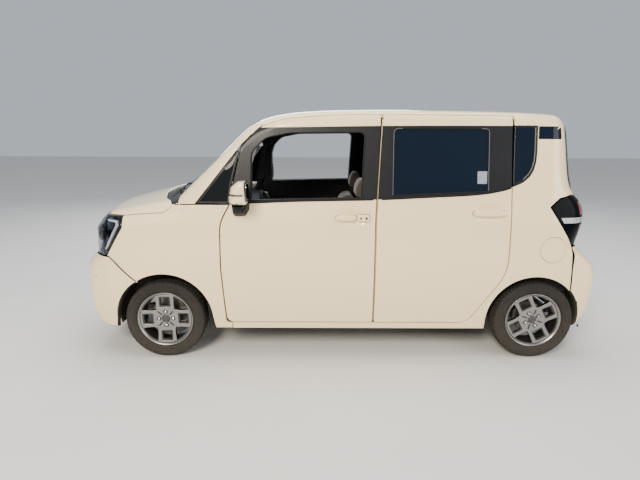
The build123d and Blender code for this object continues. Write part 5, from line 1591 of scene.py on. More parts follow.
# quarter glass behind the rear door, its frame and the block above the pillar
qg = np.vstack([rounded([(-1.0535, 1.5735), (-1.0535, 1.1850), (-1.116, 1.2140, .03), (-1.159, 1.2500, .08), (-1.184, 1.2940, .08), (-1.1985, 1.3520, .12), (-1.2025, 1.4200, .1), (-1.2025, 1.5735)])])
panel(b, SIDE, qg, "pillar_black", holes=[rounded([(-1.0570, 1.5640, .003), (-1.0570, 1.2050, .003), (-1.114, 1.2340, .04), (-1.150, 1.2680, .06), (-1.172, 1.3080, .08), (-1.1835, 1.3600, .1), (-1.1865, 1.4200, .1), (-1.1865, 1.5640, .006)])],
      off=.0016, depth=.012, roll=.0015, step=.02)
panel(b, SIDE, shrink(qg, .006), "glass_dark", off=.0045, depth=.004, roll=.0008, step=.04)
tube(b, SIDE.pos(resample(rounded([(-1.1160, 1.2345), (-1.150, 1.2675, .06), (-1.1725, 1.3080, .08), (-1.1845, 1.3600, .1), (-1.1875, 1.4200, .1), (-1.1875, 1.5640)], closed=False), .012, False), .0010), .0040, "frame_grey", k=8)
tube(b, SIDE.pos(resample(np.array([(-1.0556, 1.206), (-1.0556, 1.565)]), .012, False), .0006), .0013, "frame_grey", k=6)
blk = rounded([(-1.2110, 1.4920, .006), (-1.2110, 1.5705, .006), (-1.3610, 1.5705, .006), (-1.3685, 1.4920, .006)])
panel(b, SIDE, blk, "glass_dark", off=.0012, depth=.012, roll=.0015, step=.02)
b.both()
b.join(gl_r)
b.object("side_glass_fixed", "body", "fixed_side_glass", slot="dark_glass")

# =====================================================================
# mirrors and handles
# =====================================================================
b = Build()
sec0 = even(rounded([(.777, 1.1040, .020), (.776, 1.1350, .06), (.760, 1.1960, .030), (.716, 1.2300, .030), (.664, 1.2340, .016), (.655, 1.1000, .012), (.664, 1.0890, .010), (.766, 1.0890, .014)], .006), 56)
cen = np.array([.715, 1.160])
stations = [(.842, .62), (.846, .80), (.856, .93), (.872, .995), (.900, 1.01), (.930, 1.00), (.955, .975), (.971, .93), (.980, .84), (.9842, .70), (.9850, .50)]
V = []
for y, k in stations:
    q = cen + (sec0 - cen) * k
    q[:, 0] = q[:, 0] - .030 * ((y - .86) / .12) ** 2 * (q[:, 0] > .66) * (q[:, 0] - .655) / .12
    V.append(np.stack([q[:, 0], np.full(len(q), y), q[:, 1]], 1))
V = np.array(V)
grid(b, V, "paint_cream", cj=True, crease=60, sign=-1)
fan(b, V[0], V[0].mean(0), (0, -1, 0), "trim_black")
fan(b, V[-1], V[-1].mean(0), (0, 1, 0), "paint_cream")
# indicator strip, lower dark edge and mirror glass
for z0, hw in ((1.1520, .0062), (1.0975, .0036)):
    pts_ = []
    for i, (y, k) in enumerate(stations[1:]):
        ring = V[i + 1]
        front_side = ring[ring[:, 0] > .70]
        j = np.argmin(np.abs(front_side[:, 2] - z0))
        pts_.append(front_side[j])
    outer_ring = V[-1]
    xs = np.linspace(outer_ring[:, 0].max(), outer_ring[:, 0].min(), 10)
    tail = [(x, .9800, z0) for x in np.linspace(pts_[-1][0] - .004, .672, 12)]
    P = resample(np.array([(p[0] + .0006, min(p[1], .9846), z0) for p in pts_] + [(x, .9846, z0) for x, _, _ in tail]), .006, False)[::-1]
    sweep(b, P, [(-.003, -hw), (.0006, -hw), (.0010, 0), (.0006, hw), (-.003, hw)], "gloss_black", up=(0, 0, 1))
ms = Flat(lambda u, v: np.zeros(len(u)), lambda uv: np.stack([np.full(len(uv), .0) + .6545, uv[:, 0], uv[:, 1]], 1), (-1, 0, 0))
gm = rounded([(.858, 1.108, .02), (.972, 1.108, .03), (.970, 1.222, .03), (.858, 1.222, .02)], .01)
panel(b, ms, shrink(gm, -.006), "trim_black", off=.001, depth=.010, roll=.002, step=.02)
panel(b, ms, gm, "mirror", off=-.0006, depth=.0016, roll=.0006, step=.03)
# foot on the door
fr = [(.778, 1.0740), (.770, 1.0000), (.758, .9900), (.690, .9920), (.664, 1.0330), (.662, 1.0740)]
f0 = even(rounded([(u, v, .008) for u, v in fr], .006), 48)
V = []
base3 = SIDE.pos(f0, .004)
for t in np.linspace(0, 1, 9):
    k = 1 - .18 * t
    c2 = f0.mean(0)
    q = c2 + (f0 - c2) * k
    y = base3[:, 1] * (1 - t) + t * np.full(len(q), .845)
    zz = q[:, 1] + t * .020
    V.append(np.stack([q[:, 0], y, zz], 1))
grid(b, np.array(V), "trim_black", cj=True, crease=50, sign=1)
fan(b, V[-1], V[-1].mean(0), (0, 1, 0), "trim_black")
arm0, arm1 = [], []
for t in np.linspace(0, 1, 7):
    y = .828 + .05 * t
    q = even(rounded([(.686, 1.045 + .02 * t, .01), (.686, 1.098, .01), (.756, 1.098, .01), (.756, 1.045 + .02 * t, .01)], .006), 32)
    arm0.append(np.stack([q[:, 0], np.full(32, y), q[:, 1]], 1))
grid(b, np.array(arm0), "trim_black", cj=True, crease=50, sign=1)
b.object("mirror_left_shell", "left_front_door", "door_mirror_left", slot="body_paint")
b.mirrored().object("mirror_right_shell", "right_front_door", "door_mirror_right", slot="body_paint")


def handle(x0, x1, zc, lock):
    """Pull handle that stands off the door on two feet, over a cup pressed into the skin."""
    b = Build()
    n = 44
    V = []
    xl = x0
    if lock:
        x0 = x0 + .088
    xs = np.linspace(x0, x1, n)
    base = SIDE.pos(np.stack([xs, np.full(n, zc)], 1))[:, 1]
    skin = float(HALF(zc))
    for i, x in enumerate(xs):
        t = min(x - x0, x1 - x)
        k = math.sqrt(max(0.0, 1 - max(0, 1 - t / .014) ** 2))
        k = max(k, .05)
        stand = .033 - .010 * math.exp(-(min(x - x0, x1 - x) / .030) ** 2)
        loop = se_loop(24, 2.8)
        h, d = (.0160 + .0020 * math.sin((x - x0) / (x1 - x0) * math.pi)) * k, .0085 * k
        y = skin + stand - .0095 + loop[:, 0] * d
        V.append(np.stack([np.full(24, x), y, zc + loop[:, 1] * h], 1))
    grid(b, np.array(V), "paint_cream", cj=True, crease=60, sign=-1)
    for c in ((x0 + .018), (x1 - .016)):
        V = []
        for t in np.linspace(0, 1, 6):
            loop = se_loop(24, 3)
            V.append(np.stack([c + loop[:, 0] * (.0155 - .002 * t), np.full(24, skin - .004 + t * .022), zc + loop[:, 1] * (.0125 - .001 * t)], 1))
        grid(b, np.array(V), "paint_cream", cj=True, crease=60, sign=1)
    if lock:
        # fixed cap at the rear end, with its button and key hole
        x0 = xl
        V = []
        xa, xb = x0 - .002, x0 + .082
        for x in np.linspace(xa, xb, 26):
            t = min(x - xa, xb - x)
            k = max(.06, math.sqrt(max(0.0, 1 - max(0, 1 - t / .010) ** 2)))
            loop = se_loop(24, 3.6)
            V.append(np.stack([np.full(24, x), skin + .0150 + loop[:, 0] * .0150 * k, zc + .0005 + loop[:, 1] * .0205 * k], 1))
        grid(b, np.array(V), "paint_cream", cj=True, crease=60, sign=-1)
        for cx, r, mt in ((x0 + .022, .0070, "gloss_black"), (x0 + .058, .0055, "gloss_black")):
            lathe(b, [(r + .0016, .0), (r + .0014, .0012), (r, .0014), (r * .95, .0006), (r * .3, .0004), (.0, .0004)], mt, c=(cx, skin + .0296, zc + .001), seg=24, sharp=.7)
        # thin dark rubber ring round the cap: a painted shadow of the gap around it
        ring = np.array([((xa + xb) / 2 + q[0] * ((xb - xa) / 2 + .0012), zc + .0005 + q[1] * .0218) for q in se_loop(60, 4.5)])
        tube(b, SIDE.pos(ring, .0002), .0016, "rubber", k=6, closed=True)
    # thin dark rubber rings round the feet: painted shadows of the gaps at the skin
    for c in ((x1 - .016), (xl + .108 if lock else xl + .018)):
        ring = np.array([(c + q[0] * .0172, zc + q[1] * .0142) for q in se_loop(36, 3)])
        P = np.stack([ring[:, 0], np.full(36, 0.0), ring[:, 1]], 1)
        P[:, 1] = SIDE.pos(ring, .0)[:, 1]
        tube(b, P, .0014, "rubber", k=6, closed=True)
    return b


for tag, x0, x1, zc, body, rb in (("front", -.120, .104, .984, "left_front_door", "right_front_door"), ("rear", -1.016, -.795, 1.016, "left_rear_door", "body")):
    h = handle(x0, x1, zc, tag == "front")
    h.object(f"{tag}_handle_left_grip", body, f"{tag}_door_handle_left", slot="body_paint")
    h.mirrored().object(f"{tag}_handle_right_grip", rb, f"{tag}_door_handle_right", slot="body_paint")

# fuel flap, left quarter
b = Build()
fc = np.array([(-1.342 + .0855 * math.cos(t), .773 + .0855 * math.sin(t)) for t in np.linspace(0, 2 * math.pi, 72, endpoint=False)])
panel(b, SIDE, fc, "paint_cream", depth=.010, roll=.0022, step=.014, inner_mat="paint_inner")
b.object("fuel_flap_skin", "fuel_flap_body", "fuel_flap", slot="body_paint")
print("side parts", flush=True)

# =====================================================================
# wheel arch liners and door frames
# =====================================================================
b = Build()
for cx, cz, r, a0, a1, yin in ((1.257, .276, .334, -10, 190, .452), (-1.252, .270, .330, -10, 190, .600)):
    ang = np.radians(np.linspace(a0, a1, 60))
    rows = []
    for t in ang:
        x, z = cx + r * math.cos(t), cz + r * math.sin(t)
        ye = float(HALF(max(z, .12))) - .030 - (float(PLAN_F(x)) if x > 1.2 else 0) - (float(PLAN_R(-x)) if x < -1.2 else 0)
        rows.append([(x, y, z) for y in np.linspace(yin, ye, 7)])
    V = np.array(rows)
    grid(b, V, "liner", sign=1)
    V2 = V.copy()
    rr = np.stack([np.cos(ang), np.zeros(60), np.sin(ang)], 1)[:, None, :] * .004
    grid(b, V2 + rr, "liner", sign=-1)
    # return lip behind the painted edge
    lip = []
    for i, t in enumerate(ang):
        p = V[i, -1]
        q = np.array([cx + (r - .010) * math.cos(t), p[1] + .004, cz + (r - .010) * math.sin(t)])
        lip.append([p, q])
    grid(b, np.array(lip), "liner", sign=1)
    for t in ang[4::9]:
        for y in (yin + .06, yin + .16):
            c = np.array([cx + (r - .001) * math.cos(t), y, cz + (r - .001) * math.sin(t)])
            nn = -np.array([math.cos(t), 0, math.sin(t)])
            t1, t2 = np.array([0, 1.0, 0]), np.cross(nn, [0, 1.0, 0])
            V = np.stack([[c + (t1 * math.cos(q) + t2 * math.sin(q)) * rr_ + nn * h for rr_, h in ((.010, 0), (.010, .0015), (.006, .003), (.0003, .0032))] for q in np.linspace(0, 2 * math.pi, 14, endpoint=False)])
            grid(b, V, "rubber", ci=True, sign=-1)
for cx, cz, r, a0, a1 in ((1.257, .276, .3215, 178, -1), (-1.252, .270, .3175, 179, 2)):
    loops = []
    for t in np.radians(np.linspace(a0, a1, 72)):
        g_ = .015 * max(0.0, 1 - math.degrees(t) / 56) if cx > 0 else 0.0
        row = np.array([(cx + q * math.cos(t), cz + q * math.sin(t)) for q in (r + g_ - .0016, r + g_ + .0006)])
        lo, hi = SIDE.pos(row, .0036), SIDE.pos(row, .0300)
        loops.append(np.array([lo[0], hi[0], hi[1], lo[1]]))
    V = np.array(loops)
    grid(b, V, "liner", cj=True, crease=30, sign=1)
    fan(b, V[0], V[0].mean(0), (0, 0, -1), "liner")
    fan(b, V[-1], V[-1].mean(0), (0, 0, -1), "liner")
b.both().object("arch_liners", "body", slot="rough_plastic")

b = Build()
for rows in (FRONT_DOOR, REAR_DOOR):
    out, inn = shrink(rounded(rows, .024), -.006), shrink(rounded(rows, .024), .044)
    # the frame's edge walls are black, painted shade that makes the shut lines in front of them read dark
    panel(b, SIDE, out, "paint_cream", holes=[inn], off=.040, depth=.048, roll=.004, step=.02, inner_mat="trim_black", rim_mat="trim_black")
    tube(b, SIDE.pos(resample(shrink(rounded(rows, .024), .040), .026), .0385), .0055, "rubber", k=6, closed=True)
b.both().object("door_frames", "body", slot="body_paint")


# =====================================================================
# tailgate glass, wiper, plate and lamps
# =====================================================================
b = Build()
gg = shrink(GATE_GLASS, .0040)
panel(b, BACK, gg, "glass_dark", off=.0050, depth=.004, roll=.001, step=.04)
tube(b, BACK.pos(resample(shrink(GATE_GLASS, .0018), .014), .0045), .0034, "rubber", k=8, closed=True)
panel(b, BACK, shrink(gg, .002), "gloss_black", holes=[shrink(gg, .040)], off=.0094, depth=.0010, roll=.0003, step=.03)
for k in range(9):
    z = 1.235 + k * .034
    P = BACK.pos(np.array([(y, z) for y in np.linspace(-.500, .500, 24)]), .0098)
    tube(b, P, .0006, "exhaust_metal", k=4)
b.object("tailgate_pane", "tailgate_body", "tailgate_glass", slot="dark_glass")

b = Build()
piv = np.array([.0, 1.158])
blade = np.array([(y, 1.196 + .006 * abs(y) / .3) for y in np.linspace(-.330, .060, 30)])
P = BACK.pos(blade, -.0080)
sweep(b, P, [(-.005, -.004), (.005, -.004), (.0035, .004), (0, .006), (-.0035, .004)], "trim_black", up=(-1, 0, .12))
P = BACK.pos(blade, -.0022)
sweep(b, P, [(-.0012, -.0035), (.0012, -.0035), (.0026, .004), (-.0026, .004)], "rubber", up=(-1, 0, .12))
arm = np.array([piv + (np.array([-.150, 1.199]) - piv) * t for t in np.linspace(0, 1, 14)])
P = np.array([BACK.pos(arm[i:i + 1], -.012 - .010 * math.sin(math.pi * i / 13))[0] for i in range(14)])
sweep(b, P, [(-.009, -.003), (.009, -.003), (.007, .003), (-.007, .003)], "trim_black", up=(-1, 0, .12))
c = BACK.pos(piv[None], 0)[0]
nn = gradient(c[None])[0]
t1 = np.array([0, 1.0, 0])
t2 = np.cross(nn, t1)


def button(b, c, nn, rows, mat, seg=28, sq=2.0):
    """Rows (radius, height) turned about nn at c."""
    nn = np.asarray(nn, float) / np.linalg.norm(nn)
    t1 = np.cross(nn, [0, 0, 1.0] if abs(nn[2]) < .9 else [1.0, 0, 0])
    t1 /= np.linalg.norm(t1)
    t2 = np.cross(nn, t1)
    a = np.linspace(0, 2 * math.pi, seg, endpoint=False)
    V = np.stack([[c + (t1 * math.cos(t) + t2 * math.sin(t)) * r + nn * h for r, h in rows] for t in a])
    return grid(b, V, mat, ci=True, sign=1)


button(b, c, nn, [(.026, -.006), (.026, .004), (.022, .010), (.016, .020), (.010, .024), (.0003, .025)], "trim_black")
# garnish with the handle and lamps over the blank plate
gz = .9430
ga = rounded([(-.260, gz - .024, .012), (.260, gz - .024, .012), (.272, gz + .022, .016), (-.272, gz + .022, .016)], .01)
panel(b, BACK, ga, "gloss_black", off=-.010, depth=.016, roll=.006, step=.02)
hg_ = rounded([(-.085, gz - .0245, .006), (.085, gz - .0245, .006), (.080, gz - .008, .006), (-.080, gz - .008, .006)], .01)
panel(b, BACK, hg_, "rubber", off=-.0106, depth=.002, roll=.0008, step=.02)
for y in (-.170, .170):
    lp = rounded([(y - .022, gz - .0225, .004), (y + .022, gz - .0225, .004), (y + .020, gz - .010, .004), (y - .020, gz - .010, .004)], .006)
    panel(b, BACK, lp, "lamp_white", off=-.0108, depth=.002, roll=.0008, step=.02)
rec = rounded([(-.205, .7450, .014), (.205, .7450, .014), (.205, .9120, .014), (-.205, .9120, .014)], .012)
panel(b, BACK, rec, "trim_black", off=-.0016, depth=.006, roll=.0025, step=.03)
for sy in (1, -1):
    zz = np.linspace(1.150, 1.590, 40)
    yy = np.interp(zz, [1.15, 1.56, 1.60], [.6260, .5900, .5870])
    P = BACK.pos(np.stack([sy * yy, zz], 1), .0)
    e = np.clip(np.minimum(zz - 1.150, 1.590 - zz) / .05, 0, 1) ** .5
    P[:, 0] -= .006 * e
    loops = []
    for i in range(40):
        nn = gradient(P[i:i + 1])[0]
        t_ = np.cross(nn, [0, 0, 1.0])
        t_ /= np.linalg.norm(t_)
        q = se_loop(20, 3) * [.011, .010 * max(e[i], .15)]
        loops.append(P[i] + np.outer(q[:, 0], t_) + np.outer(q[:, 1], nn))
    V = np.array(loops)
    grid(b, V, "gloss_black", cj=True, sign=1)
    fan(b, V[0], V[0].mean(0), (0, 0, -1), "gloss_black")
    fan(b, V[-1], V[-1].mean(0), (0, 0, 1), "gloss_black")
b.object("tailgate_trim", "tailgate_body", slot="black_trim")
b = Build()
x0 = float(BACK.pos(np.array([(0.0, .83)]))[0, 0])
x1_ = float(BACK.pos(np.array([(0.0, .76)]))[0, 0])
xm = min(x0, x1_, float(BACK.pos(np.array([(0.0, .90)]))[0, 0])) - .0050
plr = Flat(lambda u, v: np.zeros(len(u)), lambda uv: np.stack([np.full(len(uv), xm), uv[:, 0], uv[:, 1]], 1), (-1, 0, 0))
panel(b, plr, rounded([(-.1675, .7530, .008), (.1675, .7530, .008), (.1675, .9060, .008), (-.1675, .9060, .008)], .02), "plate_white", depth=.0016, roll=.0006, step=.05)
P = plr.pos(rounded([(-.1625, .7580, .006), (.1625, .7580, .006), (.1625, .9010, .006), (-.1625, .9010, .006)], .015), -.0004)
tube(b, P, .0010, "alloy_dark", k=6, closed=True)
for y in (-.105, .105):
    button(b, np.array([xm, y, .888]), (-1, 0, 0), [(.0060, -.001), (.0058, .0012), (.0040, .0024), (.0002, .0026)], "chrome", 14)
b.object("rear_plate_blank", "tailgate_body", slot="black_trim")
b = Build()
sl = rounded([(-.150, 1.6010, .006), (.150, 1.6010, .006), (.142, 1.6160, .006), (-.142, 1.6160, .006)], .01)
panel(b, BACK, sl, "lens_red", off=-.0018, depth=.010, roll=.0022, step=.02)
for k in range(15):
    y = -.135 + k * .0193
    P = BACK.pos(np.array([(y, 1.6030), (y, 1.6085), (y, 1.6140)]), -.0018)
    tube(b, P, .0006, "lens_smoke", k=5)
b.object("stop_lamp_high", "tailgate_body", slot="tail_lamp")

# rear bumper: sensors, reflectors, lower valance, tow cover
b = Build()
for sy in (1, -1):
    for y, z in ((.20, .505), (.50, .505)):
        p = BACK.pos(np.array([(sy * y, z)]))
        nn = gradient(p)[0]
        button(b, p[0], nn, [(.0105, -.002), (.0105, .0010), (.0096, .0014)], "trim_black")
        button(b, p[0], nn, [(.0092, .0), (.0090, .0014), (.0002, .0018)], "paint_cream")
b.object("parking_sensors_rear", "body", slot="body_paint")
b = Build()
for sy in (1, -1):
    rf = rounded([(sy * .455, .362, .006), (sy * .580, .366, .006), (sy * .580, .392, .006), (sy * .455, .388, .006)], .008)
    panel(b, BACK, shrink(rf, -.004) if area(rf) > 0 else shrink(rf[::-1], -.004), "trim_black", off=-.0010, depth=.006, roll=.002, step=.02)
    panel(b, BACK, rf, "lens_red", off=-.0022, depth=.004, roll=.0014, step=.015)
va = rounded([(-.430, .2180, .01), (.430, .2180, .01), (.400, .3180, .03), (-.400, .3180, .03)], .012)
panel(b, BACK, va, "trim_black", off=-.0020, depth=.010, roll=.004, step=.03)
for z in (.240, .258, .276, .294):
    w = np.interp(z, [.218, .318], [.405, .375])
    P = BACK.pos(np.array([(y, z) for y in np.linspace(-w, w, 40)]), -.0030)
    sweep(b, P, [(-.002, -.004), (.003, -.003), (.004, 0), (.003, .003), (-.002, .004)], "trim_black", up=(0, 0, 1))
tc = rounded([(-.385, .408, .008), (-.325, .408, .008), (-.325, .458, .008), (-.385, .458, .008)], .006)
tube(b, BACK.pos(tc, .0004), .0012, "rubber", k=6, closed=True)
b.object("rear_valance", "body", slot="black_trim")

# rail groove for the sliding door, on the right quarter only
b = Build()
rail = rounded([(-1.062, .9060, .006), (-1.062, .9340, .006), (-1.340, .9340, .012), (-1.340, .9060, .012)], .01)
panel(b, SIDE, rail, "trim_black", off=-.0006, depth=.006, roll=.0012, step=.02)
P = SIDE.pos(np.array([(x, .920) for x in np.linspace(-1.068, -1.330, 24)]), .0002)
sweep(b, P, [(-.002, -.005), (.0016, -.005), (.0016, .005), (-.002, .005)], "alloy_dark", up=(0, 0, 1))
b.mirrored().object("sliding_door_rail", "body", slot="black_trim")
# small jacking mark on the sill
b = Build()
P = SIDE.pos(np.array([(.800, .2080), (.800, .2250), (.800, .2430)]), .0)
tube(b, P, .0012, "rubber", k=6)
b.both().object("sill_trim", "body", slot="black_trim")
print("rear parts", flush=True)

# =====================================================================
# cabin
# =====================================================================
def loft(b, loops, mat, crease=50, sign=1, caps=True):
    """Closed loops of 3-D points, each with the same count, joined into a closed form."""
    V = np.array(loops)
    grid(b, V, mat, cj=True, crease=crease, sign=sign)
    if caps:
        for i, j in ((0, 1), (-1, -2)):
            n = V[i].mean(0) - V[j].mean(0)
            n /= max(np.linalg.norm(n), 1e-9)
            fan(b, V[i], V[i].mean(0), n, mat)
    return b


def loft_y(b, rows, ys, mat, k=90, warp=None, crease=45):
    """An (x, z) outline carried across ys; its ends are rounded in."""
    base = even(rounded(rows, .006), k)
    if area(base) < 0:
        base = base[::-1]
    loops = []
    y0, y1 = ys[0], ys[-1]
    r = .012
    for y in ys:
        e = min(abs(y - y0), abs(y1 - y))
        d = r * (1 - math.sqrt(max(0, 1 - (1 - min(e / r, 1)) ** 2)))
        q = base + inward(base) * d
        P = np.stack([q[:, 0], np.full(k, y), q[:, 1]], 1)
        if warp is not None:
            P = warp(P)
        loops.append(P)
    return loft(b, loops, mat, crease=crease)


def span(y0, y1, n):
    e = [0, .0016, .005, .012]
    s = 1 if y1 > y0 else -1
    return np.concatenate([[y0 + s * q for q in e], np.linspace(y0 + s * .03, y1 - s * .03, n), [y1 - s * q for q in e[::-1]]])


b = Build()
main = [(.948, 1.030, .004), (.775, 1.032, .05), (.668, .975, .035), (.672, .940, .012), (.715, .928, .010), (.716, .868, .012), (.690, .858, .010), (.704, .770, .03), (.760, .660, .04), (.870, .625, .04), (.948, .625, .004)]


def dash_warp(P):
    x, y, z = P[:, 0].copy(), P[:, 1], P[:, 2]
    k = np.exp(-((y - .345) / .125) ** 4)
    z2 = z + .016 * k * np.clip((z - .93) / .06, 0, 1) * np.clip((.88 - x) / .10, 0, 1)
    x2 = x - .022 * k * np.clip((z - .90) / .08, 0, 1) * np.clip((.80 - x) / .10, 0, 1)
    x2 = x2 + .020 * np.clip((np.abs(y) - .50) / .14, 0, 1) ** 2 * np.clip((.80 - x) / .1, 0, 1)
    return np.stack([x2, y, z2], 1)


loft_y(b, main, span(-.632, .632, 60), "dash_black", k=110, warp=dash_warp)
# soft strip along the tray's upper edge
P = np.array([(.6700 + .020 * max(0, (abs(y) - .50) / .14) ** 2, y, .9440) for y in np.linspace(-.60, .215, 60)])
sweep(b, P, [(-.006, -.006), (.004, -.007), (.006, 0), (.004, .007), (-.006, .006)], "trim_grey", up=(0, 0, 1))
# instrument panel in the hood over the column
inst = Flat(lambda u, v: -.012 * np.clip(1 - (np.abs(u - .345) / .11) ** 2, 0, 1), lambda uv: np.stack([.6660 + (uv[:, 1] - .985) * .35, uv[:, 0], uv[:, 1]], 1), (-1, 0, .18))
ic = rounded([(.240, .9560, .02), (.450, .9560, .02), (.440, 1.0220, .03), (.250, 1.0220, .03)], .008)
panel(b, inst, ic, "screen", off=.002, depth=.012, roll=.003, step=.015)
tube(b, inst.pos(ic, -.0002), .0036, "gloss_black", k=8, closed=True)
# centre screen, vents, knobs, lever
block(b, (.630, -.128, .898), (.668, .128, 1.034), .010, "gloss_black", seg=3)
scr = Flat(lambda u, v: np.zeros(len(u)), lambda uv: np.stack([np.full(len(uv), .6296), uv[:, 0], uv[:, 1]], 1), (-1, 0, 0))
panel(b, scr, rounded([(-.118, .9120, .006), (.118, .9120, .006), (.118, 1.0250, .006), (-.118, 1.0250, .006)], .01), "screen", depth=.003, roll=.0008, step=.02)


def vent(b, y, z, w, h, x=.676):
    rows = rounded([(y - w, z - h, .010), (y + w, z - h, .010), (y + w, z + h, .010), (y - w, z + h, .010)], .006)
    fl_ = Flat(lambda u, v: np.zeros(len(u)), lambda uv: np.stack([np.full(len(uv), x), uv[:, 0], uv[:, 1]], 1), (-1, 0, 0))
    panel(b, fl_, rows, "gloss_black", holes=[shrink(rows, .007)], off=-.004, depth=.030, roll=.002, step=.02)
    panel(b, fl_, shrink(rows, .004), "trim_black", off=.018, depth=.004, roll=.001, step=.03)
    for k in range(4):
        zz = z - h + .010 + k * (2 * h - .020) / 3
        block(b, (x + .001, y - w + .006, zz - .0012), (x + .013, y + w - .006, zz + .0012), .0008, "trim_black", seg=1)
    block(b, (x - .003, y - .006, z - .006), (x + .006, y + .006, z + .006), .002, "gloss_black", seg=1)


vent(b, -.190, .985, .050, .026, .672)
vent(b, .185, .985, .038, .026, .660)
vent(b, -.570, .975, .040, .030, .688)
vent(b, .570, .975, .040, .030, .682)
loft_y(b, [(.640, .745, .02), (.700, .862, .02), (.800, .862, .01), (.800, .515, .02), (.625, .515, .03), (.612, .640, .05)], span(-.105, .105, 12), "dash_black", k=70)
for y in (-.066, 0, .066):
    cc = np.array([.6640, y, .8000])
    nn = np.array([-.90, 0, .43])
    button(b, cc, nn, [(.0250, -.006), (.0250, .003), (.0235, .005)], "trim_black", 32)
    button(b, cc, nn, [(.0200, .002), (.0200, .016), (.0180, .020), (.0002, .0205)], "gloss_black", 32)
    button(b, cc, nn, [(.0212, .003), (.0212, .006), (.0202, .007)], "chrome", 32)
lever = np.array([(.640 - .03 * t, .0 - .002 * t, .690 + .075 * t) for t in np.linspace(0, 1, 8)])
tube(b, lever, .0065, "chrome", k=10)
block(b, (.588, -.022, .755), (.632, .018, .812), .017, "dash_black", seg=3)
gate_ = Flat(lambda u, v: np.zeros(len(u)), lambda uv: np.stack([.6180 + (uv[:, 1] - .66) * .25, uv[:, 0], uv[:, 1]], 1), (-1, 0, .25))
panel(b, gate_, rounded([(-.050, .635, .01), (.050, .635, .01), (.050, .730, .01), (-.050, .730, .01)], .008), "gloss_black", off=-.012, depth=.010, roll=.003, step=.015)
# glovebox lid, lower covers
for y0, y1, zl, zh in ((-.590, -.150, .668, .852), (.150, .600, .690, .852)):
    gl_ = rounded([(y0, zl, .02), (y1, zl, .02), (y1, zh, .016), (y0, zh, .016)], .01)
    lid = Flat(lambda u, v: np.zeros(len(u)), lambda uv: np.stack([np.where(uv[:, 1] > .77, .690 + (.858 - uv[:, 1]) * .16, .704 + (.77 - uv[:, 1]) * .51), uv[:, 0], uv[:, 1]], 1), (-1, 0, 0))
    panel(b, lid, gl_, "dash_black", off=-.005, depth=.016, roll=.006, step=.018)
    block(b, ((.684), (y0 + y1) / 2 - .045, .822), (.698, (y0 + y1) / 2 + .045, .836), .004, "gloss_black", seg=2)
# column shroud and stalks
C25 = np.array([-math.cos(math.radians(25)), 0, math.sin(math.radians(25))])
SWC = np.array([.560, .345, .935])
E2 = np.array([math.sin(math.radians(25)), 0, math.cos(math.radians(25))])
loops = []
for t, w, h in ((-.036, .034, .030), (-.040, .044, .040), (-.070, .048, .048), (-.120, .050, .054), (-.175, .046, .050), (-.210, .040, .040)):
    s = se_loop(36, 2.8)
    loops.append(SWC + C25 * t + np.outer(s[:, 0], [0, w, 0]) + np.outer(s[:, 1] * h - .006, E2))
loft(b, loops, "dash_black")
for s in (1, -1):
    a_ = SWC + C25 * -.062 + np.array([0, s * .040, 0]) + E2 * .012
    e_ = SWC + C25 * -.050 + np.array([0, s * .150, 0]) + E2 * .030
    P = np.array([a_ + (e_ - a_) * t for t in np.linspace(0, 1, 8)])
    tube(b, P, .0060, "dash_black", k=10)
    tube(b, np.array([a_ + (e_ - a_) * t for t in np.linspace(.72, 1.02, 6)]), .0088, "dash_black", k=12)
b.object("dash_assembly", "body", "dashboard", slot="dash_plastic")

# steering wheel
b = Build()
W3 = lambda p, q, h: SWC + np.outer(p, [0, 1.0, 0]) + np.outer(q, E2) + np.outer(h, C25)
th = np.linspace(0, 2 * math.pi, 96, endpoint=False)
ph = np.linspace(0, 2 * math.pi, 18, endpoint=False)
V = np.zeros((96, 18, 3))
for i, t in enumerate(th):
    grip = 1 + .10 * (math.exp(-(((t - .45) % (2 * math.pi) - 0) / .22) ** 2) + math.exp(-(((t - math.pi + .45)) / .22) ** 2))
    rr = .182 + .0135 * grip * np.cos(ph)
    V[i] = W3(rr * math.cos(t), rr * math.sin(t), .0150 * grip * np.sin(ph))
grid(b, V, "dash_black", ci=True, cj=True, sign=1)
seam_ = W3((.182 - .0141) * np.cos(th), (.182 - .0141) * np.sin(th), np.full(96, .0))
tube(b, seam_, .0011, "trim_grey", k=5, closed=True)
sp = Flat(lambda u, v: .012 - .020 * np.clip((np.hypot(u, v)) / .17, 0, 1) ** 2, lambda uv: W3(uv[:, 0], uv[:, 1], np.zeros(len(uv))), C25)
spoke = rounded([(-.166, .026, .01), (-.060, .046, .03), (.060, .046, .03), (.166, .026, .01), (.166, -.016, .01), (.070, -.034, .02), (.034, -.080, .02), (.030, -.164, .01), (-.030, -.164, .01), (-.034, -.080, .02), (-.070, -.034, .02), (-.166, -.016, .01)], .006)
panel(b, sp, spoke, "dash_black", off=.004, depth=.014, roll=.004, step=.010)
padr = rounded([(-.064, .050, .030), (.064, .050, .030), (.070, -.020, .03), (.040, -.070, .03), (-.040, -.070, .03), (-.070, -.020, .03)], .005)
panel(b, sp, padr, "dash_black", off=-.018, depth=.030, roll=.009, step=.009)
for s in (1, -1):
    kp = rounded([(s * .082, .024, .006), (s * .128, .018, .006), (s * .128, -.006, .006), (s * .084, -.016, .006)], .004)
    panel(b, sp, kp if area(kp) > 0 else kp[::-1], "gloss_black", off=-.0005, depth=.006, roll=.0014, step=.008)
loft(b, [W3(r * np.cos(ph), r * np.sin(ph), np.full(18, h)) for r, h in ((.040, -.030), (.052, -.026), (.054, -.006), (.050, .004))], "dash_black")
b.object("steering_wheel_rim", "steering_wheel_body", "steering_wheel", slot="dash_plastic")

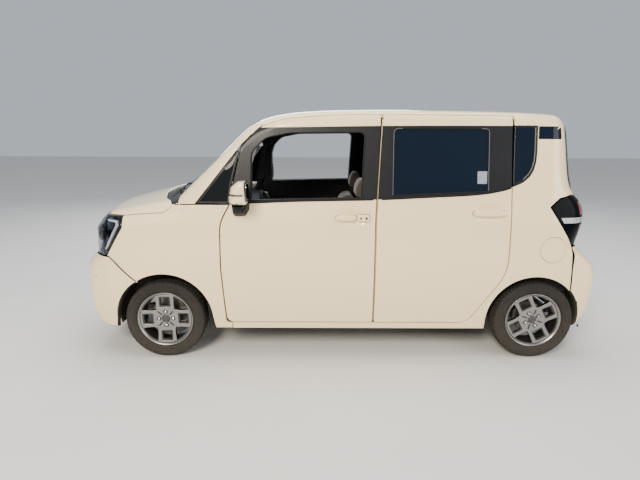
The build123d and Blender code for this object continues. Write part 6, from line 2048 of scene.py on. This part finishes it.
# interior mirror
b = Build()
loops = []
lp = even(rounded([(-.118, -.024, .018), (-.100, .033, .02), (.100, .033, .02), (.118, -.024, .018), (.090, -.032, .02), (-.090, -.032, .02)], .004), 60)
for x, k in ((.6990, .55), (.6965, .80), (.6900, .96), (.6800, 1.0), (.6740, 1.0), (.6725, .97)):
    loops.append(np.stack([np.full(60, x), lp[:, 0] * k, 1.452 + lp[:, 1] * k], 1))
loft(b, loops, "dash_black", sign=1)
mr = Flat(lambda u, v: np.zeros(len(u)), lambda uv: np.stack([np.full(len(uv), .6722), uv[:, 0], uv[:, 1]], 1), (-1, 0, 0))
panel(b, mr, shrink(lp if area(lp) > 0 else lp[::-1], .0045) + [0, 1.452], "mirror", depth=.002, roll=.0006, step=.02)
tube(b, np.array([(.694 + .074 * t, 0, 1.455 + .046 * t) for t in np.linspace(0, 1, 6)]), .0075, "dash_black", k=12)
block(b, (.752, -.020, 1.486), (.772, .020, 1.512), .008, "dash_black", seg=2)
b.object("interior_mirror", "body", "rear_view_mirror", slot="mirror_glass")

# carpets, pedals, headliner, lower trims
b = Build()
block(b, (-.898, -.640, .2455), (.956, -.125, .2560), .004, "carpet", seg=1)
block(b, (-.898, .125, .2455), (.956, .640, .2560), .004, "carpet", seg=1)
loft_y(b, [(-.405, .247, .01), (-.405, .318, .02), (.955, .328, .01), (.955, .247, .01)], span(-.128, .128, 8), "carpet", k=60)
block(b, (-.938, -.594, .4305), (-.902, .594, .4360), .002, "carpet", seg=1)
block(b, (-1.640, -.583, .4305), (-.905, .583, .4380), .003, "carpet", seg=1)
for sy in (1, -1):
    block(b, (.420, sy * .350 - .20, .2562), (.800, sy * .350 + .20, .2610), .003, "rubber", seg=1)
    for k in range(9):
        block(b, (.450 + k * .036, sy * .350 - .165, .2608), (.462 + k * .036, sy * .350 + .165, .2628), .0008, "rubber", seg=1)
b.object("cabin_carpet", "body", slot="rough_plastic")
b = Build()
for y, z, w, h in ((.300, .400, .052, .026), (.430, .400, .038, .060)):
    pd = Flat(lambda u, v: np.zeros(len(u)), lambda uv: np.stack([.850 + (uv[:, 1] - .40) * .45, uv[:, 0], uv[:, 1]], 1), (-1, 0, .4))
    pr = rounded([(y - w, z - h, .010), (y + w, z - h, .010), (y + w, z + h, .010), (y - w, z + h, .010)], .006)
    panel(b, pd, pr, "rubber", depth=.010, roll=.003, step=.015)
    for k in range(4):
        P = pd.pos(np.array([(y + q, z - h + .010 + k * (2 * h - .020) / 3) for q in np.linspace(-w + .010, w - .010, 6)]), -.0012)
        tube(b, P, .0020, "rubber", k=6)
    tube(b, np.array([(.862 + .06 * t, y, .405 + .26 * t) for t in np.linspace(0, 1, 8)]), .0070, "steel_coated", k=10)
b.object("pedals", "body", slot="dash_plastic")
b = Build()
hl_ = rounded([(.560, -.520, .05), (.560, .520, .05), (-.180, .560, .05), (-1.290, .545, .04), (-1.290, -.545, .04), (-.180, -.560, .05)], .03)
panel(b, TOP, hl_, "headliner", off=.040, depth=.010, roll=.004, step=.05)
for sy in (1, -1):
    P = np.array([TOP.pos(np.array([(x, sy * .475)]), .058)[0] for x in np.linspace(-.05, .20, 14)])
    e = np.sin(np.linspace(0, math.pi, 14)) ** .4
    P[:, 2] -= .030 * e - .012
    tube(b, P, .0085, "trim_grey", k=10)
    vs = rounded([(.300, sy * .10, .02), (.300, sy * .46, .02), (.480, sy * .46, .03), (.480, sy * .10, .02)], .02)
    panel(b, TOP, vs if area(vs) > 0 else vs[::-1], "headliner", off=.054, depth=.012, roll=.005, step=.03)
dm = rounded([(.26, -.06, .02), (.26, .06, .02), (.36, .05, .02), (.36, -.05, .02)], .01)
panel(b, TOP, dm, "lens_clear", off=.050, depth=.010, roll=.003, step=.02)
b.object("headliner_panel", "body", slot="rough_plastic")
b = Build()
ls = rounded([(-.950, .440, .02), (-.930, .660, .15), (-1.060, .780, .10), (-1.060, 1.130, .03), (-1.120, 1.165, .05), (-1.280, 1.150, .05), (-1.330, 1.100, .03), (-1.560, 1.060, .03), (-1.600, .460, .03)], .012)
panel(b, SIDE, ls if area(ls) > 0 else ls[::-1], "dash_black", off=.082, depth=.006, roll=.002, step=.04)
for k in range(6):
    P = SIDE.pos(np.array([(x, .80 + k * .022) for x in np.linspace(-1.46, -1.22, 10)]), .0905)
    tube(b, P, .0028, "rubber", k=6)
# pillar covers inside
for rows in ([(.748, 1.105), (.640, 1.440), (.560, 1.535)],):
    P = SIDE.pos(rounded([r + (.05,) for r in rows], .02, closed=False), .052)
    sweep(b, P, [(-.012, -.024), (.010, -.024), (.016, 0), (.010, .024), (-.012, .024)], "trim_grey", up=(.6, 0, .8))
P = SIDE.pos(np.array([(-.140, z) for z in np.linspace(.60, 1.60, 30)]), .082)
sweep(b, P, [(-.010, -.050), (.008, -.050), (.014, -.02), (.014, .02), (.008, .050), (-.010, .050)], "trim_black", up=(1, 0, 0))
P = SIDE.pos(np.array([(-.135, z) for z in np.linspace(.75, 1.50, 24)]), .098)
sweep(b, P, [(-.0008, -.023), (.0008, -.023), (.0008, .023), (-.0008, .023)], "rubber", up=(1, 0, 0))
b.both().object("cabin_trims", "body", slot="rough_plastic")
print("cabin", flush=True)

# =====================================================================
# engine, exhaust and fuel tank
# =====================================================================
def hull(P):
    """Convex outline of points in a plane."""
    P = sorted(map(tuple, P))
    out = []
    for run in (P, P[::-1]):
        part = []
        for q in run:
            while len(part) > 1 and (part[-1][0] - part[-2][0]) * (q[1] - part[-2][1]) - (part[-1][1] - part[-2][1]) * (q[0] - part[-2][0]) <= 0:
                part.pop()
            part.append(q)
        out += part[:-1]
    return np.array(out)


def bend(pts, r=.04, step=.012):
    """Points of a path with its corners rounded."""
    pts = np.array(pts, float)
    out = [pts[0]]
    for i in range(1, len(pts) - 1):
        a_, c_, e_ = pts[i - 1], pts[i], pts[i + 1]
        la, le = np.linalg.norm(a_ - c_), np.linalg.norm(e_ - c_)
        k = min(r, la * .48, le * .48)
        p0, p1 = c_ + (a_ - c_) / la * k, c_ + (e_ - c_) / le * k
        out += [(1 - t) ** 2 * p0 + 2 * t * (1 - t) * c_ + t * t * p1 for t in np.linspace(0, 1, 7)]
    out.append(pts[-1])
    return np.array(out)


b = Build()
loft_y(b, [(1.170, .270, .03), (1.410, .270, .03), (1.425, .360, .01), (1.150, .360, .01)], span(-.140, .205, 6), "engine_alloy")
loft_y(b, [(1.150, .350, .01), (1.425, .350, .01), (1.410, .560, .02), (1.150, .560, .02)], span(-.150, .210, 6), "engine_alloy")
loft_y(b, [(1.160, .552, .01), (1.395, .552, .01), (1.395, .692, .01), (1.160, .692, .01)], span(-.142, .205, 6), "engine_alloy")
loft_y(b, [(1.148, .700, .01), (1.150, .735, .03), (1.205, .768, .05), (1.350, .768, .05), (1.404, .735, .03), (1.406, .700, .01)], span(-.146, .208, 8), "trim_black")
for k in range(9):
    y = -.115 + k * .036
    tube(b, bend([(1.200, y, .763), (1.215, y, .7695), (1.340, y, .7695), (1.355, y, .763)], .006), .0035, "trim_black", k=6)
for k in range(7):
    z = .385 + k * .024
    tube(b, np.array([(1.424 - .0006 * k, y, z) for y in np.linspace(-.120, .180, 8)]), .0035, "engine_alloy", k=6)
lathe(b, [(.0, -.326), (.052, -.326), (.074, -.312), (.086, -.262), (.120, -.196), (.131, -.160), (.131, -.146), (.0, -.146)], "engine_alloy", c=(1.275, 0, .405), seg=56, sharp=.7)
for k in range(12):
    t = 2 * math.pi * k / 12
    c_, s_ = math.cos(t), math.sin(t)
    tube(b, np.array([(1.275 + r * c_, y, .405 + r * s_) for r, y in ((.082, -.300), (.090, -.255), (.121, -.196), (.131, -.165))]), .0042, "engine_alloy", k=6)
PUL = ((1.275, .400, .064), (1.405, .585, .034), (1.185, .600, .040), (1.330, .655, .026))
for x, z, r in PUL:
    lathe(b, [(.0, .206), (r, .206), (r, .2115), (r - .004, .2125), (r - .004, .2225), (r, .2235), (r, .2270), (r - .010, .2270), (r - .014, .2200), (.014, .2190), (.012, .2260), (.0, .2265)], "steel_coated", c=(x, 0, z), seg=40, sharp=.5)
belt = hull([(x + (r - .002) * math.cos(t), z + (r - .002) * math.sin(t)) for x, z, r in PUL for t in np.linspace(0, 2 * math.pi, 40, endpoint=False)])
P = np.array([(q[0], .2175, q[1]) for q in resample(belt, .010)])
sweep(b, P, [(-.0022, -.0048), (.0022, -.0048), (.0022, .0048), (-.0022, .0048)], "rubber", up=(0, 1, 0), closed=True)
for y in (-.090, .030, .150):
    tube(b, bend([(1.385, y, .655), (1.440, y, .680), (1.476, y, .645), (1.464, y, .575)], .04), .0165, "trim_black", k=14)
tube(b, bend([(1.462, -.135, .570), (1.462, .195, .570)], .02), .0320, "trim_black", k=20)
loft_y(b, [(1.088, .455, .03), (1.140, .440, .02), (1.145, .655, .02), (1.100, .665, .04)], span(-.095, .165, 5), "exhaust_metal")
loft_y(b, [(1.080, .600, .02), (1.295, .600, .02), (1.290, .694, .004), (1.085, .694, .004)], span(-.318, -.172, 4), "trim_black")
loft_y(b, [(1.078, .698, .004), (1.298, .698, .004), (1.285, .780, .03), (1.100, .785, .03)], span(-.321, -.169, 4), "trim_black")
for y in (-.290, -.200):
    for x in (1.076, 1.300):
        loft_y(b, [(x - .006, .684, .002), (x + .006, .684, .002), (x + .006, .712, .002), (x - .006, .712, .002)], [y - .012, y - .010, y + .010, y + .012], "steel_coated", k=24)
tube(b, bend([(1.285, -.245, .740), (1.370, -.245, .742), (1.425, -.170, .700), (1.455, -.130, .600)], .06), .0270, "trim_black", k=18)
for k in range(7):
    t = np.linspace(0, 2 * math.pi, 30, endpoint=False)
    x = 1.305 + k * .0075
    tube(b, np.stack([np.full(30, x), -.245 + .0275 * np.cos(t), .741 + .0275 * np.sin(t)], 1), .0026, "trim_black", k=6, closed=True)
button(b, np.array([1.230, .140, .766]), (0, 0, 1), [(.024, -.004), (.024, .010), (.021, .013), (.008, .0135), (.006, .020), (.0003, .0205)], "dash_black", 24)
tube(b, bend([(1.400, .170, .620), (1.452, .198, .660), (1.468, .205, .760), (1.440, .205, .790)], .04), .0140, "rubber", k=12)
tube(b, bend([(1.160, -.060, .500), (1.095, -.120, .480), (1.080, -.200, .520), (1.100, -.260, .560)], .04), .0110, "rubber", k=12)
b.object("engine_assembly", "body", "engine_block", slot="engine_metal")
# battery, coolant bottle, brake fluid and the panel over the radiator
b = Build()
loft_y(b, [(1.330, .640, .012), (1.520, .640, .012), (1.518, .800, .006), (1.332, .800, .006)], span(.262, .398, 4), "trim_black")
loft_y(b, [(1.326, .803, .006), (1.524, .803, .006), (1.518, .828, .010), (1.332, .828, .010)], span(.258, .402, 4), "dash_black")
for x in (1.360, 1.490):
    button(b, np.array([x, .365, .828]), (0, 0, 1), [(.010, -.002), (.009, .012), (.0003, .0125)], "steel_coated", 18)
loft_y(b, [(1.440, .610, .03), (1.570, .610, .03), (1.560, .790, .04), (1.455, .800, .04)], span(-.425, -.345, 4), "headliner")
button(b, np.array([1.505, -.385, .797]), (0, 0, 1), [(.020, -.006), (.020, .014), (.016, .018), (.0003, .0185)], "dash_black", 24)
loft_y(b, [(1.225, .800, .02), (1.300, .800, .02), (1.295, .860, .02), (1.230, .860, .02)], span(.300, .375, 4), "headliner")
button(b, np.array([1.262, .338, .859]), (0, 0, 1), [(.024, -.006), (.024, .012), (.020, .016), (.0003, .0165)], "dash_black", 24)
loft_y(b, [(1.655, .700, .01), (1.760, .712, .01), (1.758, .728, .006), (1.655, .722, .006)], span(-.440, .440, 20), "trim_black")
b.object("engine_bay_parts", "body", slot="rough_plastic")

b = Build()
tube(b, bend([(.900, -.060, .170), (-.100, -.060, .170), (-.360, .355, .168), (-1.300, .372, .166), (-1.430, .330, .160), (-1.475, .310, .158)], .11), .0225, "exhaust_metal", k=20)
for y0, y1, rr in ((.560, .780, .0350), (-.640, -.900, .0345)):
    a_ = np.linspace(0, 2 * math.pi, 32, endpoint=False)
    yc = -.060 if y0 > 0 else .363
    V = np.stack([np.stack([np.full(32, x), yc + r * np.cos(a_) * 1.25, .158 + r * np.sin(a_)], 1) for x, r in ((y0, .018), (y0 + .03 * np.sign(y1 - y0), rr), (y1 - .03 * np.sign(y1 - y0), rr), (y1, .018))])
    grid(b, V, "exhaust_metal", cj=True, crease=60, sign=1 if y1 < y0 else -1)
for x, y in ((.500, -.060), (.470, -.060), (-.560, .361)):
    lathe(b, [(.024, -.004), (.034, -.004), (.034, .004), (.024, .004)], "steel_coated", c=(x, y, .168), seg=6)
base = se_loop(64, 3.0) * [.0880, .0390]
V = []
for y, k in ((-.188, .80), (-.190, .90), (-.198, .93), (-.199, .97), (-.197, .995), (-.188, .995), (-.185, .955), (-.110, .960), (-.104, .985), (-.084, .985), (-.078, .960), (.090, .960), (.096, .985), (.116, .985), (.122, .960),
             (.290, .960), (.296, .985), (.316, .985), (.322, .960), (.385, .955), (.388, .995), (.397, .995), (.399, .97), (.398, .93), (.390, .90), (.388, .80)):
    q = base - np.sign(base) * (1 - k) * .040
    V.append(np.stack([-1.5500 + q[:, 0], np.full(64, y), .1550 + q[:, 1]], 1))
V = np.array(V)
grid(b, V, "exhaust_metal", cj=True, crease=35, sign=-1)
fan(b, V[0], V[0].mean(0), (0, -1, 0), "exhaust_metal")
fan(b, V[-1], V[-1].mean(0), (0, 1, 0), "exhaust_metal")
tube(b, bend([(-1.560, -.150, .150), (-1.600, -.165, .146), (-1.6385, -.165, .140)], .02), .0190, "alloy_dark", k=20)
b.object("exhaust_system", "body", "exhaust", slot="exhaust_steel")

b = Build()
V = []
for y, k in ((-.438, .60), (-.4385, .90), (-.434, .965), (-.420, .985), (-.300, .99), (-.292, 1.0), (-.258, 1.0), (-.250, .99), (-.080, .99), (.110, .99), (.118, 1.0), (.152, 1.0), (.160, .99), (.280, .985), (.294, .965), (.2985, .90), (.298, .60)):
    q = se_loop(72, 5.0) * [.2290, .0440]
    q = q - np.sign(q) * (1 - k) * .05
    V.append(np.stack([-.650 + q[:, 0], np.full(72, y), .1550 + q[:, 1]], 1))
V = np.array(V)
grid(b, V, "trim_black", cj=True, crease=35, sign=-1)
fan(b, V[0], V[0].mean(0), (0, -1, 0), "trim_black")
fan(b, V[-1], V[-1].mean(0), (0, 1, 0), "trim_black")
for y in (-.275, .135):
    P = np.array([(-.650 + q[0], y, .1550 + q[1]) for q in se_loop(60, 5.0) * [.2285, .0435]])
    sweep(b, P, [(-.001, -.014), (.0012, -.014), (.0012, .014), (-.001, .014)], "steel_coated", up=(0, 1, 0), closed=True)
b.object("fuel_tank_shell", "body", "fuel_tank", slot="rough_plastic")
print("engine and exhaust", flush=True)

# =====================================================================
# seats: padded forms filled by a cloth simulation
# =====================================================================
from mathutils.bvhtree import BVHTree


def pad_mesh(rows, y0, y1, r, warp=None, k=72):
    """Closed form: an (x, z) outline between two ends, every edge rounded by r."""
    base = even(rounded(rows, .006), k)
    if area(base) < 0:
        base = base[::-1]
    loops = []
    for t in np.linspace(0, 1, 7):
        f = t * math.pi / 2
        loops.append((r * (1 - math.sin(f)), y0 + r * (1 - math.cos(f))))
    mid = [(0, y) for y in np.linspace(y0 + r, y1 - r, 22)[1:-1]]
    st = loops + mid + [(d, y1 - (y - y0)) for d, y in loops[::-1]]
    V = []
    for d, y in st:
        q = base + inward(base) * d
        P = np.stack([q[:, 0], np.full(k, y), q[:, 1]], 1)
        V.append(warp(P) if warp is not None else P)
    V = np.array(V)
    n = len(V)
    verts = V.reshape(-1, 3).tolist() + [V[0].mean(0).tolist(), V[-1].mean(0).tolist()]
    faces = [(i * k + j, i * k + (j + 1) % k, (i + 1) * k + (j + 1) % k, (i + 1) * k + j) for i in range(n - 1) for j in range(k)]
    faces += [(n * k, (j + 1) % k, j) for j in range(k)] + [(n * k + 1, (n - 1) * k + j, (n - 1) * k + (j + 1) % k) for j in range(k)]
    return verts, faces


class Pad:
    def __init__(self, name, rows, y0, y1, r, voxel, cap, warp=None, seams=(), depth=.007, width=.009, mat="fabric_tan", mirror=True, fill=.8, pressure=4.0, slack=.010, replaces=None):
        self.__dict__.update(locals())
        v, f = pad_mesh(rows, y0, y1, r, warp)
        me = bpy.data.meshes.new(name)
        me.from_pydata(v, [], f)
        import bmesh
        bm = bmesh.new()
        bm.from_mesh(me)
        bmesh.ops.recalc_face_normals(bm, faces=bm.faces)
        bm.to_mesh(me)
        bm.free()
        o = bpy.data.objects.new(name, me)
        scene.collection.objects.link(o)
        m = o.modifiers.new("remesh", "REMESH")
        m.mode, m.voxel_size = "VOXEL", voxel
        bpy.context.view_layer.update()
        me2 = bpy.data.meshes.new_from_object(o.evaluated_get(bpy.context.evaluated_depsgraph_get()))
        o.modifiers.clear()
        o.data = me2
        self.o = o
        self.p0 = np.array([q.co[:] for q in me2.vertices])
        self.n0 = np.array([q.normal[:] for q in me2.vertices])
        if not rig.quick():
            c = o.modifiers.new("cloth", "CLOTH")
            s = c.settings
            s.quality, s.mass, s.air_damping = 5, .25, 2.0
            s.tension_stiffness = s.compression_stiffness = 12
            s.shear_stiffness, s.bending_stiffness = 5, .4
            s.use_pressure, s.uniform_pressure_force = True, pressure
            s.effector_weights.gravity = 0
            c.collision_settings.use_collision = False
            c.point_cache.frame_start, c.point_cache.frame_end = 1, 20

    def settle(self):
        o = self.o
        if o.modifiers:
            me = bpy.data.meshes.new_from_object(o.evaluated_get(bpy.context.evaluated_depsgraph_get()))
            p = np.array([q.co[:] for q in me.vertices])
            o.modifiers.clear()
        else:
            me = o.data
            p = self.p0 + self.n0 * self.cap * .4
        d = p - self.p0
        L = np.linalg.norm(d, axis=1, keepdims=True)
        d *= np.minimum(1, self.cap / np.maximum(L, 1e-9))
        p = self.p0 + d
        # seams drawn in along lines, and a piping cord laid in each
        me.vertices.foreach_set("co", p.astype(np.float32).ravel())
        me.update()
        tree = BVHTree.FromPolygons([tuple(q) for q in p], [tuple(f.vertices) for f in me.polygons])
        nv = np.array([q.normal[:] for q in me.vertices])
        cords = []
        for line in self.seams:
            line = resample(np.array(line, float), .010, False)
            pts = []
            for q in line:
                loc, nn, _, dist = tree.find_nearest(Vector(q))
                pts.append(loc[:])
            pts = np.array(pts)
            pts = resample(pts, .008, False)
            for s in range(0, len(p), 4000):
                dd = np.sqrt(((p[s:s + 4000, None, :] - pts[None]) ** 2).sum(2)).min(1)
                p[s:s + 4000] -= nv[s:s + 4000] * (self.depth * np.exp(-(dd / self.width) ** 2))[:, None]
            cords.append(pts)
        me.vertices.foreach_set("co", p.astype(np.float32).ravel())
        me.update()
        me.polygons.foreach_set("use_smooth", [True] * len(me.polygons))
        me.materials.clear()
        me.materials.append(MATS[self.mat])
        o.data = me
        b = Build()
        tree = BVHTree.FromPolygons([tuple(q) for q in p], [tuple(f.vertices) for f in me.polygons])
        for pts in cords:
            q = np.array([tree.find_nearest(Vector(t))[0][:] for t in pts])
            for _ in range(3):
                q[1:-1] = (q[:-2] + 2 * q[1:-1] + q[2:]) / 4
            if len(q) > 3:
                tube(b, np.vstack([q[:-1:2], q[-1:]]), .0016, "fabric_grey", k=5)
        out = []
        for sy in ((1, -1) if self.mirror else (1,)):
            ob = o
            if sy < 0:
                me3 = me.copy()
                co = p * [1, -1, 1]
                me3.vertices.foreach_set("co", co.astype(np.float32).ravel())
                me3.flip_normals()
                me3.update()
                ob = bpy.data.objects.new(self.name.replace("left", "right"), me3)
                scene.collection.objects.link(ob)
            ob.location = (SX, 0, 0)
            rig.ride(ob, "body")
            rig.slot(ob, "seat_fabric")
            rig.padded(ob, fill=self.fill)
            out.append(ob)
            if b.count:
                (b if sy > 0 else b.mirrored()).object(ob.name + "_piping", "body", slot="seat_fabric")
        return out


def fc_warp(P):
    x, y, z = P.T
    e = np.clip((np.abs(y - .345) - .130) / .075, 0, 1)
    e = e * e * (3 - 2 * e)
    z = z + .024 * e * np.clip((z - .47) / .06, 0, 1) * np.clip((.50 - x) / .12, 0, 1)
    w = 1 - .05 * np.clip((x - .38) / .14, 0, 1)
    return np.stack([x, .345 + (y - .345) * w, z], 1)


def fb_warp(P):
    x, y, z = P.T
    t = np.clip((z - .55) / .50, 0, 1)
    e = np.clip((np.abs(y - .345) - .125) / .080, 0, 1)
    e = e * e * (3 - 2 * e)
    front = np.clip((x - (.115 - .150 * t)) / .05, 0, 1)
    x = x + .030 * e * front * (1 - .6 * t)
    w = 1 - .20 * np.clip((t - .55) / .45, 0, 1) ** 1.5
    return np.stack([x, .345 + (y - .345) * w, z], 1)


def rc_warp(P):
    x, y, z = P.T
    e = np.clip((y - .49) / .06, 0, 1) ** 2
    return np.stack([x, y, z + .010 * e * np.clip((z - .5) / .05, 0, 1)], 1)


FC = [(.065, .455, .05), (.055, .548, .05), (.200, .552, .3), (.380, .566, .3), (.492, .570, .06), (.503, .520, .05), (.480, .440, .05)]
FB = [(.062, .572, .04), (-.090, 1.010, .06), (-.055, 1.036, .05), (-.010, 1.020, .05), (.058, .830, .4), (.120, .700, .3), (.148, .620, .06), (.130, .572, .04)]
HR = [(-.118, 1.070, .03), (-.134, 1.135, .10), (-.138, 1.197, .03), (-.078, 1.205, .03), (-.052, 1.135, .10), (-.046, 1.077, .03)]
RC = [(-.800, .470, .05), (-.800, .585, .05), (-.600, .592, .3), (-.440, .604, .06), (-.400, .560, .05), (-.415, .470, .05)]
RB = [(-.760, .615, .04), (-.925, .995, .06), (-.895, 1.020, .04), (-.862, 1.005, .05), (-.790, .800, .4), (-.685, .650, .06), (-.700, .612, .04)]
RH = [(-.958, 1.085, .03), (-.970, 1.185, .03), (-.912, 1.192, .03), (-.890, 1.090, .03)]


def on(rows, f):
    return rows


s_fc = [[(x, .345 + sy * .128, .62) for x in np.linspace(.075, .470, 40)] for sy in (1, -1)] + [[(xx, y, .62) for y in np.linspace(.345 - .125, .345 + .125, 30)] for xx in (.185, .300, .410)]
s_fc += [[(x, .345 + sy * .235, .500) for x in np.linspace(.10, .46, 40)] for sy in (1, -1)]
s_fb = [[(.19 - .26 * t, .345 + sy * (.128 - .012 * t), .66 + .34 * t) for t in np.linspace(0, 1, 40)] for sy in (1, -1)]
s_fb += [[(.19 - .26 * t + .03, y, .66 + .34 * t) for y in np.linspace(.345 - .120, .345 + .120, 30)] for t in (.12, .38, .64, .90)]
s_hr = [[(-.085, .345 + .100 * math.cos(a), 1.175 + .060 * math.sin(a)) for a in np.linspace(0, 2 * math.pi, 2)][:0]]
s_rc = [[(xx, y, .68) for y in np.linspace(.035, .520, 50)] for xx in (-.700, -.580, -.470)] + [[(x, yy, .68) for x in np.linspace(-.78, -.43, 40)] for yy in (.175, .400)]
s_rb = [[(-.66 - .20 * t, yy, .70 + .28 * t) for t in np.linspace(0, 1, 40)] for yy in (.175, .400)] + [[(-.62 - .20 * t, y, .70 + .28 * t) for y in np.linspace(.035, .520, 50)] for t in (.1, .4, .7, 1.0)]
PADS = [
    Pad("front_left_cushion", FC, .345 - .228, .345 + .228, .036, .0085, .024, fc_warp, s_fc),
    Pad("front_left_back", FB, .345 - .226, .345 + .226, .030, .0085, .024, fb_warp, s_fb),
    Pad("front_left_headrest", HR, .345 - .108, .345 + .108, .022, .0060, .018, None, (), fill=.9),
    Pad("rear_left_cushion", RC, .018, .536, .034, .0095, .024, rc_warp, s_rc),
    Pad("rear_left_back", RB, .018, .536, .026, .0095, .022, None, s_rb),
    Pad("rear_left_headrest", RH, .330 - .100, .330 + .100, .020, .0060, .016, None, (), fill=.9),
]
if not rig.quick():
    for f in range(1, 21):
        scene.frame_set(f)
made = []
for p_ in PADS:
    made += p_.settle()
scene.frame_set(1)
print("pads", [len(o.data.vertices) for o in made], flush=True)

# hard parts of the seats
b = Build()
for sy in (1,):
    y = .345
    block(b, (.070, y - .195, .330), (.470, y + .195, .450), .020, "trim_black", seg=2)
    for s in (1, -1):
        block(b, (.040, y + s * .175 - .020, .250), (.500, y + s * .175 + .020, .276), .004, "steel_coated", seg=1)
        block(b, (.060, y + s * .175 - .012, .272), (.480, y + s * .175 + .012, .340), .006, "steel_coated", seg=2)
        v0, v1 = y + s * .2105, y + s * .2400
        block(b, (.020, min(v0, v1), .365), (.480, max(v0, v1), .470), .012, "trim_black", seg=3)
        button(b, np.array([.045, y + s * .238, .500]), (0, s, 0), [(.034, -.018), (.034, .000), (.030, .005), (.0003, .006)], "trim_black", 32)
    P = np.array([(.10 + .10 * t, y + .2405, .432 + .004 * math.sin(3 * t)) for t in np.linspace(0, 1, 8)])
    tube(b, P, .0075, "trim_black", k=10)
    for dy in (-.060, .060):
        tube(b, np.array([(-.078 - .006 * t, y + dy, 1.025 + .10 * t) for t in np.linspace(0, 1, 6)]), .0062, "chrome", k=12)
        button(b, np.array([-.076, y + dy, 1.050]), (-.06, 0, 1), [(.014, -.014), (.014, .000), (.011, .005), (.0066, .006)], "trim_black", 20)
b.both()
b.object("front_seat_frames", "body", "front_seats", slot="rough_plastic")
b = Build()
loft_y(b, [(-.800, .440, .03), (-.815, .520, .03), (-.770, .560, .02), (-.450, .560, .02), (-.430, .440, .03)], span(.016, .540, 10), "trim_black", k=60)
block(b, (-.780, .040, .2570), (-.450, .500, .3300), .020, "trim_black", seg=2)
block(b, (-.760, .060, .3200), (-.470, .480, .4450), .020, "trim_black", seg=2)
bk = [(-.800, .600), (-.970, 1.010), (-.955, 1.030), (-.930, 1.020), (-.770, .610)]
loft_y(b, [(u, v, .008) for u, v in bk], span(.020, .534, 12), "carpet", k=60)
for dy in (-.050, .050):
    tube(b, np.array([(-.925 - .007 * t, .330 + dy, 1.00 + .10 * t) for t in np.linspace(0, 1, 6)]), .0060, "chrome", k=12)
    button(b, np.array([-.927, .330 + dy, 1.030]), (-.06, 0, 1), [(.013, -.012), (.013, .000), (.010, .005), (.0064, .006)], "trim_black", 20)
block(b, (-.800, .036, .5950), (-.790, .060, .6150), .003, "dash_black", seg=1)
b.both()
b.object("rear_seat_frame", "body", "rear_bench", slot="rough_plastic")

# =====================================================================
# finishes of the nodes that show as they are
# =====================================================================
FINISH = {
    "floor_pan": "steel_coated", "load_floor": "steel_coated", "rear_wheelhouses": "liner", "rear_panel": "trim_black", "front_bulkhead": "liner", "front_subframe": "steel_coated", "engine_block": "engine_alloy", "rear_axle_beam": "steel_coated",
    "fuel_tank": "trim_black", "exhaust": "exhaust_metal", "front_seats": "fabric_tan", "rear_bench": "fabric_tan", "dashboard": "dash_black", "wipers": "trim_black",
    "rear_view_mirror": "dash_black", "steering_wheel": "dash_black", "knuckle_left": "steel_coated", "knuckle_right": "steel_coated", "windscreen": "glass_clear",
    "fixed_side_glass": "glass_dark", "rear_door_glass_left": "glass_dark", "tailgate_glass": "glass_dark", "headlamps": "lens_clear", "tail_lamps": "lens_smoke",
    "grille_panel": "paint_cream", "fuel_flap": "paint_cream",
}
for node, o in NODES.items():
    m = FINISH.get(node) or ("tyre_rubber" if node.startswith("tyre") else "alloy_dark" if node.startswith("rim") else "paint_cream")
    o.data.materials.clear()
    o.data.materials.append(MATS[m])

# ---- floor and lights -------------------------------------------------
bpy.ops.mesh.primitive_plane_add(size=60, location=(0, 0, 0))
fl = bpy.context.object
fl.name = "floor"
fl.data.materials.append(MATS["floor"])
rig.stage(fl)


def light(name, loc, target, size, power, color=(1, 1, 1), size_y=None):
    d = bpy.data.lights.new(name, "AREA")
    d.shape = "RECTANGLE"
    d.size, d.size_y = size, size_y or size
    d.energy, d.color = power, color
    o = bpy.data.objects.new(name, d)
    scene.collection.objects.link(o)
    o.location = loc
    o.rotation_euler = (Vector(target) - Vector(loc)).to_track_quat("-Z", "Y").to_euler()
    return o


light("key", (2.2, 7.0, 4.6), (0, 0, 0.7), 2.4, 740, (1.0, 0.91, 0.76))
light("top", (0, 0.0, 6.5), (0, 0, 0), 7.0, 330, (0.84, 0.91, 1.0), 4.0)
light("fill", (-5.5, 4.5, 3.0), (0, 0, 0.8), 3.5, 170, (1, 0.98, 0.95))
light("back", (0.5, -6.0, 4.0), (0, 0, 0.8), 5.0, 300, (0.95, 0.97, 1.0))
world = bpy.data.worlds.new("world")
scene.world = world
world.use_nodes = True
world.node_tree.nodes["Background"].inputs["Color"].default_value = (0.80, 0.86, 0.95, 1)
world.node_tree.nodes["Background"].inputs["Strength"].default_value = 0.62

json.dump({"cad": [list(map(float, p)) for p in CAD_BOX], "visual": [list(map(float, p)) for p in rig.bounds()]}, open("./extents.json", "w"))
